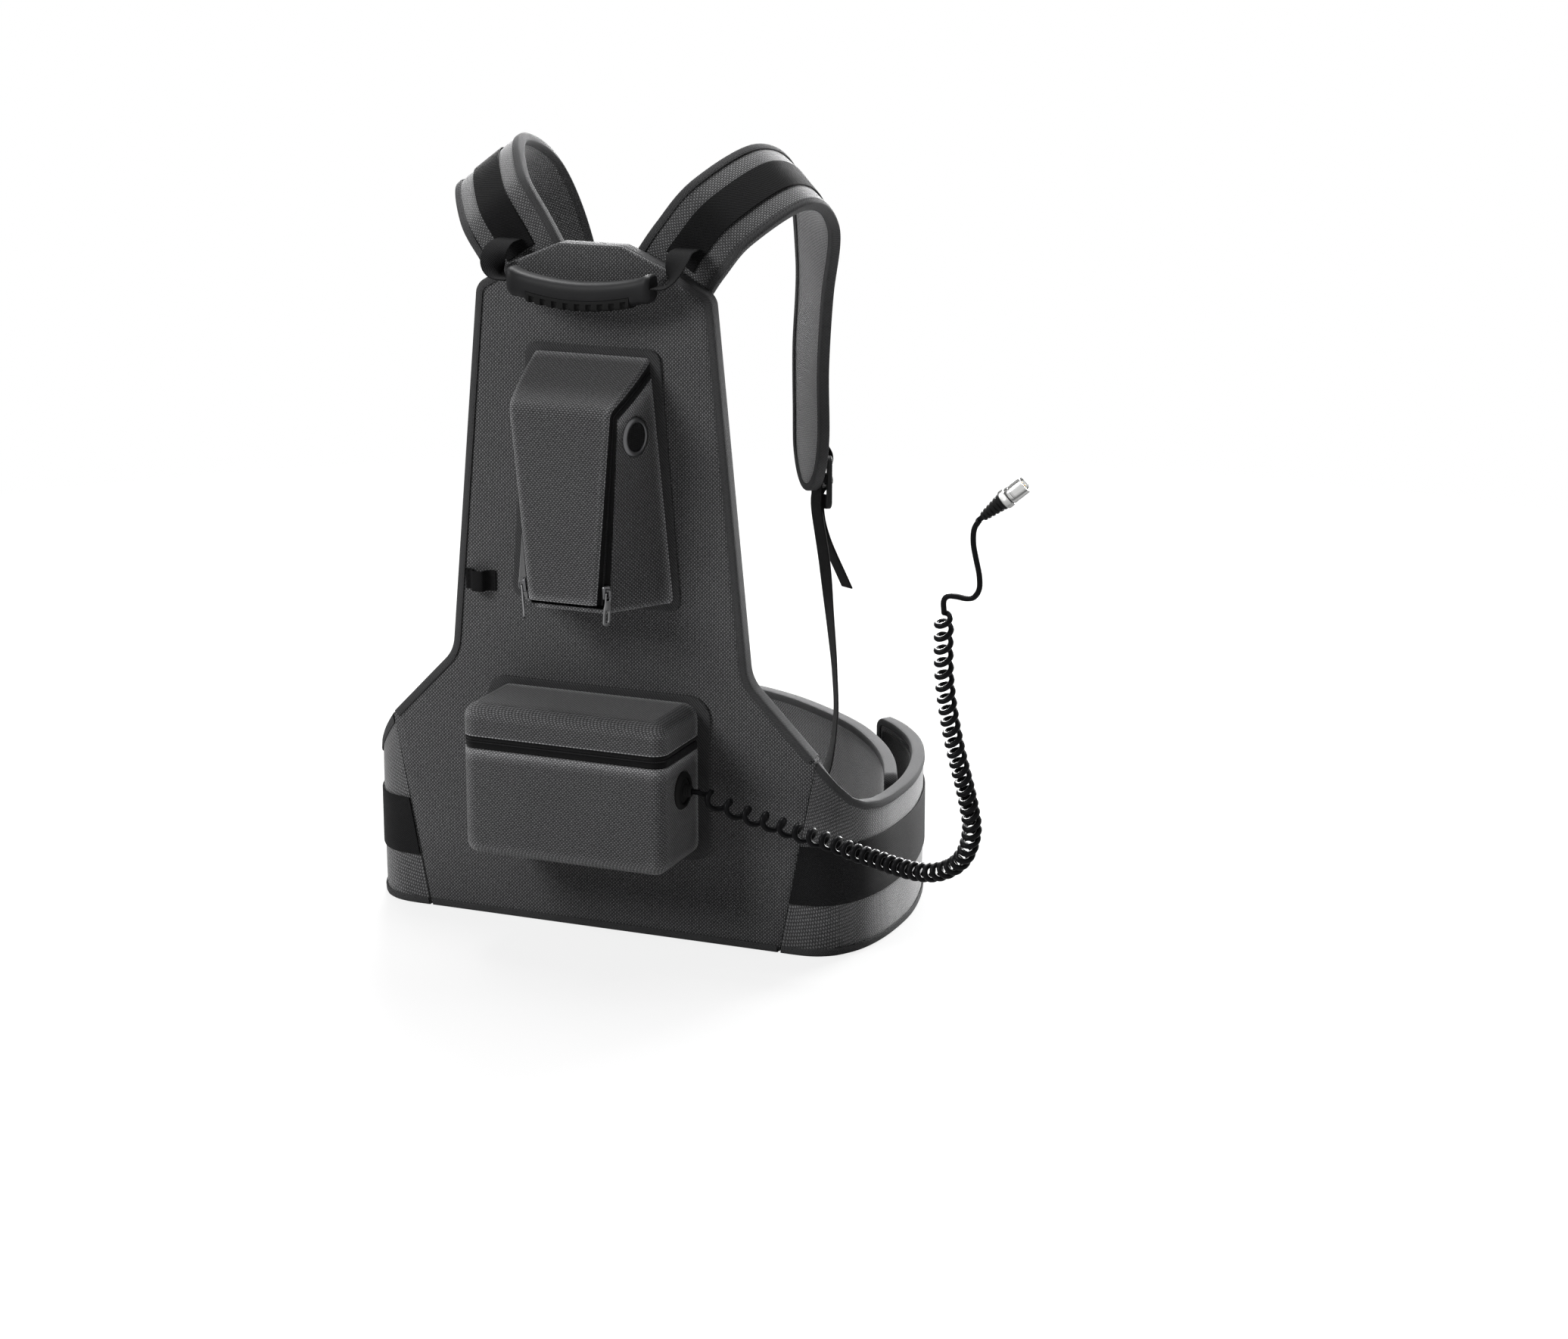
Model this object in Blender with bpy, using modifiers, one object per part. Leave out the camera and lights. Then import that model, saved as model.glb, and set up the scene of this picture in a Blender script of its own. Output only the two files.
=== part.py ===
"""Backpack harness that carries a battery pouch and a power-pack pouch, with a curly supply cord.

Metres, +Z up, +X to the right as seen from behind the wearer, +Y towards the wearer's front.
Everything is drawn from the back panel's outer face (y = 0) and then moved as a whole, so that the
origin lies under the middle of the harness, on the floor.
"""

from math import cos, hypot, pi, radians, sin, sqrt

import bmesh
import bpy
from mathutils import Matrix, Vector

GAP = 0.0003               # clearance between pieces that touch
SEAM_GAP = 0.0009          # clearance between the panel and a belt wing, which bends there

# Back panel
PANEL_THICK = 0.012
FOOT_HALF = 0.1586         # half width of the bottom edge, seam to centre
SEAM_TOP_HALF = 0.1897
SEAM_TOP_Z = 0.1657
WAIST_HALF = 0.1314
WAIST_Z = 0.2253
WAIST_RADIUS = 0.030
SHOULDER_HALF = 0.1021
SHOULDER_Z = 0.5310
SHOULDER_RADIUS = 0.014
NOTCH_HALF = 0.0640
NOTCH_Z = 0.5530
CREST_HALF = 0.0270
CREST_Z = 0.5680

# Collar in front of the panel's top
COLLAR_THICK = 0.0040
COLLAR_TIP_HALF = 0.0690
COLLAR_TIP_Z = 0.5500
COLLAR_FOOT_HALF = 0.0480
COLLAR_FOOT_Z = 0.5280

# Edge tape
TAPE_THICK = 0.0008
TAPE_WIDTH = 0.0065
SEAM_TRIM = 0.0020         # how far the tapes stop from a slanted seam

# Belt wings
WING_THICK = 0.0090
WING_HEIGHT = 0.1200
WING_TIP_RADIUS = 0.0100
HINGE_HALF = 0.1740        # the upright line in its outer face that a wing bends about
BAND_LOW = 0.0435
BAND_HEIGHT = 0.0490
BAND_THICK = 0.0015
BAND_STOP = 0.0240         # from the right-hand band's end to the wing's tip
PATCH_THICK = 0.0014
PATCH_MARGIN = 0.0110
HOOK_LENGTH = 0.1180
LOOP_LENGTH = 0.1350

# Shoulder straps
STRAP_WIDTH = 0.0700
STRAP_THICK = 0.0070
STRAP_TIP = 0.0600         # length over which the lower end narrows
STRAP_WEB_WIDTH = 0.0280
STRAP_WEB_START = 0.0730   # how far up the strap its webbing starts
WEB_THICK = 0.0013
ADJUST_WIDTH = 0.0250

# Ladder lock
LOCK_WIDTH = 0.0380
LOCK_LENGTH = 0.0450
LOCK_THICK = 0.0042
LOCK_LIFT = 0.0037         # from the strap's binding to the lock, for two layers of webbing
LOCK_RAIL = 0.0040
LOCK_UP = 0.0080           # how far its middle lies above the strap's tip
BAR_RIDGE = 0.0012
RIDGE_DOWN = 0.0135        # from the lock's middle to the ridge

# Carry handle
HANDLE_HALF = 0.0620
HANDLE_HEIGHT = 0.0220
HANDLE_DEPTH = 0.0190
HANDLE_SAG = 0.0070
HANDLE_Y = -0.0200
HANDLE_END_Z = 0.5370
INSERT_HALF = 0.0420
INSERT_RIBS = 10
HANDLE_AXIS_Y = 0.0140
HANDLE_AXIS_Z = 0.5660
HANDLE_WEB_WIDTH = 0.0260

# Upper pouch
UPPER_DEPTH = 0.0660       # from the panel to the front face
UPPER_TOP_Z = 0.4810
UPPER_BEND_Z = 0.4490
UPPER_BOTTOM_Z = 0.2840
UPPER_FRONT_BOTTOM_Z = 0.2930
UPPER_TOP_HALF = 0.0500
UPPER_BASE_HALF = 0.0695
UPPER_BEND_HALF = 0.0430
UPPER_FRONT_HALF = 0.0275
UPPER_BEND_RADIUS = 0.0120
UPPER_WALL = 0.0030
UPPER_ZIP = 0.0105
FLAP_THICK = 0.0030
FLANGE_THICK = 0.0024
UPPER_FLANGE_TOP_HALF = 0.0584
UPPER_FLANGE_TOP_Z = 0.4870
UPPER_FLANGE_BASE_HALF = 0.0750
UPPER_FLANGE_BASE_Z = 0.2770
EYELET_RADIUS = 0.0160
EYELET_BORE = 0.0113
EYELET_Z = 0.4230
EYELET_Y = -0.0300
EYELET_STAND = 0.0018
POWER_WIDTH = 0.0560
POWER_DEPTH = 0.0360
POWER_HEIGHT = 0.1300

# Lower pouch
LOWER_HALF = 0.0890
LOWER_DEPTH = 0.0730
LOWER_BOTTOM_Z = 0.0760
LOWER_TOP_Z = 0.2030
LOWER_RADIUS = 0.0120
LOWER_WALL = 0.0030
LOWER_ZIP_Z = 0.1718       # middle of the zip
LOWER_ZIP = 0.0100
LOWER_FLANGE_HALF = 0.0997
LOWER_FLANGE_TOP_Z = 0.2087
LOWER_FLANGE_BOTTOM_Z = 0.0699
LOWER_FLANGE_RADIUS = 0.0180
GLAND_Y = -0.0350
GLAND_Z = 0.1400
GLAND_RADIUS = 0.0155
GLAND_BORE = 0.0110
GLAND_STAND = 0.0030
BATTERY_WIDTH = 0.1510
BATTERY_DEPTH = 0.0560
BATTERY_HEIGHT = 0.0760
TERMINAL_HEIGHT = 0.0050

# Zip sliders and pulls
SLIDER_LENGTH = 0.0110
SLIDER_WIDTH = 0.0080
SLIDER_THICK = 0.0026
BRIDGE_HEIGHT = 0.0030
SLIDER_LIFT = 0.00045      # extra clearance where the zip's face turns along the slider's run
PULL_LENGTH = 0.0270
PULL_WIDTH = 0.0080
PULL_WIRE = 0.0013

# Keeper loop
KEEPER_X = -0.1035
KEEPER_Z = 0.2880
KEEPER_SPAN = 0.0190
KEEPER_WIDTH = 0.0170
KEEPER_RISE = 0.0075

# Curly cord and connector
CORD_DIAMETER = 0.0045
CURL_DIAMETER = 0.0160
BOOT_LENGTH = 0.0200
BOOT_SMALL = 0.0034
BOOT_LARGE = 0.0066
RING_LENGTH = 0.0060
RING_RADIUS = 0.0077
SHELL_LENGTH = 0.0150
SHELL_RADIUS = 0.0071
SHELL_BORE = 0.0058

# Right-hand wing seen from above: its outer face, from the seam round to the tip
RIGHT_WING_PLAN = [
    (0.1586, 0.000), (0.171, 0.000), (0.184, 0.001), (0.195, 0.005), (0.206, 0.014), (0.217, 0.033),
    (0.2235, 0.060), (0.226, 0.092), (0.225, 0.130), (0.218, 0.170), (0.207, 0.207), (0.191, 0.241),
    (0.170, 0.270),
    (0.154, 0.286), (0.139, 0.297),
]
# Left-hand wing: the same side, then round the front, inside the right-hand wing
LEFT_WING_PLAN = [
    (-0.1586, 0.000), (-0.171, 0.000), (-0.184, 0.001), (-0.195, 0.005), (-0.206, 0.014), (-0.217, 0.033),
    (-0.2235, 0.060), (-0.226, 0.092), (-0.225, 0.130), (-0.218, 0.170), (-0.207, 0.207), (-0.189, 0.243),
    (-0.160, 0.280),
    (-0.122, 0.312), (-0.072, 0.337), (-0.015, 0.347), (0.040, 0.328), (0.092, 0.294), (0.128, 0.264),
    (0.155, 0.233), (0.178, 0.200), (0.196, 0.166), (0.2115, 0.128),
]
# Right-hand strap: middle line, and the bearing and dip of its width
STRAP_ROUTE = [
    (0.046, 0.0180, 0.520, 0, -27), (0.060, 0.0182, 0.5415, 0, -28), (0.076, 0.0202, 0.565, -4, -34),
    (0.099, 0.0300, 0.594, -8, -40), (0.127, 0.083, 0.6165, -14, -38), (0.128, 0.148, 0.590, -28, -36),
    (0.117, 0.180, 0.524, -47, -18),
    (0.110, 0.1895, 0.455, -49, -4), (0.111, 0.188, 0.402, -49, 0), (0.1125, 0.184, 0.3725, -49, 0),
    (0.114, 0.180, 0.343, -49, 0),
]
# Right-hand adjusting webbing from its anchor up to the lock, with the bearing of its width
ADJUST_ROUTE = [
    (0.156, 0.0130, 0.082, 0), (0.158, 0.0131, 0.092, 0), (0.161, 0.0146, 0.102, -3),
    (0.170, 0.0250, 0.122, -26),
    (0.184, 0.0500, 0.150, -56), (0.184, 0.0740, 0.180, -58), (0.172, 0.1030, 0.212, -56),
    (0.152, 0.1360, 0.248, -53), (0.135, 0.1620, 0.285, -50),
]
# The same webbing in the lock, as (down the strap, out from the strap), round the middle bar and out below
LOCK_WEB_PATH = [
    (0.0240, 0.00095), (0.0120, 0.00095), (0.0040, 0.00095), (-0.0020, 0.00115), (-0.0056, 0.0030),
    (-0.0066, 0.0058), (-0.0056, 0.0090), (-0.0020, 0.0103), (0.0018, 0.0098), (0.0045, 0.0076),
    (0.0062, 0.0046), (0.0086, 0.0027), (0.0130, 0.00255), (0.0225, 0.0026), (0.0340, 0.0044),
    (0.0480, 0.0088), (0.0620, 0.0150), (0.0760, 0.0218), (0.0900, 0.0285),
]
# End of the strap's own webbing, round the lock's top bar and back on itself
STRAP_WEB_END = [
    (-0.0400, 0.00095), (-0.0280, 0.00095), (-0.0180, 0.00120), (-0.0144, 0.0029), (-0.0134, 0.0060),
    (-0.0146, 0.0088), (-0.0190, 0.0099), (-0.0245, 0.0090), (-0.0320, 0.0048), (-0.0400, 0.0026),
    (-0.0460, 0.0026),
]
# Handle webbing from the strap down to the handle's end: place, width direction and width
HANDLE_WEB_ROUTE = [
    (0.0790, 0.0154, 0.5662, 0, 0, 1.00), (0.0796, 0.0070, 0.5660, 0, 0, 1.00),
    (0.0812, -0.0020, 0.5640, -4, 0, 1.00), (0.0835, -0.0100, 0.5595, -16, 0, 1.00),
    (0.0842, -0.0168, 0.5520, -36, 0, 0.96), (0.0812, -0.0195, 0.5440, -60, 0, 0.86),
    (0.0735, -0.0200, 0.5388, -80, 0, 0.74), (0.0624, -0.0200, 0.5370, -90, 0, 0.64),
]
# Curly cord: middle line in the upright plane through the gland, as (x, z)
CURL_ROUTE = [
    (0.0981, 0.1400), (0.1045, 0.1397), (0.1190, 0.1335), (0.1430, 0.1265), (0.1680, 0.1215),
    (0.1930, 0.1160),
    (0.2150, 0.1120), (0.2360, 0.1065), (0.2560, 0.1025), (0.2750, 0.0985), (0.2940, 0.0970),
    (0.3090, 0.1000), (0.3220, 0.1080), (0.3300, 0.1200), (0.3335, 0.1380), (0.3310, 0.1550),
    (0.3270, 0.1720), (0.3220, 0.1900), (0.3170, 0.2100), (0.3125, 0.2330), (0.3095, 0.2560),
    (0.3085, 0.2780), (0.3085, 0.2960), (0.3085, 0.3080),
]
# Distance from curl to curl at equal steps along that line
CURL_PITCH = [
    0.0190, 0.0180, 0.0165, 0.0155, 0.0140, 0.0120, 0.0098, 0.0078, 0.0068, 0.0066, 0.0066, 0.0066,
    0.0068, 0.0070, 0.0073, 0.0078, 0.0083, 0.0088, 0.0093, 0.0098, 0.0102, 0.0106,
]
# Tail of the cord after the curls, up to the boot
TAIL_ROUTE = [
    (0.3085, 0.3080), (0.3080, 0.3160), (0.3110, 0.3205), (0.3180, 0.3210), (0.3260, 0.3202),
    (0.3325, 0.3220), (0.3365, 0.3290), (0.3362, 0.3400), (0.3335, 0.3520), (0.3312, 0.3640),
    (0.3318, 0.3750), (0.3365, 0.3830),
]
CONNECTOR_START = (0.3385, 0.3848)
CONNECTOR_DIRECTION = (0.75, 0.10, 0.65)

TAPE_OUT = TAPE_THICK + GAP
ORIGIN_Y = 0.5 * (0.3490 - LOWER_DEPTH)   # middle of the harness, front to back


def clear_scene():
    for old in list(bpy.data.objects):
        bpy.data.objects.remove(old, do_unlink=True)


clear_scene()
parts = bpy.data.collections.new("backpack_harness")
cutters = bpy.data.collections.new("cutters")
for made in (parts, cutters):
    bpy.context.scene.collection.children.link(made)
cutters.hide_render = True
root = bpy.data.objects.new("harness_origin", None)
root.location = (0, -ORIGIN_Y, 0)
parts.objects.link(root)


def principled(name, color, roughness, metallic=0.0):
    made = bpy.data.materials.new(name)
    made.use_nodes = True
    shader = made.node_tree.nodes["Principled BSDF"]
    shader.inputs["Base Color"].default_value = (*color, 1)
    shader.inputs["Roughness"].default_value = roughness
    shader.inputs["Metallic"].default_value = metallic
    return made


CANVAS = principled("grey_canvas", (0.085, 0.085, 0.088), 0.85)
TAPE = principled("edge_tape", (0.060, 0.060, 0.062), 0.80)
WEBBING = principled("black_webbing", (0.018, 0.018, 0.019), 0.75)
MESH = principled("grey_mesh", (0.120, 0.120, 0.125), 0.85)
PLASTIC = principled("black_plastic", (0.020, 0.020, 0.021), 0.40)
SOFT = principled("soft_black", (0.012, 0.012, 0.012), 0.65)
STEEL = principled("bright_steel", (0.62, 0.62, 0.62), 0.25, 1.0)
SATIN = principled("satin_grey", (0.22, 0.22, 0.23), 0.35, 0.8)
CORD = principled("black_cord", (0.012, 0.012, 0.013), 0.30)
BATTERY = principled("battery_case", (0.030, 0.032, 0.036), 0.50)


def keep(name, mesh, material, pivot=None):
    """One named sub-part, with its origin at its pivot where it moves."""
    made = bpy.data.objects.new(name, mesh)
    mesh.name = name
    if material:
        mesh.materials.clear()
        mesh.materials.append(material)
    if pivot:
        mesh.transform(Matrix.Translation(-Vector(pivot)))
        made.location = pivot
    made.parent = root
    parts.objects.link(made)
    return made


def shade(made, degrees=35):
    made.data.shade_smooth()
    made.data.set_sharp_from_angle(angle=radians(degrees))
    return made


def make_cutter(made):
    parts.objects.unlink(made)
    cutters.objects.link(made)
    made.hide_render = True
    made.display_type = "WIRE"
    return made


def boolean(target, other, operation="DIFFERENCE"):
    modifier = target.modifiers.new(other.name, "BOOLEAN")
    modifier.operation = operation
    modifier.object = make_cutter(other)


def loft_mesh(name, rings, split=False):
    mesh = bpy.data.meshes.new(name)
    bm = bmesh.new()
    rows = [[bm.verts.new(point) for point in ring] for ring in rings]
    count = len(rows[0])
    for low, high in zip(rows, rows[1:]):
        for i in range(count):
            j = (i + 1) % count
            bm.faces.new((low[i], low[j], high[j], high[i]))
    bm.faces.new(rows[0][::-1])
    bm.faces.new(rows[-1])
    bmesh.ops.recalc_face_normals(bm, faces=bm.faces)
    if split:
        bmesh.ops.triangulate(bm, faces=bm.faces)
    bm.to_mesh(mesh)
    bm.free()
    return mesh


def loft(name, rings, material, pivot=None, split=False):
    return shade(keep(name, loft_mesh(name, rings, split), material, pivot))


def plate(name, outlines, low_y, high_y, material, pivot=None):
    """A flat sheet upright in x and z: the first outline is its edge, the others its holes."""
    curve = bpy.data.curves.new(name, "CURVE")
    curve.dimensions = "2D"
    curve.fill_mode = "BOTH"
    curve.extrude = (high_y - low_y) / 2
    for outline in outlines:
        spline = curve.splines.new("POLY")
        spline.points.add(len(outline) - 1)
        for point, (x, z) in zip(spline.points, outline):
            point.co = (x, z, 0, 1)
        spline.use_cyclic_u = True
    drawn = bpy.data.objects.new(name, curve)
    drawn.rotation_euler = (pi / 2, 0, 0)
    drawn.location = (0, (low_y + high_y) / 2, 0)
    return keep(name, curve_mesh(drawn), material, pivot)


def curve_mesh(drawn):
    """The closed mesh of a drawn curve, in the panel's frame; the curve itself is removed."""
    parts.objects.link(drawn)
    bpy.context.view_layer.update()
    graph = bpy.context.evaluated_depsgraph_get()
    mesh = bpy.data.meshes.new_from_object(drawn.evaluated_get(graph))
    mesh.transform(drawn.matrix_world)
    bm = bmesh.new()
    bm.from_mesh(mesh)
    bmesh.ops.remove_doubles(bm, verts=bm.verts, dist=1e-6)
    bmesh.ops.recalc_face_normals(bm, faces=bm.faces)
    bm.to_mesh(mesh)
    bm.free()
    bpy.data.objects.remove(drawn)
    return mesh


def tube(name, points, radius, material, resolution=1, cyclic=False, pivot=None):
    curve = bpy.data.curves.new(name, "CURVE")
    curve.dimensions = "3D"
    curve.bevel_depth = radius
    curve.bevel_resolution = resolution
    curve.use_fill_caps = not cyclic
    spline = curve.splines.new("POLY")
    spline.points.add(len(points) - 1)
    for point, place in zip(spline.points, points):
        point.co = (*place, 1)
    spline.use_cyclic_u = cyclic
    return shade(keep(name, curve_mesh(bpy.data.objects.new(name, curve)), material, pivot))


def turned(name, profile, material, start, direction, steps=24):
    """A turned piece: profile as (radius, height), top to bottom, along direction from start."""
    mesh = bpy.data.meshes.new(name)
    mesh.from_pydata([(r, 0, h) for r, h in profile], [(i, i + 1) for i in range(len(profile) - 1)], [])
    made = keep(name, mesh, material)
    made.location = start
    made.rotation_euler = Vector(direction).to_track_quat("Z", "Y").to_euler()
    screw = made.modifiers.new("Turn", "SCREW")
    screw.steps = steps
    screw.render_steps = steps
    screw.use_merge_vertices = True
    screw.merge_threshold = 0.00001
    screw.use_smooth_shade = True
    return made


def block(name, low, high, material, bevel=0.0, segments=2, pivot=None):
    low, high = Vector(low), Vector(high)
    mesh = bpy.data.meshes.new(name)
    bm = bmesh.new()
    bmesh.ops.create_cube(bm, size=1)
    bmesh.ops.scale(bm, vec=high - low, verts=bm.verts)
    bmesh.ops.translate(bm, vec=(low + high) / 2, verts=bm.verts)
    if bevel:
        bmesh.ops.bevel(bm, geom=bm.edges, offset=bevel, segments=segments, profile=0.5, affect="EDGES")
    bm.to_mesh(mesh)
    bm.free()
    return keep(name, mesh, material, pivot)


def smooth_line(points, count):
    """Even steps along a smooth line through hand-chosen points; extra values ride along."""
    points = [tuple(p) for p in points]
    first = tuple(2 * a - b for a, b in zip(points[0], points[1]))
    last = tuple(2 * a - b for a, b in zip(points[-1], points[-2]))
    padded = [first, *points, last]
    fine = []
    for i in range(len(points) - 1):
        p0, p1, p2, p3 = padded[i : i + 4]
        for k in range(24):
            u = k / 24
            fine.append(tuple(
                0.5 * (
                    2 * b + (c - a) * u
                    + (2 * a - 5 * b + 4 * c - d) * u**2
                    + (3 * b - a - 3 * c + d) * u**3
                )
                for a, b, c, d in zip(p0, p1, p2, p3)
            ))
    fine.append(points[-1])
    size = min(3, len(points[0]))
    run = [0.0]
    for a, b in zip(fine, fine[1:]):
        run.append(run[-1] + sqrt(sum((q - p) ** 2 for p, q in zip(a[:size], b[:size]))))
    out = []
    k = 0
    for i in range(count):
        want = run[-1] * i / (count - 1)
        while k < len(run) - 2 and run[k + 1] < want:
            k += 1
        u = (want - run[k]) / (run[k + 1] - run[k])
        out.append(tuple(a + (b - a) * u for a, b in zip(fine[k], fine[k + 1])))
    return out, run[-1]


def tangents(points):
    ends = [points[0], *points, points[-1]]
    return [(Vector(b) - Vector(a)).normalized() for a, b in zip(ends, ends[2:])]


def round_corners(corners, steps=4):
    """An outline with each corner (x, z, radius) turned into an arc."""
    out = []
    count = len(corners)
    for i, (x, z, radius) in enumerate(corners):
        here = Vector((x, z))
        if not radius:
            out.append((x, z))
            continue
        back = (Vector(corners[i - 1][:2]) - here).normalized()
        on = (Vector(corners[(i + 1) % count][:2]) - here).normalized()
        half = back.angle(on) / 2
        reach = radius / sin(half)
        middle = here + (back + on).normalized() * reach
        tip = radius / (sin(half) / cos(half))
        start = here + back * tip - middle
        end = here + on * tip - middle
        turn = start.angle(end)
        sign = 1 if start.x * end.y - start.y * end.x > 0 else -1
        for k in range(steps + 1):
            a = sign * turn * k / steps
            out.append((middle.x + start.x * cos(a) - start.y * sin(a),
                middle.y + start.x * sin(a) + start.y * cos(a)))
    return out


def inset(corners, amounts):
    """Corners of an anticlockwise outline with each edge moved inwards by its own amount."""
    count = len(corners)
    lines = []
    for i in range(count):
        a, b = Vector(corners[i][:2]), Vector(corners[(i + 1) % count][:2])
        along = (b - a).normalized()
        inward = Vector((-along.y, along.x))
        lines.append((a + inward * amounts[i], along))
    out = []
    for i in range(count):
        (p, d), (q, e) = lines[i - 1], lines[i]
        cross = d.x * e.y - d.y * e.x
        t = ((q - p).x * e.y - (q - p).y * e.x) / cross
        spot = p + d * t
        out.append((spot.x, spot.y, corners[i][2]))
    return out


def tape_rings(path, inward, normal, thick, flare=0.0):
    """Folded tape round an edge: at each point of the edge line, a U that opens inwards.

    A flare lifts the edge of the U's inner leg, where the sheet is hollow under it.
    """
    half = thick / 2 + GAP
    outer = half + TAPE_THICK
    rings = []
    for k, (p, i, n) in enumerate(zip(path, inward, normal)):
        lift = flare[k] if flare else 0
        section = [
            (0, -outer), (TAPE_WIDTH, -outer), (TAPE_WIDTH, -half), (TAPE_THICK, -half),
            (TAPE_THICK, half), (TAPE_WIDTH, half + lift), (TAPE_WIDTH, outer + lift), (0, outer),
        ]
        rings.append([Vector(p) + i * a + n * b for a, b in section])
    return rings


def ribbon(name, points, across, outward, width, thick, material, pivot=None, twisted=False):
    """A flat band of even thickness; width may be one size or one for each point.

    On a twisted band both faces are cut along the same diagonals, so that they stay apart.
    """
    widths = width if isinstance(width, list) else [width] * len(points)
    rings = [
        [Vector(p) + a * w / 2 * s + o * thick / 2 * t for s, t in ((1, -1), (-1, -1), (-1, 1), (1, 1))]
        for p, a, o, w in zip(points, across, outward, widths)
    ]
    made = loft(name, rings, material, pivot)
    if twisted:
        bm = bmesh.new()
        bm.from_mesh(made.data)
        bm.verts.ensure_lookup_table()
        quads = [f for f in bm.faces if max(v.index for v in f.verts) - min(v.index for v in f.verts) > 3]
        for face in quads:
            low = min(v.index for v in face.verts) // 4 * 4
            places = sorted(v.index - low for v in face.verts)
            ends = {(0, 1, 4, 5): (0, 5), (2, 3, 6, 7): (3, 6)}.get(tuple(places))
            if ends:
                bmesh.utils.face_split(face, bm.verts[low + ends[0]], bm.verts[low + ends[1]])
        bm.to_mesh(made.data)
        bm.free()
        shade(made)
    return made


# ---- back panel

PANEL_CORNERS = [
    (FOOT_HALF, 0, 0), (SEAM_TOP_HALF, SEAM_TOP_Z, 0), (WAIST_HALF, WAIST_Z, WAIST_RADIUS),
    (SHOULDER_HALF, SHOULDER_Z, SHOULDER_RADIUS), (NOTCH_HALF, NOTCH_Z, 0.010), (CREST_HALF, CREST_Z, 0.010),
    (-CREST_HALF, CREST_Z, 0.010), (-NOTCH_HALF, NOTCH_Z, 0.010),
    (-SHOULDER_HALF, SHOULDER_Z, SHOULDER_RADIUS),
    (-WAIST_HALF, WAIST_Z, WAIST_RADIUS), (-SEAM_TOP_HALF, SEAM_TOP_Z, 0), (-FOOT_HALF, 0, 0),
]


def seam_x(z):
    return FOOT_HALF + (SEAM_TOP_HALF - FOOT_HALF) * z / SEAM_TOP_Z


def flat_tape(name, line, centre_y, thick):
    """Edge tape along a line in x and z, with the sheet on its left; it stops short of the slanted seams."""
    points = [Vector((x, centre_y, z)) for x, z in line]
    along = tangents(points)
    inward = [Vector((-t.z, 0, t.x)) for t in along]
    rings = tape_rings(points, inward, [Vector((0, 1, 0))] * len(points), thick)
    for ring in rings:
        for v in ring:
            most = seam_x(v.z) - SEAM_TRIM
            if v.z < SEAM_TOP_Z + 0.004:
                v.x = min(max(v.x, -most), most)
    return loft(name, rings, TAPE)


def make_panel():
    amounts = [SEAM_GAP / 2] + [TAPE_OUT] * 9 + [SEAM_GAP / 2] + [TAPE_OUT]
    plate("back_panel", [round_corners(inset(PANEL_CORNERS, amounts))], 0, PANEL_THICK, CANVAS)
    upper = [p for p in round_corners(PANEL_CORNERS) if p[1] > SEAM_TOP_Z + 1e-6]
    slope = (WAIST_Z - SEAM_TOP_Z) / (WAIST_HALF - SEAM_TOP_HALF)
    ends = [(SEAM_TOP_HALF - out, SEAM_TOP_Z - slope * out) for out in (SEAM_TRIM, 0.008, 0.014)]
    upper = [*ends, *upper, *[(-x, z) for x, z in reversed(ends)]]
    flat_tape("panel_binding_upper", upper, PANEL_THICK / 2, PANEL_THICK)
    foot = FOOT_HALF - SEAM_TRIM
    lower = [(-foot + 2 * foot * k / 4, 0) for k in range(5)]
    flat_tape("panel_binding_lower", lower, PANEL_THICK / 2, PANEL_THICK)


def make_collar():
    """Raised pad in front of the panel's top, its lower half behind the handle."""
    high = -TAPE_OUT - GAP - 0.0002
    corners = [
        (COLLAR_FOOT_HALF, COLLAR_FOOT_Z, 0.006), (COLLAR_TIP_HALF, COLLAR_TIP_Z, 0.002),
        (CREST_HALF, CREST_Z, 0.010), (-CREST_HALF, CREST_Z, 0.010),
        (-COLLAR_TIP_HALF, COLLAR_TIP_Z, 0.002), (-COLLAR_FOOT_HALF, COLLAR_FOOT_Z, 0.006),
    ]
    pad = plate("panel_collar", [round_corners(corners)], high - COLLAR_THICK, high, CANVAS)
    bevel = pad.modifiers.new("Edge", "BEVEL")
    bevel.width = 0.0014
    bevel.segments = 2
    bevel.limit_method = "ANGLE"


# ---- belt wings

class Wall:
    """An upright wall along a plan line: its outer face, with places along, up and inwards."""

    def __init__(self, plan, side, count=160):
        self.points, self.length = smooth_line(plan, count)
        self.side = side

    def at(self, s):
        step = self.length / (len(self.points) - 1)
        i = min(max(int(s / step), 0), len(self.points) - 2)
        a, b = Vector(self.points[i]), Vector(self.points[i + 1])
        u = s / step - i
        ends = self.points[max(i - 1, 0)], self.points[min(i + 2, len(self.points) - 1)]
        along = (Vector(ends[1]) - Vector(ends[0])).normalized()
        inward = Vector((-along.y, along.x)) * self.side
        place = a + (b - a) * u
        return Vector((place.x, place.y, 0)), Vector((along.x, along.y, 0)), Vector((inward.x, inward.y, 0))

    def spot(self, s, z, depth):
        place, _, inward = self.at(s)
        return place + inward * depth + Vector((0, 0, z))


TOP_DROP = [(0.000, 0.0457), (0.019, 0.0235), (0.033, 0.0110), (0.047, 0.0050), (0.068, 0.0012), (0.090, 0.0)]


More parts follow.
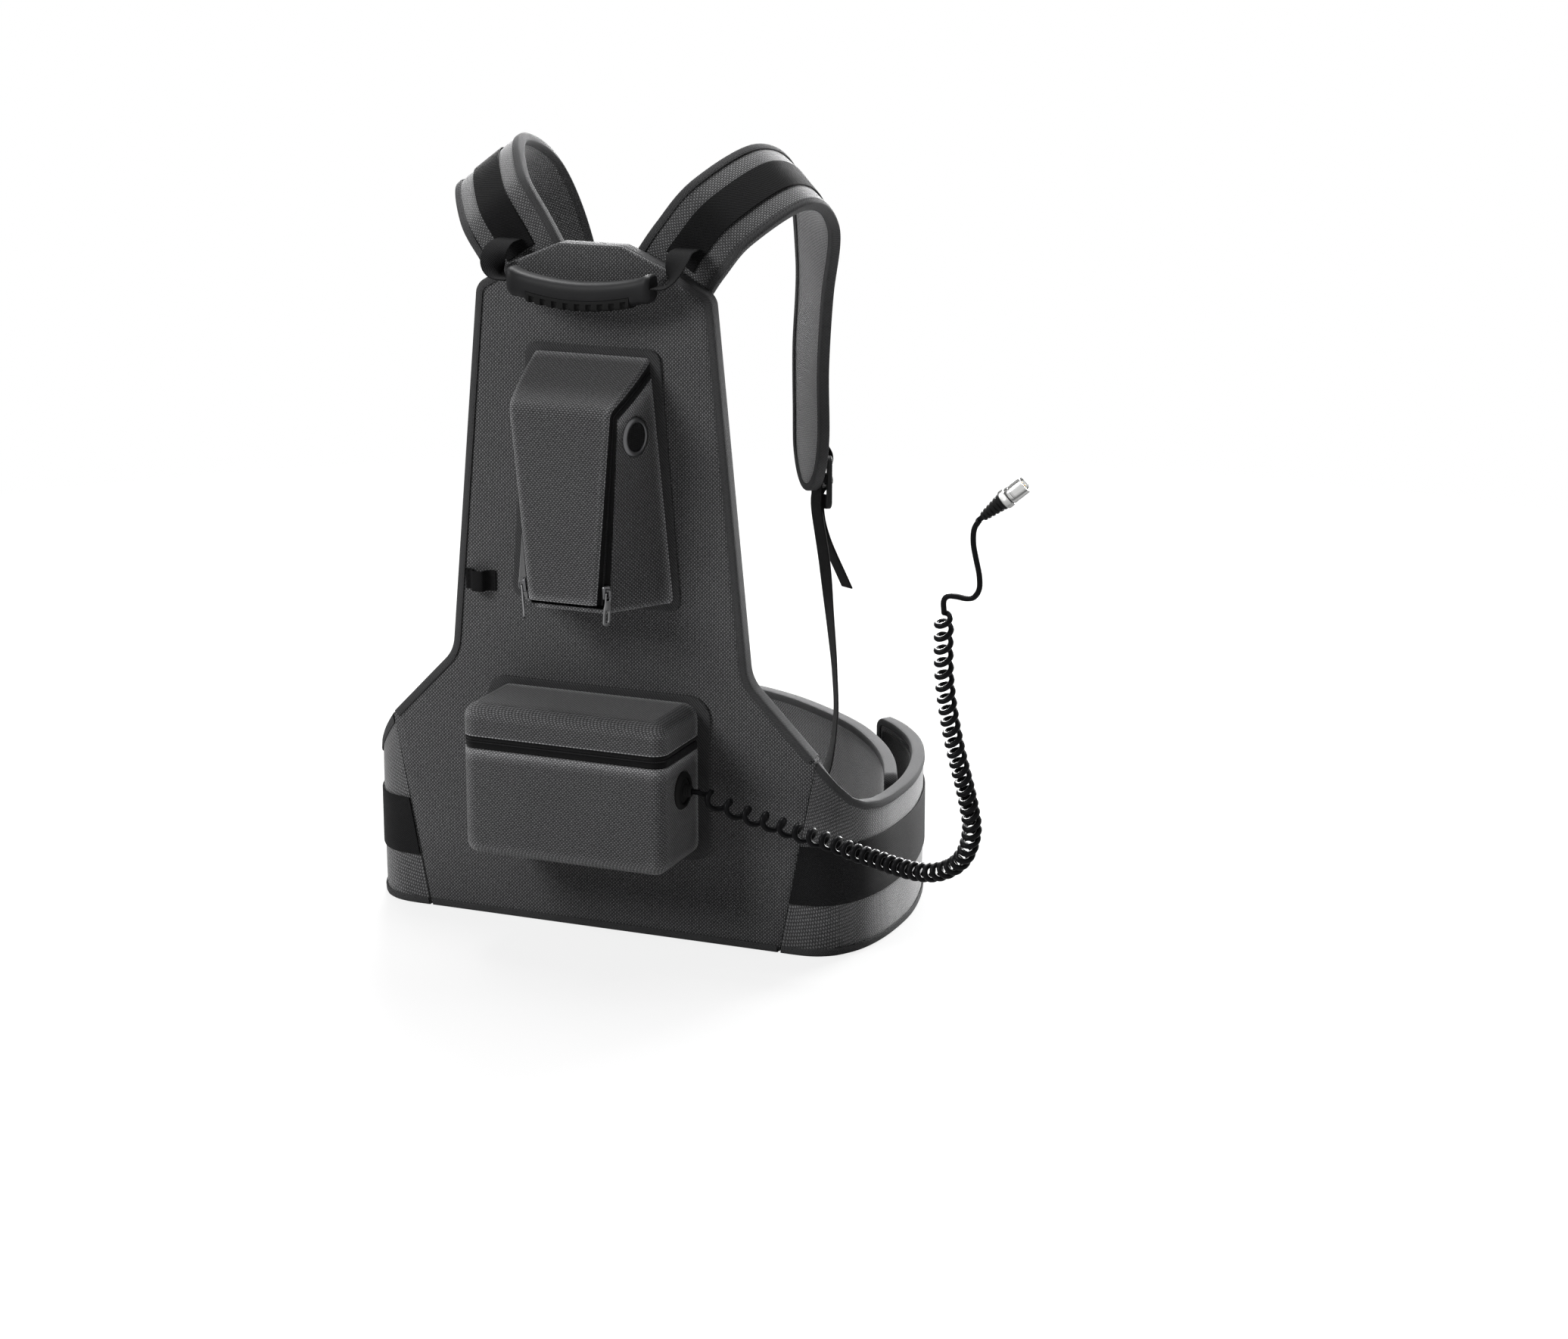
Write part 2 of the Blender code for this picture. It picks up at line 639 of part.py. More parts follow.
def wing_top(s):
    """Height of a wing's top edge: it runs on down from the panel's slope, then level."""
    s -= SEAM_TOP_HALF - FOOT_HALF
    if s <= 0:
        return WING_HEIGHT + TOP_DROP[0][1] - s * (TOP_DROP[0][1] - TOP_DROP[1][1]) / TOP_DROP[1][0]
    for (a, high), (b, low) in zip(TOP_DROP, TOP_DROP[1:]):
        if s <= b:
            return WING_HEIGHT + high + (low - high) * (s - a) / (b - a)
    return WING_HEIGHT


def top_inset(s):
    """The board's top edge, square below the tape's edge at this place."""
    slope = (wing_top(s + 0.0005) - wing_top(s - 0.0005)) / 0.001
    size = hypot(1, slope)
    return s + slope / size * TAPE_OUT, wing_top(s) - TAPE_OUT / size


def corner_cut(s, length):
    """How much a rounded tip corner takes off the edge at this place."""
    rest = WING_TIP_RADIUS - (length - s)
    if rest <= 0:
        return 0
    return WING_TIP_RADIUS - sqrt(max(WING_TIP_RADIUS**2 - rest**2, 0))


def seam_reach(z):
    return seam_x(z) - FOOT_HALF


class Wing:
    """A belt wing: rows from its foot to its top edge, which slant like the seam and then straighten up."""

    def __init__(self, side, plan, marks):
        self.side = side
        self.wall = Wall(plan, side)
        self.length = self.wall.length
        self.pivot = (side * HINGE_HALF, 0, 0)
        self.head_start = seam_reach(SEAM_TOP_Z)
        while top_inset(self.head_start)[0] < seam_reach(top_inset(self.head_start)[1]) + SEAM_GAP / 2:
            self.head_start += 0.00005
        self.stations = self.spread([self.length - m for m in marks])
        ends = [self.edges(s) for s in self.stations]
        feet = [low for low, _ in ends]
        heads = [high for _, high in ends]
        self.rows = [
            (low, high, a, b, (high - low).cross(a).normalized() * side,
                (high - low).cross(b).normalized() * side)
            for low, high, a, b in zip(feet, heads, tangents(feet), tangents(heads))
        ]

    def spread(self, marks):
        """Stations along the wing, closer together where it bends more, and one at each mark."""
        out = [0.0]
        end = self.length - WING_TIP_RADIUS
        while out[-1] < end - 0.006:
            s = out[-1]
            bend = self.wall.at(s)[1].angle(self.wall.at(min(s + 0.012, end))[1]) / 0.012
            step = min(max(sqrt(8 * 0.00035 / max(bend, 1e-3)), 0.007), 0.028)
            out.append(s + (min(step, 0.008) if s < 0.055 else step))
        out = [s for s in out[:-1] if min(abs(s - m) for m in [*marks, end]) > 0.005]
        return sorted([*out, *marks, end])

    def edges(self, s):
        """Foot and head of the board's outer face on the row through this station."""
        lean = max(0.0, 1 - s / 0.050)
        foot_s = s + (seam_reach(TAPE_OUT) + SEAM_GAP / 2) * lean
        head_s, head_z = top_inset(s + self.head_start * lean)
        return self.wall.spot(foot_s, TAPE_OUT, 0), self.wall.spot(head_s, head_z, 0)

    def deep(self, point, inward, depth):
        """A point this far through the board, kept clear of the seam."""
        p = point + inward * depth
        least = seam_x(p.z) + SEAM_GAP / 2
        if abs(p.x) < least and p.y < 0.05:
            p.x = self.side * least
        return p

    def board(self, name):
        rings = [
            [low, high, self.deep(high, high_in, WING_THICK), self.deep(low, low_in, WING_THICK)]
            for low, high, _, _, low_in, high_in in self.rows
        ]
        radius = WING_TIP_RADIUS - TAPE_OUT
        for a in (pi / 8, pi / 4, 3 * pi / 8, pi / 2):
            s = self.length - TAPE_OUT - radius * (1 - sin(a))
            low, high = TAPE_OUT + radius * (1 - cos(a)), WING_HEIGHT - TAPE_OUT - radius * (1 - cos(a))
            rings.append([self.wall.spot(s, z, d) for z, d in
                          ((low, 0), (high, 0), (high, WING_THICK), (low, WING_THICK))])
        return loft(name, rings, CANVAS, self.pivot)

    def binding(self, name):
        tops, feet = [], []
        for low, high, a, b, low_in, high_in in self.rows:
            row = (low - high).normalized()
            down = row / row.dot(high_in.cross(b) * self.side)
            rise = -row / -row.dot(a.cross(low_in) * self.side)
            tops.append((high + high_in * WING_THICK / 2 - down * TAPE_OUT, down, high_in))
            feet.append((low + low_in * WING_THICK / 2 - rise * TAPE_OUT, rise, low_in))
        for line, share in ((tops, 0.60), (feet, 0.20)):
            line[0] = tuple(p.lerp(q, share) for p, q in zip(line[0], line[1]))
        rim = self.length - WING_TIP_RADIUS
        line = []
        for k in (*range(1, 5), *range(5, 9)):
            a = pi * k / 9
            z = WING_HEIGHT / 2 + (WING_HEIGHT / 2 - WING_TIP_RADIUS) * (1 if a < pi / 2 else -1)
            s = rim + WING_TIP_RADIUS * sin(a)
            _, along, inward = self.wall.at(s)
            line.append((self.wall.spot(s, z + WING_TIP_RADIUS * cos(a), WING_THICK / 2),
                         along * -sin(a) + Vector((0, 0, -cos(a))), inward))
        path = [*tops, *line, *reversed(feet)]
        flare = [0.0008 if s < 0.06 else 0 for s in self.stations] + [0] * (len(line) + len(feet))
        rings = tape_rings([p[0] for p in path], [p[1] for p in path], [p[2] for p in path], WING_THICK,
            flare)
        for ring in rings[:3]:
            for v in ring:
                v.x = self.side * max(abs(v.x), seam_x(v.z) + SEAM_TRIM / 2)
        return loft(name, rings, TAPE, self.pivot)

    def strip(self, name, start, end, low_z, high_z, depth, thick, material):
        """A flat strip on one face of the board, from station to station."""
        rings = []
        for s, (low, high, _, _, low_in, high_in) in zip(self.stations, self.rows):
            if start - 1e-6 < s < end + 1e-6:
                ring = []
                for z, d in ((low_z, depth), (high_z, depth), (high_z, depth + thick),
                    (low_z, depth + thick)):
                    share = (z - low.z) / (high.z - low.z)
                    ring.append(low.lerp(high, share) + low_in.lerp(high_in, share).normalized() * d)
                rings.append(ring)
        return loft(name, rings, material, self.pivot)


def make_belt():
    low, high = PATCH_MARGIN, WING_HEIGHT - PATCH_MARGIN
    hook = (PATCH_MARGIN + HOOK_LENGTH, PATCH_MARGIN)
    loop = (PATCH_MARGIN + LOOP_LENGTH, PATCH_MARGIN)
    right = Wing(1, RIGHT_WING_PLAN, (*hook, BAND_STOP))
    left = Wing(-1, LEFT_WING_PLAN, (*loop, loop[0] + 0.008))
    for wing, word, stop in ((right, "right", BAND_STOP), (left, "left", loop[0] + 0.008)):
        wing.board(f"{word}_belt_wing")
        wing.binding(f"{word}_wing_binding")
        wing.strip(f"{word}_elastic_band", 0, wing.length - stop, BAND_LOW, BAND_LOW + BAND_HEIGHT,
                   -GAP - BAND_THICK, BAND_THICK, WEBBING)
    right.strip("hook_patch", right.length - hook[0], right.length - hook[1], low, high,
                WING_THICK + GAP, PATCH_THICK, SOFT)
    left.strip("loop_patch", left.length - loop[0], left.length - loop[1], low, high,
               -GAP - PATCH_THICK, PATCH_THICK, SOFT)


# ---- shoulder straps

class Strap:
    """The right-hand strap's middle line with its frames; side -1 mirrors it."""

    def __init__(self, side, count=120):
        line, self.length = smooth_line(STRAP_ROUTE, count)
        self.side = side
        self.places = [Vector(p[:3]) for p in line]
        along = tangents(self.places)
        self.frames = []
        for t, p in zip(along, line):
            bearing, dip = radians(p[3]), radians(p[4])
            across = Vector((cos(bearing) * cos(dip), sin(bearing) * cos(dip), sin(dip)))
            out = across.cross(t).normalized()
            self.frames.append((t, t.cross(out).normalized(), out))

    def at(self, s):
        """Place, along, across and outward at a distance down the strap; past its end it runs on straight."""
        step = self.length / (len(self.places) - 1)
        i = min(max(int(s / step), 0), len(self.places) - 2)
        u = s / step - i
        a, b = self.frames[i], self.frames[i + 1]
        t, w, o = [(p.lerp(q, min(max(u, 0), 1))).normalized() for p, q in zip(a, b)]
        if s > self.length:
            place = self.places[-1] + t * (s - self.length)
        else:
            place = self.places[i].lerp(self.places[i + 1], u)
        flip = [Vector((self.side * v.x, v.y, v.z)) for v in (place, t, w, o)]
        return flip

    def spot(self, s, q, height):
        place, _, across, out = self.at(s)
        return place + across * q + out * height

    def half_width(self, s, edge=0.0):
        """Half the strap's width, narrowing to a round lower end."""
        rest = (s - (self.length - STRAP_TIP)) / (STRAP_TIP - edge)
        full = STRAP_WIDTH / 2 - edge
        if rest <= 0:
            return full
        return full * sqrt(max(1 - min(rest, 1) ** 2.4, 0))


def strap_stations(strap):
    """Stations down the strap, closer together where it bends or twists more, and round its tip."""
    out = [0.0]
    end = strap.length - STRAP_TIP
    while out[-1] < end - 0.007:
        here, on = strap.at(out[-1]), strap.at(min(out[-1] + 0.012, end))
        bend = max(here[3].angle(on[3]), here[2].angle(on[2]), here[1].angle(on[1])) / 0.012
        out.append(out[-1] + min(max(0.070 / max(bend, 1e-3), 0.0100), 0.026))
    out[-1] = end
    return out + [end + STRAP_TIP * sin(pi / 2 * k / 7) for k in range(1, 8)]


def inner_half(strap, s, edge):
    """Half width of the pad inside its tape: everywhere this far from the strap's outline."""
    fine = [strap.length - STRAP_TIP * (k / 60) ** 2 for k in range(61)]
    rim = [(f, strap.half_width(f)) for f in fine]
    w = strap.half_width(s) - edge
    while w > 0 and min(hypot(s - a, w - b) for a, b in rim) < edge:
        w -= 0.0002
    return w


def make_strap(side, word):
    strap = Strap(side)
    half = STRAP_THICK / 2
    edge = TAPE_OUT + 0.0001
    stations = strap_stations(strap)
    band = STRAP_WEB_WIDTH / 2
    crown = 0.0010
    rings = []
    for s in [*stations[:-1], strap.length - edge - 0.0002]:
        w = inner_half(strap, s, edge)
        w = max(w, 0.0030)
        flat = min(band, w - crown - 0.0005)
        rings.append([
            strap.spot(s, -w, -half + crown), strap.spot(s, -w + crown, -half),
            strap.spot(s, w - crown, -half),
            strap.spot(s, w, -half + crown), strap.spot(s, w, half - crown), strap.spot(s, w - crown, half),
            strap.spot(s, flat, half), strap.spot(s, -flat, half),
            strap.spot(s, -w + crown, half), strap.spot(s, -w, half - crown),
        ])
    loft(f"{word}_shoulder_strap", rings, MESH)

    line = [(s, -1) for s in stations] + [(s, 1) for s in reversed(stations[:-1])]
    points = [strap.spot(s, q * strap.half_width(s), 0) for s, q in line]
    normals = [strap.at(s)[3] for s, _ in line]
    along = tangents(points)
    inward = [(n.cross(t) * -side).normalized() for n, t in zip(normals, along)]
    loft(f"{word}_strap_binding", tape_rings(points, inward, normals, STRAP_THICK), TAPE)

    lock_s = strap.length - LOCK_UP
    face = half + TAPE_OUT
    near_tip = strap.length - 0.004
    centre, along, across, out = strap.at(near_tip)

    def in_lock(t, n):
        return centre + along * (t + lock_s - near_tip) + out * (face + n)

    body = []
    web_rise = half + GAP + WEB_THICK / 2
    stop = lock_s + STRAP_WEB_END[0][0] - 0.016
    for s in [STRAP_WEB_START, *[s for s in stations if STRAP_WEB_START + 0.003 < s < stop]]:
        place, _, w, o = strap.at(s)
        body.append((place + o * web_rise, w, o))
    looped, _ = smooth_line([in_lock(t, n) for t, n in STRAP_WEB_END], 24)
    turns = tangents(looped)
    body += [(Vector(p), across, across.cross(t).normalized() * side) for p, t in zip(looped, turns)]
    ribbon(f"{word}_strap_webbing", [b[0] for b in body], [b[1] for b in body], [b[2] for b in body],
           STRAP_WEB_WIDTH, WEB_THICK, WEBBING)

    route = []
    for x, y, z, bearing in ADJUST_ROUTE:
        route.append((side * x, y, z, side * cos(radians(bearing)), sin(radians(bearing)), 0))
    for t, n in LOCK_WEB_PATH:
        route.append((*in_lock(t, n), *across))
    fine, _ = smooth_line(route, 560)
    middle = in_lock(0, LOCK_LIFT + LOCK_THICK / 2)
    line = []
    for i, p in enumerate(fine):
        near = (Vector(p[:3]) - middle).length < 0.013
        if i % (2 if near else 12) == 0 or i == len(fine) - 1:
            line.append(p)
    places = [Vector(p[:3]) for p in line]
    turns = tangents(places)
    wide = [Vector(p[3:]) for p in line]
    square = [(w - t * w.dot(t)).normalized() for w, t in zip(wide, turns)]
    outs = [w.cross(t).normalized() for w, t in zip(square, turns)]
    ribbon(f"{word}_adjust_webbing", places, square, outs, ADJUST_WIDTH, WEB_THICK, WEBBING)

    make_lock(word, in_lock, across, out, along)

    x, y, z, _ = ADJUST_ROUTE[0]
    low = y + WEB_THICK / 2 + GAP
    block(f"{word}_webbing_anchor", (side * x - 0.017, low, z - 0.004),
        (side * x + 0.017, low + 0.0012, z + 0.008),
          WEBBING)


def make_lock(word, in_lock, across, out, along):
    """Ladder lock: a rounded frame with two windows, and a ridge along its lower bar."""
    corner = 0.006
    half_w, half_l = LOCK_WIDTH / 2, LOCK_LENGTH / 2
    frame = [(half_w, half_l, corner), (-half_w, half_l, corner), (-half_w, -half_l, corner),
        (half_w, -half_l, corner)]
    inner = half_w - LOCK_RAIL
    windows = [(0.0040, 0.0170), (-0.0100, -0.0010)]
    outlines = [round_corners(frame, 3)]
    for low, high in windows:
        outlines.append([(inner, high), (-inner, high), (-inner, low), (inner, low)])
    low = LOCK_LIFT
    made = plate(f"{word}_ladder_lock", outlines, low, low + LOCK_THICK, PLASTIC)
    turn = Matrix((across, out, -along)).transposed().to_4x4()
    place = Matrix.Translation(in_lock(0, 0))
    made.data.transform(place @ turn)
    if turn.determinant() < 0:
        made.data.flip_normals()
    ends = [in_lock(RIDGE_DOWN, low + LOCK_THICK - 0.0004) + across * s * (inner + 0.001) for s in (-1, 1)]
    boolean(made, tube(f"{word}_ridge", ends, BAR_RIDGE, PLASTIC, 2), "UNION")


def make_straps():
    for side, word in ((1, "right"), (-1, "left")):
        make_strap(side, word)


# ---- carry handle

def handle_ring(x, height, depth, drop):
    """One section of the grip, a squarish oval round its middle line."""
    ring = []
    for k in range(12):
        a = 2 * pi * k / 12
        c, s = cos(a), sin(a)
        power = 0.62
        y = depth / 2 * (abs(c) ** power) * (1 if c >= 0 else -1)
        z = height / 2 * (abs(s) ** power) * (1 if s >= 0 else -1)
        ring.append(Vector((x, HANDLE_Y + y, HANDLE_END_Z - drop + z)))
    return ring


def handle_drop(x):
    return HANDLE_SAG * (1 - (x / HANDLE_HALF) ** 2)


def make_handle():
    pivot = (0, HANDLE_AXIS_Y, HANDLE_AXIS_Z)
    sections = [
        (-1.000, 0.78, 0.80), (-0.985, 0.92, 0.94), (-0.930, 1.04, 1.06), (-0.860, 0.96, 1.00),
        (-0.700, 0.94, 0.96), (-0.500, 0.97, 0.97), (-0.250, 1.00, 1.00), (0.0, 1.00, 1.00),
    ]
    sections += [(-x, h, d) for x, h, d in reversed(sections[:-1])]
    rings = [
        handle_ring(x * HANDLE_HALF, HANDLE_HEIGHT * h, HANDLE_DEPTH * d, handle_drop(x * HANDLE_HALF))
        for x, h, d in sections
    ]
    grip = loft("handle_grip", rings, PLASTIC, pivot)
    seat = 0.0048
    pocket = []
    insert = []
    steps = INSERT_RIBS * 4
    for k in range(9):
        x = -INSERT_HALF + 2 * INSERT_HALF * k / 8
        z = HANDLE_END_Z - handle_drop(x)
        wide = HANDLE_DEPTH / 2 + 0.004
        pocket.append([
            Vector((x, HANDLE_Y - wide, z - seat)), Vector((x, HANDLE_Y + wide, z - seat)),
            Vector((x, HANDLE_Y + wide, z - 0.020)), Vector((x, HANDLE_Y - wide, z - 0.020)),
        ])
    for k in range(steps + 1):
        x = (-INSERT_HALF + GAP) + 2 * (INSERT_HALF - GAP) * k / steps
        z = HANDLE_END_Z - handle_drop(x)
        rib = 0.0009 * cos(2 * pi * INSERT_RIBS * k / steps)
        low = HANDLE_HEIGHT / 2 + 0.0006 - rib
        wide = HANDLE_DEPTH / 2 - 0.0008 - rib / 2
        insert.append([
            Vector((x, HANDLE_Y - wide, z - seat - GAP)), Vector((x, HANDLE_Y + wide, z - seat - GAP)),
            Vector((x, HANDLE_Y + wide * 0.96, z - low + 0.0022)),
            Vector((x, HANDLE_Y + wide * 0.5, z - low)),
            Vector((x, HANDLE_Y - wide * 0.5, z - low)),
            Vector((x, HANDLE_Y - wide * 0.96, z - low + 0.0022)),
        ])
    boolean(grip, loft("handle_pocket", pocket, None, pivot))
    loft("handle_insert", insert, SOFT, pivot)
    for side, word in ((1, "right"), (-1, "left")):
        line, _ = smooth_line(HANDLE_WEB_ROUTE, 21)
        places = [Vector((side * p[0], p[1], p[2])) for p in line]
        turns = tangents(places)
        wide = [Vector((cos(radians(p[3])) * side, sin(radians(p[3])), 0)) for p in line]
        square = [(w - t * w.dot(t)).normalized() for w, t in zip(wide, turns)]
        outs = [w.cross(t).normalized() for w, t in zip(square, turns)]
        widths = [HANDLE_WEB_WIDTH * p[5] for p in line]
        ribbon(f"{word}_handle_webbing", places, square, outs, widths, WEB_THICK, WEBBING, pivot, True)


# ---- upper pouch

def upper_half(y, z):
    """Half width of the upper pouch at a depth and height: the front narrows downwards as the base widens."""
    front = UPPER_FRONT_HALF + (UPPER_BEND_HALF - UPPER_FRONT_HALF) * (z - UPPER_FRONT_BOTTOM_Z) / (
        UPPER_BEND_Z - UPPER_FRONT_BOTTOM_Z)
    base = UPPER_BASE_HALF - (UPPER_BASE_HALF - UPPER_TOP_HALF) * (z - UPPER_BOTTOM_Z) / (
        UPPER_TOP_Z - UPPER_BOTTOM_Z)
    share = (-y - FLANGE_THICK) / (UPPER_DEPTH - FLANGE_THICK)
    return base + (front - base) * share


def upper_shell_line(depth):
    """Front and sloped top of the pouch seen from the side, this far inside its outer face: (y, z) points."""
    back_y = -FLANGE_THICK - 2 * GAP
    front_y = -UPPER_DEPTH + depth
    run = UPPER_DEPTH + back_y
    slope = (UPPER_TOP_Z - UPPER_BEND_Z) / run
    drop = depth * hypot(1, slope)
    corner_z = UPPER_BEND_Z - drop + slope * depth
    corners = [(front_y, UPPER_FRONT_BOTTOM_Z), (front_y, corner_z), (back_y, UPPER_TOP_Z - drop)]
    a, b, c = (Vector(p) for p in corners)
    radius = max(UPPER_BEND_RADIUS - depth, 0.002)
    back = (a - b).normalized()
    on = (c - b).normalized()
    half = back.angle(on) / 2
    middle = b + (back + on).normalized() * radius / sin(half)
    tip = radius * cos(half) / sin(half)
    start = b + back * tip - middle
    turn = start.angle(b + on * tip - middle)
    arc = []
    for k in range(6):
        t = -turn * k / 5
        arc.append((middle.x + start.x * cos(t) - start.y * sin(t),
            middle.y + start.x * sin(t) + start.y * cos(t)))
    return [corners[0], *arc, corners[2]]


def upper_prism(name, line, back_y, low_z, wide, material=None):
    """A block as wide as told, under a side line, used to cut the pouch's zones."""
    ring = [*line, (back_y, line[-1][1]), (back_y, low_z), (line[0][0], low_z)]
    rings = [[Vector((x, y, z)) for y, z in ring] for x in (-wide, wide)]
    return loft(name, rings, material)


def upper_solid(name, shrink, material, front_y, back_y, low_z, top_z, pivot=None):
    """The pouch's outer form between two depths, drawn in by a wall's thickness."""
    rings = []
    for k in range(5):
        y = back_y + (front_y - back_y) * k / 4
        ring = []
        for j in range(7):
            z = low_z + (top_z - low_z) * j / 6
            ring.append(Vector((upper_half(y, z) - shrink, y, z)))
        for j in reversed(range(7)):
            z = low_z + (top_z - low_z) * j / 6
            ring.append(Vector((-upper_half(y, z) + shrink, y, z)))
        rings.append(ring)
    return loft(name, rings, material, pivot, True)


def make_upper_pouch():
    back = -FLANGE_THICK - 2 * GAP
    corners = [
        (UPPER_FLANGE_BASE_HALF, UPPER_FLANGE_BASE_Z, 0.010),
        (UPPER_FLANGE_TOP_HALF, UPPER_FLANGE_TOP_Z, 0.010),
        (-UPPER_FLANGE_TOP_HALF, UPPER_FLANGE_TOP_Z, 0.010),
        (-UPPER_FLANGE_BASE_HALF, UPPER_FLANGE_BASE_Z, 0.010),
    ]
    flange = plate("upper_pouch_flange", [round_corners(corners)], -GAP - FLANGE_THICK, -GAP, TAPE)
    bevel = flange.modifiers.new("Edge", "BEVEL")
    bevel.width = 0.0009
    bevel.segments = 2
    bevel.limit_method = "ANGLE"

    zone = FLAP_THICK + GAP + UPPER_ZIP + GAP
    body = upper_solid("upper_pouch_body", 0, CANVAS, -UPPER_DEPTH, back, UPPER_BOTTOM_Z, UPPER_TOP_Z + 0.01)
    hollow = upper_solid("upper_hollow", UPPER_WALL, None, -UPPER_DEPTH - 0.01, back - 0.002,
                         UPPER_BOTTOM_Z + UPPER_WALL, UPPER_TOP_Z + 0.03)
    keep_zone = upper_prism("upper_keep", upper_shell_line(zone), back + 0.01, UPPER_BOTTOM_Z - 0.01, 0.2)
    boolean(body, keep_zone, "INTERSECT")
    boolean(body, hollow)
    y, z = EYELET_Y, EYELET_Z
    x = upper_half(y, z)
    rise = 0.005
    normal = Vector((2 * rise, upper_half(y - rise, z) - upper_half(y + rise, z),
                     upper_half(y, z - rise) - upper_half(y, z + rise))).normalized()
    seat, bore = EYELET_RADIUS + 0.0006, EYELET_BORE + 0.0008
    hole = turned("eyelet_hole", [(0, 0.02), (seat, 0.02), (seat, 0), (bore, 0), (bore, -0.02), (0, -0.02)],
                  None, (x, y, z), normal)
    boolean(body, hole)
    rim = EYELET_STAND + GAP
    turned("eyelet_ring", [
        (EYELET_BORE, rim), (EYELET_RADIUS - 0.0014, rim), (EYELET_RADIUS, GAP + 0.0006),
        (EYELET_RADIUS, GAP),
        (EYELET_BORE, GAP), (EYELET_BORE, rim),
    ], SATIN, (x, y, z), normal)
    mesh_r = EYELET_BORE - GAP
    turned("eyelet_mesh", [(0, 0.0006), (mesh_r, 0.0006), (mesh_r, -0.0014), (0, -0.0014)], SOFT, (x, y, z),
        normal)

    pivot = (0, back, UPPER_TOP_Z)
    flap = upper_solid("upper_pouch_flap", 0, CANVAS, -UPPER_DEPTH, back, UPPER_FRONT_BOTTOM_Z,
        UPPER_TOP_Z + 0.02,
                       pivot)
    boolean(flap, upper_prism("flap_outer", upper_shell_line(0), back + 0.01, UPPER_BOTTOM_Z - 0.01, 0.2),
        "INTERSECT")
    boolean(flap, upper_prism("flap_inner", upper_shell_line(FLAP_THICK), back + 0.03,
        UPPER_BOTTOM_Z - 0.05, 0.25))

    for side, word in ((1, "right"), (-1, "left")):
        outer = upper_shell_line(FLAP_THICK + GAP)
        inner = upper_shell_line(FLAP_THICK + GAP + UPPER_ZIP)
        rings = []
        for (ya, za), (yb, zb) in zip(outer, inner):
            ring = []
            for yy, zz, take in ((ya, za, 0), (yb, zb, 0), (yb, zb, UPPER_WALL), (ya, za, UPPER_WALL)):
                ring.append(Vector((side * (upper_half(yy, zz) - take), yy, zz)))
            rings.append(ring)
        first = rings[0]
        rings[0] = [Vector((v.x, v.y, UPPER_FRONT_BOTTOM_Z)) for v in first]
        loft(f"upper_{word}_zip", rings, WEBBING)

    block("power_pack", (-POWER_WIDTH / 2, back - 0.002 - GAP - POWER_DEPTH,
        UPPER_BOTTOM_Z + UPPER_WALL + GAP),
          (POWER_WIDTH / 2, back - 0.002 - GAP, UPPER_BOTTOM_Z + UPPER_WALL + GAP + POWER_HEIGHT), BATTERY,
          0.002)


# ---- lower pouch

def rounded_box(name, low, high, radius, material, pivot=None):
    """A block with its upright front edges and its front rim rounded."""
    made = block(name, low, high, material, 0.0, pivot=pivot)
    bm = bmesh.new()
    bm.from_mesh(made.data)
    shift = Vector(pivot) if pivot else Vector()
    front = [e for e in bm.edges if all((v.co + shift).y < low[1] + 1e-4 for v in e.verts)]
    sides = [
        e for e in bm.edges
        if e not in front and abs(e.verts[0].co.y - e.verts[1].co.y) > 0.01
    ]
    bmesh.ops.bevel(bm, geom=front + sides, offset=radius, segments=4, profile=0.5, affect="EDGES")
    bm.to_mesh(made.data)
    bm.free()
    return shade(made)


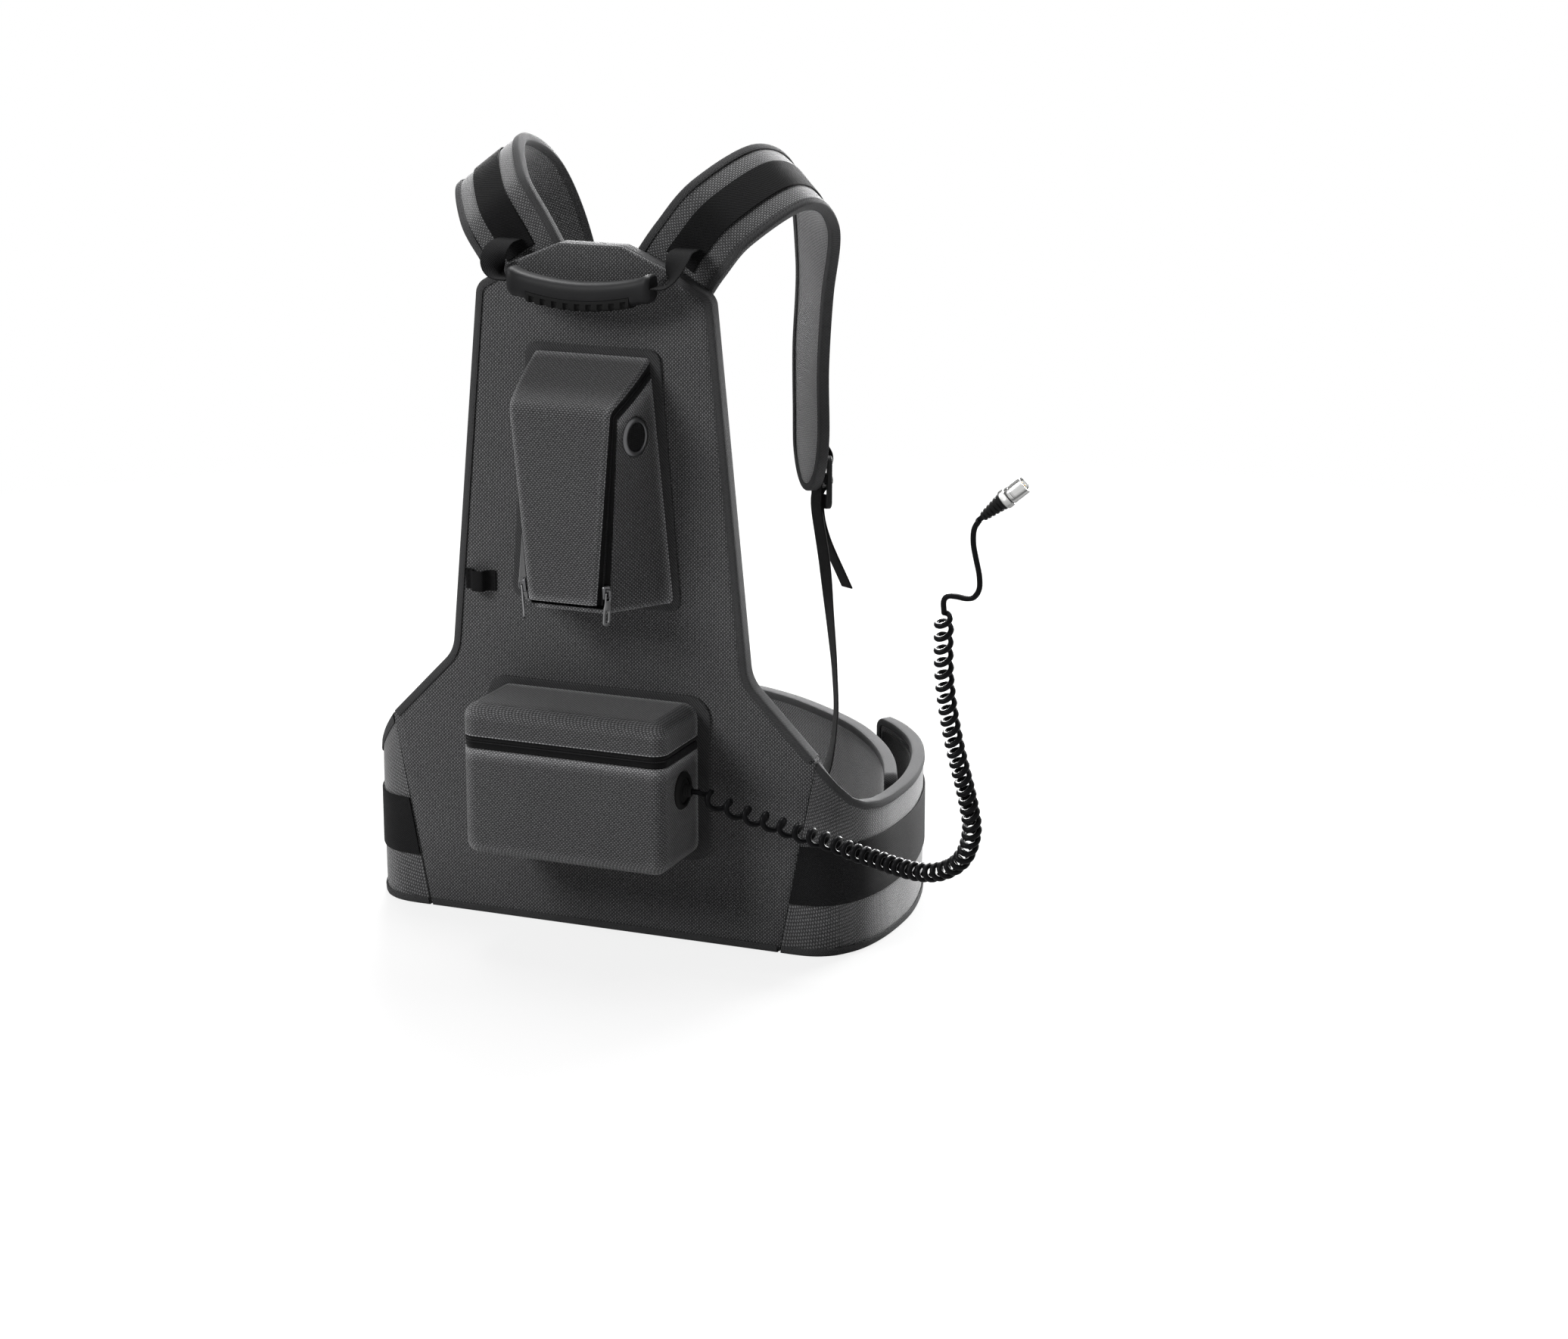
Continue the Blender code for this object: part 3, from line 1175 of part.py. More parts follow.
def make_lower_pouch():
    back = -FLANGE_THICK - 2 * GAP
    half, radius = LOWER_HALF, LOWER_RADIUS
    corners = [
        (LOWER_FLANGE_HALF, LOWER_FLANGE_BOTTOM_Z, LOWER_FLANGE_RADIUS),
        (LOWER_FLANGE_HALF, LOWER_FLANGE_TOP_Z, LOWER_FLANGE_RADIUS),
        (-LOWER_FLANGE_HALF, LOWER_FLANGE_TOP_Z, LOWER_FLANGE_RADIUS),
        (-LOWER_FLANGE_HALF, LOWER_FLANGE_BOTTOM_Z, LOWER_FLANGE_RADIUS),
    ]
    flange = plate("lower_pouch_flange", [round_corners(corners, 5)], -GAP - FLANGE_THICK, -GAP, TAPE)
    bevel = flange.modifiers.new("Edge", "BEVEL")
    bevel.width = 0.0009
    bevel.segments = 2
    bevel.limit_method = "ANGLE"

    low_cut = LOWER_ZIP_Z - LOWER_ZIP / 2
    high_cut = LOWER_ZIP_Z + LOWER_ZIP / 2
    full_low = (-half, -LOWER_DEPTH, LOWER_BOTTOM_Z)
    full_high = (half, back, LOWER_TOP_Z)
    wall = LOWER_WALL
    inner_low = (-half + wall, -LOWER_DEPTH + wall, LOWER_BOTTOM_Z + wall)
    inner_high = (half - wall, back - wall, LOWER_TOP_Z - wall)

    def hollow(name):
        return rounded_box(name, inner_low, inner_high, radius - wall, None)

    far = 0.2
    body = rounded_box("lower_pouch_body", full_low, full_high, radius, CANVAS)
    boolean(body, hollow("lower_body_hollow"))
    boolean(body, block("lower_body_top", (-far, -far, low_cut - GAP), (far, far, far * 2), None))
    hole = turned("gland_hole",
        [(0, 0.02), (GLAND_BORE + 0.001, 0.02), (GLAND_BORE + 0.001, -0.02), (0, -0.02)],
                  None, (half, GLAND_Y, GLAND_Z), (1, 0, 0))
    boolean(body, hole)

    band = rounded_box("lower_zip", full_low, full_high, radius, WEBBING)
    boolean(band, hollow("lower_zip_hollow"))
    boolean(band, block("lower_zip_over", (-far, -far, high_cut), (far, far, far * 2), None))
    boolean(band, block("lower_zip_under", (-far, -far, -far), (far, far, low_cut), None))
    boolean(band, block("lower_zip_back", (-half + wall - 0.001, back - wall - 0.003, -far),
                        (half - wall + 0.001, far, far * 2), None))

    pivot = (0, back, LOWER_TOP_Z)
    lid = rounded_box("lower_pouch_lid", full_low, full_high, radius, CANVAS, pivot)
    boolean(lid, hollow("lower_lid_hollow"))
    boolean(lid, block("lower_lid_under", (-far, -far, -far), (far, far, high_cut + GAP), None))
    boolean(lid, block("lower_lid_back", (-half + wall - 0.001, back - wall - 0.003, -far),
                       (half - wall + 0.001, far, LOWER_TOP_Z - wall - 0.0005), None))

    axis = (1, 0, 0)
    out = half + GAP
    turned("gland_ring", [
        (GLAND_BORE, GLAND_STAND), (GLAND_RADIUS - 0.0018, GLAND_STAND), (GLAND_RADIUS, 0.0010),
        (GLAND_RADIUS, 0),
        (GLAND_BORE, 0), (GLAND_BORE, GLAND_STAND),
    ], SATIN, (out, GLAND_Y, GLAND_Z), axis)
    r = GLAND_BORE - GAP
    hole_r = CORD_DIAMETER / 2 + GAP
    turned("gland_bush", [
        (hole_r, 0.0085), (hole_r + 0.0020, 0.0085), (r - 0.0030, 0.0020), (r, 0.0010), (r, -0.0040),
        (hole_r, -0.0040), (hole_r, 0.0085),
    ], SOFT, (out, GLAND_Y, GLAND_Z), axis)

    floor = LOWER_BOTTOM_Z + wall + GAP
    rear = back - wall - 0.002
    case = block("battery_block", (-BATTERY_WIDTH / 2, rear - BATTERY_DEPTH, floor),
                 (BATTERY_WIDTH / 2, rear, floor + BATTERY_HEIGHT), BATTERY, 0.0015)
    for x in (-0.060, 0.060):
        tab = block(f"terminal_{'left' if x < 0 else 'right'}",
            (x - 0.005, rear - 0.024, floor + BATTERY_HEIGHT - 0.002),
                    (x + 0.005, rear - 0.014, floor + BATTERY_HEIGHT + TERMINAL_HEIGHT), STEEL)
        boolean(case, tab, "UNION")
    top = floor + BATTERY_HEIGHT
    start = (0.0600, rear - 0.019, top + TERMINAL_HEIGHT + GAP)
    lead, _ = smooth_line([
        (0.0600, rear - 0.019, top + TERMINAL_HEIGHT + 0.0030),
        (0.0640, rear - 0.021, top + TERMINAL_HEIGHT + 0.0052),
        (0.0720, GLAND_Y + 0.004, top + TERMINAL_HEIGHT + 0.0010), (0.0790, GLAND_Y, GLAND_Z + 0.0110),
        (0.0815, GLAND_Y, GLAND_Z + 0.0030), (0.0830, GLAND_Y, GLAND_Z),
    ], 10)
    end = (half + GAP - 0.0040 - GAP, GLAND_Y, GLAND_Z)
    tube("battery_lead", [Vector(p) for p in (start, *lead, end)], 0.0014, CORD, 2)


# ---- zips' sliders and pulls

def make_slider(name, place, up, out, lift=0.0):
    """Slider body with its bridge, and a wire pull that hangs from the bridge.

    place lies on the zip's face, up runs along the zip and out away from it.
    """
    up, out = Vector(up).normalized(), Vector(out).normalized()
    side = out.cross(up).normalized()
    out = up.cross(side).normalized()
    frame = Matrix((side, up, out)).transposed().to_4x4()
    base = Vector(place) + out * (GAP + lift)
    turn = Matrix.Translation(base) @ frame
    half_w, half_l = SLIDER_WIDTH / 2, SLIDER_LENGTH / 2
    corners = [(half_w * 0.72, -half_l, 0.001), (half_w, half_l, 0.0015), (-half_w, half_l, 0.0015),
               (-half_w * 0.72, -half_l, 0.001)]
    outline = round_corners(corners, 2)
    rings = [[turn @ Vector((x, y, h)) for x, y in outline] for h in (0, SLIDER_THICK)]
    body = loft(name, rings, SATIN, place)
    rise = SLIDER_THICK - 0.0004
    top = SLIDER_THICK + BRIDGE_HEIGHT
    arch = [(-0.0036, rise), (-0.0034, top - 0.0008), (-0.0020, top), (0.0020, top), (0.0034, top - 0.0008),
            (0.0036, rise)]
    inner = [(-0.0022, rise), (-0.0020, top - 0.0016), (-0.0012, top - 0.0012), (0.0012, top - 0.0012),
             (0.0020, top - 0.0016), (0.0022, rise)]
    ring = arch + inner[::-1]
    rings = [[turn @ Vector((x, y, h)) for y, h in ring] for x in (-0.0012, 0.0012)]
    bridge = loft(name + "_bridge", rings, SATIN, place)
    boolean(body, bridge, "UNION")

    pivot = base + out * (SLIDER_THICK + PULL_WIRE / 2 + GAP) - up * 0.0002
    wire = []
    radius = PULL_WIDTH / 2 - PULL_WIRE / 2
    low = PULL_LENGTH - radius
    for k in range(7):
        a = pi * k / 6
        wire.append((radius * cos(a) * 0.62, radius * sin(a) * 0.04))
    for k in range(9):
        a = pi + pi * k / 8
        wire.append((radius * cos(a), -low + radius * sin(a)))
    points = [pivot + side * x + up * y for x, y in wire]
    tube(name.replace("slider", "pull"), points, PULL_WIRE / 2, STEEL, 1, True, tuple(pivot))


def make_sliders():
    for side, word in ((1, "right"), (-1, "left")):
        depth = FLAP_THICK + GAP + UPPER_ZIP / 2
        y = -UPPER_DEPTH + depth
        low, high = UPPER_FRONT_BOTTOM_Z + 0.010, UPPER_BEND_Z - 0.020
        place = Vector((side * upper_half(y, low), y, low))
        end = Vector((side * upper_half(y, high), y, high))
        middle = (low + high) / 2
        across = Vector((side * (upper_half(y + 0.002, middle) - upper_half(y - 0.002, middle)), 0.004,
            0)).normalized()
        up = (end - place).normalized()
        out = across.cross(up)
        out = out if out.x * side > 0 else -out
        make_slider(f"upper_{word}_slider", place, up, out, SLIDER_LIFT)
    place = (-LOWER_HALF, -0.020, LOWER_ZIP_Z)
    make_slider("lower_slider", place, (0, 1, 0), (-1, 0, 0))


# ---- keeper loop, cord and connector

def make_keeper():
    lift = -GAP - WEB_THICK / 2
    half = KEEPER_SPAN / 2
    path = [
        (KEEPER_X - half - 0.004, lift), (KEEPER_X - half + 0.001, lift),
        (KEEPER_X - half + 0.004, lift - 0.0035),
        (KEEPER_X - 0.004, lift - KEEPER_RISE), (KEEPER_X + 0.004, lift - KEEPER_RISE),
        (KEEPER_X + half - 0.004, lift - 0.0035), (KEEPER_X + half - 0.001, lift),
        (KEEPER_X + half + 0.004, lift),
    ]
    line, _ = smooth_line(path, 24)
    points = [Vector((x, y, KEEPER_Z)) for x, y in line]
    up = Vector((0, 0, 1))
    outs = [up.cross(t).normalized() for t in tangents(points)]
    ribbon("keeper_loop", points, [up] * len(points), outs, KEEPER_WIDTH, WEB_THICK, WEBBING)


def curl_points(per_curl=9):
    """The helix along the route: the pitch sets how fast it turns, and both ends run straight."""
    fine, length = smooth_line(CURL_ROUTE, 600)
    places = [Vector((x, GLAND_Y, z)) for x, z in fine]
    along = tangents(places)
    step = length / (len(places) - 1)
    lead = CORD_DIAMETER * 1.2
    turned_by = [0.0]
    for i in range(1, len(places)):
        s = i * step
        k = min(s / length * (len(CURL_PITCH) - 1), len(CURL_PITCH) - 1.001)
        pitch = CURL_PITCH[int(k)] + (CURL_PITCH[int(k) + 1] - CURL_PITCH[int(k)]) * (k - int(k))
        turned_by.append(turned_by[-1] + (step / pitch if s > lead else 0))
    total = turned_by[-1]
    count = round(total * per_curl)
    reach = (CURL_DIAMETER - CORD_DIAMETER) / 2
    out = [places[0], places[int(lead / step)]]
    i = 0
    for k in range(1, count):
        want = total * k / count
        while i < len(turned_by) - 2 and turned_by[i + 1] < want:
            i += 1
        u = (want - turned_by[i]) / (turned_by[i + 1] - turned_by[i])
        place = places[i].lerp(places[i + 1], u)
        across = Vector((0, 1, 0))
        up = across.cross(along[i])
        grow = min(min(want, total - want) / 0.5, 1)
        grow = grow * grow * (3 - 2 * grow)
        a = 2 * pi * want
        out.append(place + (up * cos(a) + across * sin(a)) * reach * grow)
    return out, total, total / count


def least_gap(points, diameter, turn_share):
    """Smallest clear distance between different turns of a coiled tube, along its middle line."""
    skip = int(0.6 / turn_share)
    best = 1.0
    for i in range(0, len(points)):
        for j in range(i + skip, min(i + 3 * skip, len(points) - 1)):
            a, b, c = points[j], points[j + 1], points[i]
            edge = b - a
            u = min(max((c - a).dot(edge) / max(edge.length_squared, 1e-12), 0), 1)
            best = min(best, (c - a - edge * u).length)
    return best - diameter


def make_cord():
    points, total, share = curl_points()
    print(f"curly cord: {total:.1f} curls, least gap {least_gap(points, CORD_DIAMETER, share) * 1000:.2f} mm")
    tail, _ = smooth_line(TAIL_ROUTE, 30)
    direction = Vector(CONNECTOR_DIRECTION).normalized()
    boot = Vector((CONNECTOR_START[0], GLAND_Y, CONNECTOR_START[1]))
    points += [Vector((x, GLAND_Y, z)) for x, z in tail]
    points += [boot - direction * (CORD_DIAMETER + GAP), boot - direction * GAP]
    tube("curly_cord", points, CORD_DIAMETER / 2, CORD, 1)

    ribs = 5
    profile = [(0, BOOT_LENGTH), (BOOT_LARGE, BOOT_LENGTH)]
    for k in range(ribs):
        low = BOOT_LENGTH * (1 - (k + 1) / (ribs + 0.6))
        r = BOOT_SMALL + (BOOT_LARGE - BOOT_SMALL) * low / BOOT_LENGTH
        step = BOOT_LENGTH / (ribs + 0.6)
        profile += [(r + 0.0004, low + step * 0.35), (r - 0.0004, low + step * 0.30), (r - 0.0004, low)]
    profile += [(BOOT_SMALL, 0), (0, 0)]
    turned("connector_boot", profile, SOFT, boot, direction, 18)
    ring_at = boot + direction * (BOOT_LENGTH + GAP)
    turned("connector_ring", [
        (0, RING_LENGTH), (RING_RADIUS - 0.0006, RING_LENGTH), (RING_RADIUS, RING_LENGTH - 0.0008),
        (RING_RADIUS, 0.0008), (RING_RADIUS - 0.0006, 0), (0, 0),
    ], STEEL, ring_at, direction)
    shell_at = ring_at + direction * (RING_LENGTH + GAP)
    floor = 0.0030
    turned("connector_shell", [
        (0, floor), (SHELL_BORE, floor), (SHELL_BORE, SHELL_LENGTH), (SHELL_RADIUS - 0.0004, SHELL_LENGTH),
        (SHELL_RADIUS, SHELL_LENGTH - 0.0006), (SHELL_RADIUS, 0), (0, 0),
    ], STEEL, shell_at, direction)
    turned("connector_insert", [
        (0, 0.0070), (SHELL_BORE - GAP, 0.0070), (SHELL_BORE - GAP, 0), (0, 0),
    ], SOFT, shell_at + direction * (floor + GAP), direction)


make_panel()
make_collar()
make_belt()
make_straps()
make_handle()
make_upper_pouch()
make_lower_pouch()
make_sliders()
make_keeper()
make_cord()
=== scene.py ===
from math import cos, hypot, pi, radians, sin, sqrt

import bmesh
import bpy
from mathutils import Matrix, Vector


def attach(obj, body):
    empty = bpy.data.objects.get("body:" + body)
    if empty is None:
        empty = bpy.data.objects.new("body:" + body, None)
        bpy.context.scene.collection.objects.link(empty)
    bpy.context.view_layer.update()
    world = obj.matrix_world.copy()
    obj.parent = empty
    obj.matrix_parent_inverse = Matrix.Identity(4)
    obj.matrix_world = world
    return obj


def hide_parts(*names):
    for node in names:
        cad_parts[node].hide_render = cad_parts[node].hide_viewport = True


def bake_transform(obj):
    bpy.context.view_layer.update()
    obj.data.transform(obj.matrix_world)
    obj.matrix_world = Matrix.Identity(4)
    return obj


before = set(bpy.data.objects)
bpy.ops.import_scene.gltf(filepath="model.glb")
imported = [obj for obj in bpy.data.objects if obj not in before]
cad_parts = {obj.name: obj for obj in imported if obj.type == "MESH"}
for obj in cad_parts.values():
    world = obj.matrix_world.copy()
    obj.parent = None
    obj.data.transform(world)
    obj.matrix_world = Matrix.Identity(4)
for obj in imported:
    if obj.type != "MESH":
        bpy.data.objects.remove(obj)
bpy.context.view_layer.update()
backY = -0.138     # where the panel's outer face lies; every piece is drawn from that face and then moved there
gap = 0.0003       # clearance between pieces that touch
print("frame loaded:", len(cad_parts), "nodes")


# camera, at the photograph's angle

cameraSet = {
    "azimuth": 22.0, "elevation": 15.3, "distance": 2.7172, "lens": 78.76, "target": (0.1627, -0.138, 0.2387),
}


def makeCamera():
    azimuth, elevation = radians(cameraSet["azimuth"]), radians(cameraSet["elevation"])
    back = Vector((sin(azimuth) * cos(elevation), -cos(azimuth) * cos(elevation), sin(elevation)))
    data = bpy.data.cameras.new("photoCamera")
    data.lens = cameraSet["lens"]
    data.sensor_width = 36
    data.clip_start = 0.05
    camera = bpy.data.objects.new("photoCamera", data)
    camera.location = Vector(cameraSet["target"]) + back * cameraSet["distance"]
    camera.rotation_euler = back.to_track_quat("Z", "Y").to_euler()
    bpy.context.scene.collection.objects.link(camera)
    bpy.context.scene.camera = camera


makeCamera()


# lines, outlines and lofts

def smoothLine(points, count):
    # even steps along a smooth line through given points; values after the third ride along
    points = [tuple(p) for p in points]
    first = tuple(2 * a - b for a, b in zip(points[0], points[1]))
    last = tuple(2 * a - b for a, b in zip(points[-1], points[-2]))
    ends = [first, *points, last]
    fine = []
    for i in range(len(points) - 1):
        p0, p1, p2, p3 = ends[i:i + 4]
        for k in range(24):
            u = k / 24
            fine.append(tuple(
                0.5 * (2 * b + (c - a) * u + (2 * a - 5 * b + 4 * c - d) * u**2 + (3 * b - a - 3 * c + d) * u**3)
                for a, b, c, d in zip(p0, p1, p2, p3)
            ))
    fine.append(points[-1])
    size = min(3, len(points[0]))
    run = [0.0]
    for a, b in zip(fine, fine[1:]):
        run.append(run[-1] + sqrt(sum((q - p) ** 2 for p, q in zip(a[:size], b[:size]))))
    out = []
    k = 0
    for i in range(count):
        want = run[-1] * i / (count - 1)
        while k < len(run) - 2 and run[k + 1] < want:
            k += 1
        u = (want - run[k]) / (run[k + 1] - run[k])
        out.append(tuple(a + (b - a) * u for a, b in zip(fine[k], fine[k + 1])))
    return out, run[-1]


def tangents(points):
    ends = [points[0], *points, points[-1]]
    return [(Vector(b) - Vector(a)).normalized() for a, b in zip(ends, ends[2:])]


def roundCorners(corners, steps=10):
    # an outline with each corner (x, z, radius) turned into an arc
    out = []
    count = len(corners)
    for i, (x, z, radius) in enumerate(corners):
        here = Vector((x, z))
        if not radius:
            out.append((x, z))
            continue
        back = (Vector(corners[i - 1][:2]) - here).normalized()
        on = (Vector(corners[(i + 1) % count][:2]) - here).normalized()
        half = back.angle(on) / 2
        middle = here + (back + on).normalized() * radius / sin(half)
        tip = radius * cos(half) / sin(half)
        start = here + back * tip - middle
        end = here + on * tip - middle
        turn = start.angle(end)
        sign = 1 if start.x * end.y - start.y * end.x > 0 else -1
        for k in range(steps + 1):
            a = sign * turn * k / steps
            out.append((middle.x + start.x * cos(a) - start.y * sin(a), middle.y + start.x * sin(a) + start.y * cos(a)))
    return out


def mirrored(corners):
    # an outline from its right half
    return corners + [(-x, z, radius) for x, z, radius in reversed(corners)]


def inset(corners, amounts):
    # corners of an anticlockwise outline with each edge moved inwards by its own amount
    count = len(corners)
    lines = []
    for i in range(count):
        a, b = Vector(corners[i][:2]), Vector(corners[(i + 1) % count][:2])
        along = (b - a).normalized()
        lines.append((a + Vector((-along.y, along.x)) * amounts[i], along))
    out = []
    for i in range(count):
        (p, d), (q, e) = lines[i - 1], lines[i]
        t = ((q - p).x * e.y - (q - p).y * e.x) / (d.x * e.y - d.y * e.x)
        spot = p + d * t
        out.append((spot.x, spot.y, corners[i][2]))
    return out


def boxUv(mesh):
    # a map in metres, each face seen along its main direction
    layer = mesh.uv_layers.get("metres") or mesh.uv_layers.new(name="metres")
    for face in mesh.polygons:
        n = [abs(v) for v in face.normal]
        pick = (0, 2) if n[1] >= max(n[0], n[2]) else (1, 2) if n[0] >= n[2] else (0, 1)
        for loop in face.loop_indices:
            co = mesh.vertices[mesh.loops[loop].vertex_index].co
            layer.data[loop].uv = (co[pick[0]], co[pick[1]])


def loftMesh(name, rings, slots=None, closed=True, caps=True):
    # quads between rings, mapped in metres: along the loft, and round each ring from its middle
    mesh = bpy.data.meshes.new(name)
    bm = bmesh.new()
    layer = bm.loops.layers.uv.new("metres")
    rows = [[bm.verts.new(point) for point in ring] for ring in rings]
    count = len(rings[0])
    middles = [sum((Vector(p) for p in ring), Vector()) / count for ring in rings]
    runs = [0.0]
    for a, b in zip(middles, middles[1:]):
        runs.append(runs[-1] + (b - a).length)
    turns = []
    for ring in rings:
        turn = [0.0]
        for j in range(count):
            turn.append(turn[-1] + (Vector(ring[(j + 1) % count]) - Vector(ring[j])).length)
        turns.append([t - turn[-1] / 2 for t in turn])
    for i in range(len(rows) - 1):
        low, high = rows[i], rows[i + 1]
        for j in range(count if closed else count - 1):
            k = (j + 1) % count
            face = bm.faces.new((low[j], low[k], high[k], high[j]))
            face.material_index = slots(j) if slots else 0
            for loop, uv in zip(face.loops, ((runs[i], turns[i][j]), (runs[i], turns[i][j + 1]),
                                             (runs[i + 1], turns[i + 1][j + 1]), (runs[i + 1], turns[i + 1][j]))):
                loop[layer].uv = uv
    if caps:
        for row in (rows[0][::-1], rows[-1]):
            face = bm.faces.new(row)
            for loop in face.loops:
                loop[layer].uv = (loop.vert.co.x + loop.vert.co.y, loop.vert.co.z)
    if closed:
        bmesh.ops.recalc_face_normals(bm, faces=bm.faces)
    bm.to_mesh(mesh)
    bm.free()
    return mesh


def smooth(mesh, degrees=35):
    mesh.shade_smooth()
    mesh.set_sharp_from_angle(angle=radians(degrees))


def bendAtSeam(made):
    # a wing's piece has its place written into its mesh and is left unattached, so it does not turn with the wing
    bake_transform(made)


def addPiece(name, mesh, materials, body, nodes=(), degrees=35, bends=False):
    # one finished piece: moved to its place, named, riding on its body unless it is a bending piece, which is left
    # unattached
    mesh.transform(Matrix.Translation((0, backY, 0)))
    mesh.name = name
    made = bpy.data.objects.new(name, mesh)
    mesh.materials.clear()
    for material in materials if isinstance(materials, (list, tuple)) else [materials]:
        mesh.materials.append(material)
    smooth(mesh, degrees)
    bpy.context.scene.collection.objects.link(made)
    if bends:
        bendAtSeam(made)
    else:
        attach(made, body)
    if nodes:
        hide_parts(*nodes)
    return made


def bakeMesh(made):
    # the evaluated mesh of an object drawn with modifiers; the object itself is removed
    bpy.context.view_layer.update()
    graph = bpy.context.evaluated_depsgraph_get()
    mesh = bpy.data.meshes.new_from_object(made.evaluated_get(graph))
    bpy.data.objects.remove(made)
    return mesh


def helper(name, mesh):
    made = bpy.data.objects.new(name, mesh)
    bpy.context.scene.collection.objects.link(made)
    return made


def latheMesh(name, profile, start, direction, steps=64, flutes=None):
    # a turned piece from (radius, height) points, closed where it meets the axis; flutes = count, depth, low, high
    mesh = bpy.data.meshes.new(name)
    bm = bmesh.new()
    layer = bm.loops.layers.uv.new("metres")
    turn = Matrix.Translation(start) @ Vector(direction).to_track_quat("Z", "Y").to_matrix().to_4x4()
    rows = []
    for r, h in profile:
        row = []
        for k in range(steps):
            a = 2 * pi * k / steps
            rr = r
            if flutes and flutes[2] <= h <= flutes[3]:
                rr = r - flutes[1] * (0.5 - 0.5 * cos(flutes[0] * a))
            row.append(bm.verts.new(turn @ Vector((rr * cos(a), rr * sin(a), h))))
        rows.append(row)
    run = 0.0
    for i in range(len(rows) - 1):
        step = hypot(profile[i + 1][0] - profile[i][0], profile[i + 1][1] - profile[i][1])
        for k in range(steps):
            j = (k + 1) % steps
            face = bm.faces.new((rows[i][k], rows[i][j], rows[i + 1][j], rows[i + 1][k]))
            size = 2 * pi * max(profile[i][0], profile[i + 1][0])
            for loop, uv in zip(face.loops, ((k, 0), (k + 1, 0), (k + 1, 1), (k, 1))):
                loop[layer].uv = (uv[0] / steps * size, run + uv[1] * step)
        run += step
    bmesh.ops.remove_doubles(bm, verts=bm.verts, dist=1e-7)
    bmesh.ops.recalc_face_normals(bm, faces=bm.faces)
    bm.to_mesh(mesh)
    bm.free()
    return mesh


def wireMesh(name, points, radius, sides):
    # a round wire along a line
    points = [Vector(p) for p in points]
    along = tangents(points)
    across = along[0].orthogonal().normalized()
    rings = []
    for p, t in zip(points, along):
        across = (across - t * across.dot(t)).normalized()
        other = t.cross(across)
        rings.append([p + (across * cos(2 * pi * k / sides) + other * sin(2 * pi * k / sides)) * radius
                      for k in range(sides)])
    return loftMesh(name, rings)


def joinMeshes(name, meshes):
    bm = bmesh.new()
    for mesh in meshes:
        bm.from_mesh(mesh)
        bpy.data.meshes.remove(mesh)
    made = bpy.data.meshes.new(name)
    bm.to_mesh(made)
    bm.free()
    return made


def plateMesh(name, outlines, thick, soft):
    # a flat plate with softened edges: its rim first, then its windows
    curve = bpy.data.curves.new(name, "CURVE")
    curve.dimensions = "2D"
    curve.fill_mode = "BOTH"
    curve.extrude = thick / 2 - soft
    curve.bevel_depth = soft
    curve.bevel_resolution = 2
    for outline in outlines:
        spline = curve.splines.new("POLY")
        spline.points.add(len(outline) - 1)
        for point, (x, z) in zip(spline.points, outline):
            point.co = (x, z, 0, 1)
        spline.use_cyclic_u = True
    mesh = bakeMesh(helper(name, curve))
    bm = bmesh.new()
    bm.from_mesh(mesh)
    bmesh.ops.remove_doubles(bm, verts=bm.verts, dist=1e-6)
    bmesh.ops.recalc_face_normals(bm, faces=bm.faces)
    bm.to_mesh(mesh)
    bm.free()
    return mesh


def turnTo(mesh, place, axes):
    # onto its place and axes; a mirroring turn would leave the faces inside out
    turn = Matrix(axes).transposed().to_4x4()
    mesh.transform(Matrix.Translation(place) @ turn)
    if turn.determinant() < 0:
        mesh.flip_normals()


# cord and connector

cordSizes = {
    "diameter": 0.0045, "curl": 0.0158, "lean": 0.50, "perCurl": 26, "glandY": -0.0350,
    "bootLength": 0.0200, "bootSmall": 0.0034, "bootLarge": 0.0066, "ringLength": 0.0060, "ringRadius": 0.0077,
    "shellLength": 0.0150, "shellRadius": 0.0071, "shellBore": 0.0058, "pins": 5,
}
curlRoute = [
    (0.0981, 0.1400), (0.1045, 0.1397), (0.1190, 0.1335), (0.1430, 0.1265), (0.1680, 0.1215), (0.1930, 0.1160),
    (0.2150, 0.1120), (0.2360, 0.1065), (0.2560, 0.1025), (0.2750, 0.0985), (0.2940, 0.0970),
    (0.3090, 0.1000), (0.3220, 0.1080), (0.3300, 0.1200), (0.3335, 0.1380), (0.3310, 0.1550),
    (0.3270, 0.1720), (0.3220, 0.1900), (0.3170, 0.2100), (0.3125, 0.2330), (0.3095, 0.2560),
    (0.3085, 0.2780), (0.3085, 0.2960), (0.3085, 0.3080),
]
curlPitch = [     # run per turn, at even steps along the route
    0.0190, 0.0180, 0.0165, 0.0155, 0.0140, 0.0120, 0.0098, 0.0078, 0.0068, 0.0066, 0.0066, 0.0066,
    0.0068, 0.0070, 0.0073, 0.0078, 0.0083, 0.0088, 0.0093, 0.0098, 0.0102, 0.0106,
]
tailRoute = [
    (0.3085, 0.3080), (0.3080, 0.3160), (0.3110, 0.3205), (0.3180, 0.3210), (0.3260, 0.3202),
    (0.3325, 0.3220), (0.3365, 0.3290), (0.3362, 0.3400), (0.3335, 0.3520), (0.3312, 0.3640),
    (0.3318, 0.3750), (0.3365, 0.3830),
]
bootStart = Vector((0.3385, cordSizes["glandY"], 0.3848))
bootDirection = Vector((0.75, 0.10, 0.65)).normalized()


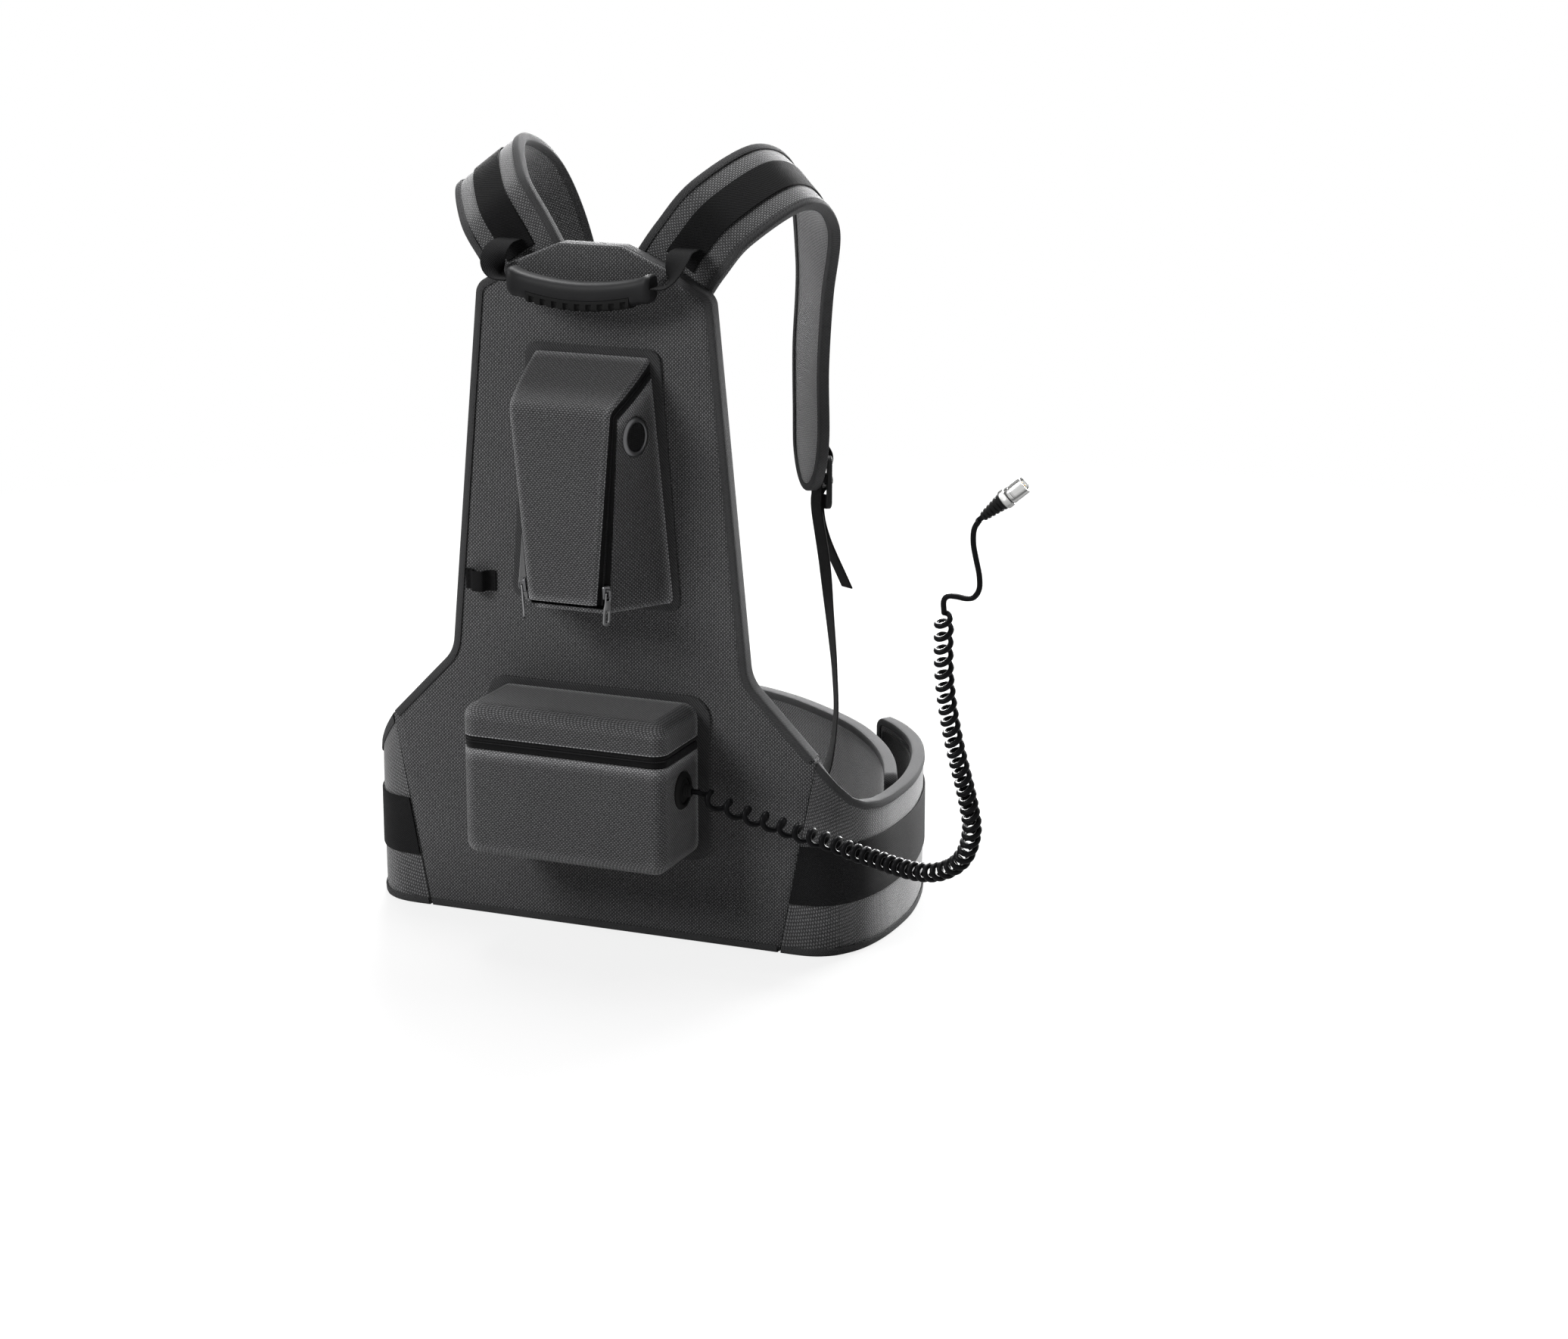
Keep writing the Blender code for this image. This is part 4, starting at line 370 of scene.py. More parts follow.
def curlPoints():
    # the helix along its route; the pitch sets how fast it turns, and both ends run straight
    fine, length = smoothLine(curlRoute, 1200)
    places = [Vector((x, cordSizes["glandY"], z)) for x, z in fine]
    along = tangents(places)
    step = length / (len(places) - 1)
    lead = cordSizes["diameter"] * 1.2
    turned = [0.0]
    for i in range(1, len(places)):
        s = i * step
        k = min(s / length * (len(curlPitch) - 1), len(curlPitch) - 1.001)
        pitch = curlPitch[int(k)] + (curlPitch[int(k) + 1] - curlPitch[int(k)]) * (k - int(k))
        turned.append(turned[-1] + (step / pitch if s > lead else 0))
    total = turned[-1]
    count = round(total * cordSizes["perCurl"])
    reach = (cordSizes["curl"] - cordSizes["diameter"]) / 2
    out = [places[0], places[int(lead / step)]]
    i = 0
    for k in range(1, count):
        want = total * k / count
        while i < len(turned) - 2 and turned[i + 1] < want:
            i += 1
        u = (want - turned[i]) / (turned[i + 1] - turned[i])
        across = Vector((0, 1, 0))
        up = across.cross(along[i])
        grow = min(min(want, total - want) / 0.5, 1)
        grow = grow * grow * (3 - 2 * grow)
        a = 2 * pi * want
        turn = up * cos(a) + across * sin(a) + along[i] * sin(a) * cordSizes["lean"]
        out.append(places[i].lerp(places[i + 1], u) + turn * reach * grow)
    return out


def cordLine():
    points = curlPoints()
    tail, _ = smoothLine(tailRoute, 60)
    points += [Vector((x, cordSizes["glandY"], z)) for x, z in tail[1:]]
    return points + [bootStart - bootDirection * (cordSizes["diameter"] + gap), bootStart - bootDirection * gap]


def makeCord():
    points = cordLine()
    curve = bpy.data.curves.new("curlyCord", "CURVE")
    curve.dimensions = "3D"
    curve.bevel_depth = cordSizes["diameter"] / 2
    curve.bevel_resolution = 3
    curve.use_fill_caps = True
    spline = curve.splines.new("POLY")
    spline.points.add(len(points) - 1)
    for point, place in zip(spline.points, points):
        point.co = (place.x, place.y + backY, place.z, 1)
    spline.use_smooth = True
    curve.materials.append(looks["cord"])
    cord = bpy.data.objects.new("curlyCord", curve)
    bpy.context.scene.collection.objects.link(cord)
    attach(cord, "harness")
    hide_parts("curly_cord")
    ends = makeConnector()


def makeConnector():
    size = cordSizes
    ribs = 5
    step = size["bootLength"] / (ribs + 0.6)
    profile = [(0, size["bootLength"]), (size["bootLarge"] - 0.0005, size["bootLength"]),
               (size["bootLarge"], size["bootLength"] - 0.0005)]
    for k in range(ribs):
        low = size["bootLength"] * (1 - (k + 1) / (ribs + 0.6))
        r = size["bootSmall"] + (size["bootLarge"] - size["bootSmall"]) * low / size["bootLength"]
        profile += [(r + 0.0005, low + step * 0.55), (r + 0.0003, low + step * 0.38), (r - 0.0004, low + step * 0.30),
                    (r - 0.0005, low + step * 0.15), (r - 0.0004, low), (r + 0.0002, low - step * 0.08)]
    profile = [p for p in profile if p[1] > 0.0002]
    profile += [(size["bootSmall"], 0.0004), (size["bootSmall"] - 0.0003, 0), (0, 0)]
    boot = addPiece("connectorBoot", latheMesh("boot", profile, bootStart, bootDirection, 40), looks["rubber"],
                    "harness", ("connector_boot",))
    ringAt = bootStart + bootDirection * (size["bootLength"] + gap)
    r, long = size["ringRadius"], size["ringLength"]
    profile = [(0, long), (r - 0.0010, long), (r - 0.0005, long - 0.0002), (r - 0.0002, long - 0.0008),
               (r, long - 0.0010), (r, 0.0010), (r - 0.0002, 0.0008), (r - 0.0005, 0.0002), (r - 0.0010, 0), (0, 0)]
    knurl = (50, 0.0003, 0.0009, long - 0.0009)
    ring = addPiece("connectorRing", latheMesh("ring", profile, ringAt, bootDirection, 200, knurl), looks["steel"],
                    "harness", ("connector_ring",), 50)
    shellAt = ringAt + bootDirection * (long + gap)
    r, bore, long, floor = size["shellRadius"], size["shellBore"], size["shellLength"], 0.0030
    profile = [(0, floor), (bore, floor), (bore, long - 0.0003), (bore + 0.0003, long), (r - 0.0004, long),
               (r - 0.0001, long - 0.0002), (r, long - 0.0006), (r, 0.0045), (r - 0.0004, 0.0042), (r - 0.0004, 0.0034),
               (r, 0.0031), (r, 0.0006), (r - 0.0002, 0.0001), (r - 0.0005, 0), (0, 0)]
    shell = addPiece("connectorShell", latheMesh("shell", profile, shellAt, bootDirection, 72), looks["steel"],
                     "harness", ("connector_shell",), 50)
    r = bore - gap
    insertAt = shellAt + bootDirection * (floor + gap)
    profile = [(0, 0.0070), (r - 0.0004, 0.0070), (r, 0.0066), (r, 0.0), (0, 0)]
    insert = addPiece("connectorInsert", latheMesh("insert", profile, insertAt, bootDirection, 48), looks["rubber"],
                      "harness", ("connector_insert",))
    side = bootDirection.orthogonal().normalized()
    other = bootDirection.cross(side)
    pins = []
    for k in range(size["pins"]):
        a = 2 * pi * k / size["pins"]
        spot = insertAt + bootDirection * 0.0062 + (side * cos(a) + other * sin(a)) * 0.0030
        pins.append(latheMesh("pin", [(0, 0.0044), (0.0003, 0.0043), (0.0005, 0.0039), (0.0005, 0), (0, 0)], spot,
                              bootDirection, 12))
    pinPiece = addPiece("connectorPins", joinMeshes("pins", pins), looks["brass"], "harness")
    return [boot, ring, shell, insert, pinPiece]


# materials; every pattern is read in metres, from the piece's own map or from its place

class Paint:
    # a material and its nodes

    def __init__(self, name, color, roughness, metallic=0.0, sheen=0.0, specular=0.5):
        self.material = bpy.data.materials.new(name)
        self.material.use_nodes = True
        self.tree = self.material.node_tree
        self.shader = self.tree.nodes["Principled BSDF"]
        self.shader.inputs["Base Color"].default_value = (*color, 1)
        self.shader.inputs["Roughness"].default_value = roughness
        self.shader.inputs["Metallic"].default_value = metallic
        self.shader.inputs["Sheen Weight"].default_value = sheen
        self.shader.inputs["Sheen Roughness"].default_value = 0.45
        self.shader.inputs["Specular IOR Level"].default_value = specular

    def add(self, kind, **settings):
        node = self.tree.nodes.new(kind)
        for key, value in settings.items():
            setattr(node, key, value)
        return node

    def put(self, socket, value):
        if isinstance(value, bpy.types.NodeSocket):
            self.tree.links.new(value, socket)
        else:
            socket.default_value = value

    def math(self, operation, a, b=0.0, c=0.0):
        node = self.add("ShaderNodeMath", operation=operation)
        for socket, value in zip(node.inputs, (a, b, c)):
            self.put(socket, value)
        return node.outputs[0]

    def mapped(self):
        # along and across, in metres, from the piece's own map
        node = self.add("ShaderNodeSeparateXYZ")
        self.put(node.inputs[0], self.add("ShaderNodeUVMap", uv_map="metres").outputs[0])
        return node.outputs[0], node.outputs[1]

    def placed(self):
        return self.add("ShaderNodeTexCoord").outputs["Object"]

    def noise(self, scale, detail=3.0, rough=0.55, vector=None):
        node = self.add("ShaderNodeTexNoise")
        self.put(node.inputs["Vector"], vector or self.placed())
        node.inputs["Scale"].default_value = scale
        node.inputs["Detail"].default_value = detail
        node.inputs["Roughness"].default_value = rough
        return node.outputs["Fac"]

    def ramp(self, value, stops):
        node = self.add("ShaderNodeValToRGB")
        while len(node.color_ramp.elements) < len(stops):
            node.color_ramp.elements.new(0.5)
        for element, (place, level) in zip(node.color_ramp.elements, stops):
            element.position = place
            element.color = (*level, 1) if isinstance(level, tuple) else (level, level, level, 1)
        self.put(node.inputs[0], value)
        return node.outputs[0]

    def mix(self, share, a, b, blend="MIX"):
        node = self.add("ShaderNodeMix", data_type="RGBA", blend_type=blend)
        for socket, value in ((node.inputs[0], share), (node.inputs[6], a), (node.inputs[7], b)):
            if isinstance(value, tuple):
                value = (*value, 1)
            self.put(socket, value)
        return node.outputs[2]

    def bump(self, height, depth, strength=1.0, under=None):
        node = self.add("ShaderNodeBump")
        node.inputs["Distance"].default_value = depth
        node.inputs["Strength"].default_value = strength
        self.put(node.inputs["Height"], height)
        if under:
            self.put(node.inputs["Normal"], under)
        return node.outputs[0]

    def finish(self, color=None, normal=None, roughness=None):
        if color:
            self.put(self.shader.inputs["Base Color"], color)
        if normal:
            self.put(self.shader.inputs["Normal"], normal)
        if roughness:
            self.put(self.shader.inputs["Roughness"], roughness)
        return self.material


def plainWeave(paint, u, v, period):
    # height and tone of a plain weave: each thread rises over one neighbour and dips under the next,
    # and the cross threads are darker
    a, b = paint.math("DIVIDE", u, period), paint.math("DIVIDE", v, period)
    columnPart, rowPart = paint.math("FLOOR", a), paint.math("FLOOR", b)
    warp = paint.math("SINE", paint.math("MULTIPLY", paint.math("ADD", b, columnPart), pi))
    weft = paint.math("SINE", paint.math("MULTIPLY", paint.math("ADD", a, rowPart), pi))
    warp = paint.math("MULTIPLY_ADD", warp, 0.5, 0.5)
    weft = paint.math("MULTIPLY_ADD", weft, -0.5, 0.5)
    columnRound = paint.math("POWER", paint.math("ABSOLUTE", paint.math("SINE", paint.math("MULTIPLY", a, pi))), 0.6)
    rowRound = paint.math("POWER", paint.math("ABSOLUTE", paint.math("SINE", paint.math("MULTIPLY", b, pi))), 0.6)
    over, under = paint.math("MULTIPLY", warp, columnRound), paint.math("MULTIPLY", weft, rowRound)
    return paint.math("MAXIMUM", over, under), paint.math("MAXIMUM", over, paint.math("MULTIPLY", under, 0.42))


def cloth(name, dark, light, period, depth, sheen=0.18, roughness=0.88, melange=0.26, edgeHighlight=0.0):
    # coarse canvas in two shades: threads light, gaps dark, with single threads that differ and a slow mottle; if
    # asked, a painted highlight makes bulging rounded edges paler
    paint = Paint(name, light, roughness, sheen=sheen, specular=0.04)
    u, v = paint.mapped()
    height, tone = plainWeave(paint, u, v, period)
    tones = []
    for along, across in ((0.45, 1.0), (1.0, 0.45)):
        stretched = paint.add("ShaderNodeCombineXYZ")
        paint.put(stretched.inputs[0], paint.math("MULTIPLY", u, along / period))
        paint.put(stretched.inputs[1], paint.math("MULTIPLY", v, across / period))
        tones.append(paint.noise(1.0, 2.0, 0.70, stretched.outputs[0]))
    thread = paint.ramp(paint.math("MULTIPLY_ADD", tones[0], 0.5, paint.math("MULTIPLY", tones[1], 0.5)),
                        [(0.36, 0.0), (0.64, 1.0)])
    speck = paint.noise(1400, 2.0, 0.7)
    mottle = paint.noise(22, 4.0, 0.6)
    shade = paint.ramp(tone, [(0.12, dark), (0.80, light)])
    level = paint.math("MULTIPLY_ADD", thread, melange * 2, 1 - melange)
    level = paint.math("MULTIPLY", level, paint.math("MULTIPLY_ADD", speck, melange * 1.4, 1 - melange * 0.7))
    level = paint.math("MULTIPLY", level, paint.math("MULTIPLY_ADD", mottle, 0.24, 0.88))
    # painted highlight: where the surface bulges at a rounded edge the colour is made paler, standing in for light
    # catching it
    if edgeHighlight:
        edge = paint.ramp(paint.add("ShaderNodeNewGeometry").outputs["Pointiness"], [(0.505, 0.0), (0.56, 1.0)])
        level = paint.math("MULTIPLY", level, paint.math("MULTIPLY_ADD", edge, edgeHighlight, 1.0))
    color = paint.mix(1.0, shade, level, "MULTIPLY")
    fuzz = paint.bump(speck, 0.0001, 0.5)
    normal = paint.bump(height, depth, 0.9, fuzz)
    return paint.finish(color, normal, paint.math("MULTIPLY_ADD", mottle, 0.10, roughness - 0.05))


def twill(name, dark, light, rib, slant, depth, sheen=0.06):
    # narrow woven band: slanted ribs along its length, crossed by fine threads
    paint = Paint(name, light, 0.82, sheen=sheen, specular=0.03)
    u, v = paint.mapped()
    lines = paint.math("MULTIPLY_ADD", v, slant / rib, paint.math("DIVIDE", u, rib))
    ribs = paint.math("ABSOLUTE", paint.math("SINE", paint.math("MULTIPLY", lines, pi)))
    threads = paint.math("ABSOLUTE", paint.math("SINE", paint.math("MULTIPLY", v, pi / (rib * 0.55))))
    height = paint.math("MULTIPLY", paint.math("POWER", ribs, 0.7), paint.math("MULTIPLY_ADD", threads, 0.35, 0.65))
    speck = paint.noise(900, 2.0, 0.6)
    slow = paint.noise(30, 3.0, 0.55)
    level = paint.math("MULTIPLY_ADD", speck, 0.5, 0.75)
    level = paint.math("MULTIPLY", level, paint.math("MULTIPLY_ADD", slow, 0.3, 0.85))
    color = paint.mix(1.0, paint.ramp(height, [(0.05, dark), (0.8, light)]), level, "MULTIPLY")
    return paint.finish(color, paint.bump(height, depth, 0.9))


def moulded(name, color, roughness, grain, depth, specular=0.5, wear=0.25):
    # moulded plastic or rubber: fine grain, slightly uneven gloss, paler where its edges are rubbed
    paint = Paint(name, color, roughness, specular=specular)
    fine = paint.noise(grain, 2.0, 0.5)
    slow = paint.noise(55, 4.0, 0.6)
    rubbed = paint.ramp(paint.add("ShaderNodeNewGeometry").outputs["Pointiness"], [(0.50, 0.0), (0.60, 1.0)])
    pale = tuple(min(c * 2.2 + 0.01, 1) for c in color)
    level = paint.math("MULTIPLY_ADD", slow, 0.5, 0.75)
    share = paint.math("MULTIPLY", paint.math("MULTIPLY", rubbed, slow), wear)
    mixed = paint.mix(share, paint.mix(1.0, color, level, "MULTIPLY"), pale)
    gloss = paint.math("MULTIPLY_ADD", slow, 0.16, roughness - 0.08)
    return paint.finish(mixed, paint.bump(fine, depth, 0.7), gloss)


def metal(name, color, roughness, reflectionBands=None):
    # uneven polish, with an optional painted reflection: a list of how bright the colour is made where the face turns
    # to the viewer and where it turns away
    paint = Paint(name, color, roughness, metallic=1.0)
    slow = paint.noise(70, 4.0, 0.65)
    fine = paint.noise(1100, 2.0, 0.6)
    level = paint.math("MULTIPLY_ADD", slow, 0.22, 0.89)
    gloss = paint.math("MULTIPLY_ADD", slow, 0.18, roughness - 0.09)
    # painted reflection: bright and dark bands set by how far the face turns from the viewer
    if reflectionBands:
        facing = paint.add("ShaderNodeLayerWeight")
        facing.inputs["Blend"].default_value = 0.5
        level = paint.mix(1.0, paint.ramp(facing.outputs["Facing"], reflectionBands), level, "MULTIPLY")
    return paint.finish(paint.mix(1.0, color, level, "MULTIPLY"), paint.bump(fine, 0.00003, 0.4), gloss)


def fastener(name, color, period, depth):
    # hook or loop face: dense small tufts
    paint = Paint(name, color, 0.9, sheen=0.05, specular=0.02)
    cells = paint.add("ShaderNodeTexVoronoi")
    paint.put(cells.inputs["Vector"], paint.placed())
    cells.inputs["Scale"].default_value = 1 / period
    speck = paint.noise(1500, 3.0, 0.7)
    level = paint.math("MULTIPLY_ADD", speck, 0.9, 0.55)
    height = paint.math("ADD", cells.outputs["Distance"], speck)
    return paint.finish(paint.mix(1.0, color, level, "MULTIPLY"), paint.bump(height, depth, 0.8))


def glossyCord():
    # smooth black jacket with faint pull marks
    paint = Paint("glossyCord", (0.006, 0.006, 0.007), 0.30, specular=0.04)
    slow = paint.noise(90, 3.0, 0.6)
    fine = paint.noise(700, 2.0, 0.5)
    gloss = paint.math("MULTIPLY_ADD", slow, 0.16, 0.26)
    color = paint.mix(slow, (0.003, 0.003, 0.0035), (0.006, 0.006, 0.0065))
    return paint.finish(color, paint.bump(fine, 0.00003, 0.5), gloss)


looks = {
    "panel": cloth("panelCanvas", (0.005, 0.005, 0.0055), (0.118, 0.118, 0.120), 0.00150, 0.00045, 0.08),
    "wing": cloth("wingCanvas", (0.005, 0.005, 0.0055), (0.122, 0.122, 0.124), 0.00155, 0.00050, 0.35),
    # the pouch canvas has a painted highlight on its rounded edges
    "pouch": cloth("pouchCanvas", (0.005, 0.005, 0.0055), (0.104, 0.104, 0.106), 0.00150, 0.00050, 0.14, edgeHighlight=1.6),
    "lining": cloth("strapLining", (0.003, 0.003, 0.0035), (0.044, 0.044, 0.046), 0.00165, 0.00050, 0.0),
    "tape": twill("edgeTape", (0.014, 0.014, 0.0145), (0.050, 0.050, 0.051), 0.00130, 0.5, 0.00022, 0.0),
    "flange": twill("flangeTape", (0.006, 0.006, 0.0065), (0.046, 0.046, 0.047), 0.00240, 0.9, 0.00030, 0.0),
    "webbing": twill("blackTwill", (0.001, 0.001, 0.001), (0.0105, 0.0105, 0.0108), 0.00170, 1.0, 0.00032, 0.0),
    "elastic": twill("blackElastic", (0.001, 0.001, 0.001), (0.0130, 0.0130, 0.0135), 0.00150, 0.9, 0.00030, 0.02),
    "zipTape": twill("zipTape", (0.001, 0.001, 0.001), (0.006, 0.006, 0.0063), 0.00110, 1.0, 0.00018),
    "zipGrey": moulded("zipGrey", (0.009, 0.009, 0.0095), 0.50, 1100, 0.00004, 0.15),
    "thread": twill("greyThread", (0.014, 0.014, 0.0145), (0.040, 0.040, 0.041), 0.00040, 1.0, 0.00005),
    "plastic": moulded("blackPlastic", (0.006, 0.006, 0.0065), 0.48, 900, 0.00006, 0.14),
    "grip": moulded("gripPlastic", (0.006, 0.006, 0.0065), 0.52, 700, 0.00004, 0.12),
    "rubber": moulded("blackRubber", (0.005, 0.005, 0.005), 0.66, 1200, 0.00008, 0.08),
    "teeth": moulded("zipTeeth", (0.005, 0.005, 0.0055), 0.45, 1500, 0.00003, 0.15),
    "battery": moulded("batteryCase", (0.030, 0.033, 0.038), 0.48, 800, 0.00006),
    # the steel and the pull carry painted reflections in bands
    "steel": metal("nickelledSteel", (0.62, 0.62, 0.61), 0.22,
                   [(0.05, 0.95), (0.22, 0.16), (0.40, 0.60), (0.62, 0.30), (0.80, 0.06)]),
    "satin": metal("satinMetal", (0.120, 0.120, 0.124), 0.36),
    "darkWire": metal("castPull", (0.300, 0.300, 0.305), 0.30,
                      [(0.05, 0.90), (0.30, 0.25), (0.55, 0.50), (0.80, 0.10)]),
    "brass": metal("goldenPins", (0.75, 0.55, 0.25), 0.28),
    "hook": fastener("hookFace", (0.009, 0.009, 0.0095), 0.0009, 0.0004),
    "cord": glossyCord(),
}
print("materials:", len(looks))
makeCord()


# stitches, made with Geometry Nodes along drawn seam lines

stitchSizes = {"spacing": 0.0034, "length": 0.0024, "radius": 0.00028}


def repeatTree(name, material, unit):
    # a tree that sets one small shape along every drawn line; unit builds the shape's nodes
    tree = bpy.data.node_groups.new(name, "GeometryNodeTree")
    tree.interface.new_socket("Line", in_out="INPUT", socket_type="NodeSocketGeometry")
    for label, value in (("Spacing", 0.003), ("Length", 0.002), ("Width", 0.0003), ("Height", 0.0003)):
        socket = tree.interface.new_socket(label, in_out="INPUT", socket_type="NodeSocketFloat")
        socket.default_value = value
    tree.interface.new_socket("Result", in_out="OUTPUT", socket_type="NodeSocketGeometry")
    nodes, links = tree.nodes, tree.links
    start, end = nodes.new("NodeGroupInput"), nodes.new("NodeGroupOutput")
    curve = nodes.new("GeometryNodeMeshToCurve")
    points = nodes.new("GeometryNodeCurveToPoints")
    points.mode = "LENGTH"
    spread = nodes.new("GeometryNodeInstanceOnPoints")
    size = nodes.new("ShaderNodeCombineXYZ")
    real = nodes.new("GeometryNodeRealizeInstances")
    finish = nodes.new("GeometryNodeSetMaterial")
    finish.inputs["Material"].default_value = material
    links.new(start.outputs["Line"], curve.inputs["Mesh"])
    links.new(curve.outputs["Curve"], points.inputs["Curve"])
    links.new(start.outputs["Spacing"], points.inputs["Length"])
    links.new(points.outputs["Points"], spread.inputs["Points"])
    links.new(points.outputs["Rotation"], spread.inputs["Rotation"])
    links.new(unit(nodes), spread.inputs["Instance"])
    for label, k in (("Width", 0), ("Height", 1), ("Length", 2)):
        links.new(start.outputs[label], size.inputs[k])
    links.new(size.outputs[0], spread.inputs["Scale"])
    links.new(spread.outputs["Instances"], real.inputs["Geometry"])
    links.new(real.outputs["Geometry"], finish.inputs["Geometry"])
    links.new(finish.outputs["Geometry"], end.inputs["Result"])
    return tree


def stitchUnit(nodes):
    ball = nodes.new("GeometryNodeMeshUVSphere")
    ball.inputs["Segments"].default_value = 6
    ball.inputs["Rings"].default_value = 4
    ball.inputs["Radius"].default_value = 0.5
    return ball.outputs["Mesh"]


def toothUnit(nodes):
    cube = nodes.new("GeometryNodeMeshCube")
    cube.inputs["Size"].default_value = (1, 1, 1)
    return cube.outputs["Mesh"]


def repeatAlong(name, lines, tree, values, body, degrees=60, bends=False):
    # lines are lists of points in the panel's frame
    mesh = bpy.data.meshes.new(name)
    points, edges = [], []
    for line in lines:
        first = len(points)
        points += [tuple(p) for p in line]
        edges += [(first + k, first + k + 1) for k in range(len(line) - 1)]
    mesh.from_pydata(points, edges, [])
    made = helper(name + "Line", mesh)
    modifier = made.modifiers.new("Repeat", "NODES")
    modifier.node_group = tree
    sockets = {item.name: item.identifier for item in tree.interface.items_tree if item.in_out == "INPUT"}
    for label, value in values.items():
        modifier[sockets[label]] = value
    baked = bakeMesh(made)
    material = next(n for n in tree.nodes if n.bl_idname == "GeometryNodeSetMaterial").inputs["Material"].default_value
    boxUv(baked)
    return addPiece(name, baked, material, body, (), degrees, bends)


stitchTree = repeatTree("stitchRow", looks["thread"], stitchUnit)
darkStitchTree = repeatTree("darkStitchRow", looks["webbing"], stitchUnit)
toothTree = repeatTree("toothRow", looks["teeth"], toothUnit)
seamLines = {"harness": [], "right_wing": [], "left_wing": []}
darkLines = {"harness": [], "right_wing": [], "left_wing": []}


# edge tape, folded over an edge

tapeSizes = {"thick": 0.0008, "width": 0.0065, "stitch": 0.0050}
tapeOut = tapeSizes["thick"] + gap


def tapeRings(path, inward, normal, thick, lifts=None):
    half = thick / 2 + gap
    outer = half + tapeSizes["thick"]
    wide, fold = tapeSizes["width"], tapeSizes["thick"]
    rings = []
    for k, (p, i, n) in enumerate(zip(path, inward, normal)):
        lift = lifts[k] if lifts else 0
        section = [
            (wide, -half - 0.0002), (wide - 0.0002, -outer + 0.0001), (wide - 0.0007, -outer),
            (0.0045, -outer - 0.00004), (0.0028, -outer), (0.0014, -outer * 0.975), (0.0005, -outer * 0.89),
            (0.00008, -outer * 0.72), (0, -outer * 0.36), (0, outer * 0.36), (0.00008, outer * 0.72),
            (0.0005, outer * 0.89), (0.0014, outer * 0.975),
            (0.0028, outer + lift * 0.3), (0.0045, outer + 0.00004 + lift * 0.7), (wide - 0.0007, outer + lift),
            (wide - 0.0002, outer - 0.0001 + lift), (wide, half + 0.0002 + lift), (wide, half + lift),
            (fold, half), (fold, -half), (wide, -half),
        ]
        rings.append([Vector(p) + i * a + n * b for a, b in section])
    return rings


def tapeStitches(path, inward, normal, thick, faces=(-1, 1)):
    rise = thick / 2 + gap + tapeSizes["thick"]
    lines = []
    for face in faces:
        lines.append([Vector(p) + i * tapeSizes["stitch"] + n * rise * face for p, i, n in zip(path, inward, normal)])
    return lines


# back panel: laminated board with bound edges

panelSizes = {
    "thick": 0.012, "footHalf": 0.1586, "seamTopHalf": 0.1897, "seamTopZ": 0.1657, "seamGap": 0.0009,
    "seamTrim": 0.0020,
    "crown": [(0.0, 0.0016), (0.0015, 0.0010), (0.0050, 0.0005), (0.0065, 0.0003), (0.0078, 0.00005), (0.0095, 0.0)],
}
panelCorners = mirrored([
    (0.1586, 0, 0), (0.1897, 0.1657, 0), (0.1314, 0.2253, 0.030),
    (0.1021, 0.5310, 0.014), (0.0640, 0.5530, 0.010), (0.0270, 0.5680, 0.010),
])


def seamX(z):
    size = panelSizes
    return size["footHalf"] + (size["seamTopHalf"] - size["footHalf"]) * z / size["seamTopZ"]


def tapeLine(path, centreY):
    points = [Vector((x, centreY, z)) for x, z in path]
    along = tangents(points)
    return points, [Vector((-t.z, 0, t.x)) for t in along], [Vector((0, 1, 0))] * len(points)


def clampedAtSeam(rings):
    for ring in rings:
        for v in ring:
            most = seamX(v.z) - panelSizes["seamTrim"]
            if v.z < panelSizes["seamTopZ"] + 0.004:
                v.x = min(max(v.x, -most), most)
    return rings


def divided(points, step):
    # the same outline with its long stretches divided
    out = [points[0]]
    for a, b in zip(points, points[1:]):
        count = max(1, round(hypot(b[0] - a[0], b[1] - a[1]) / step))
        out += [(a[0] + (b[0] - a[0]) * k / count, a[1] + (b[1] - a[1]) * k / count) for k in range(1, count + 1)]
    return out


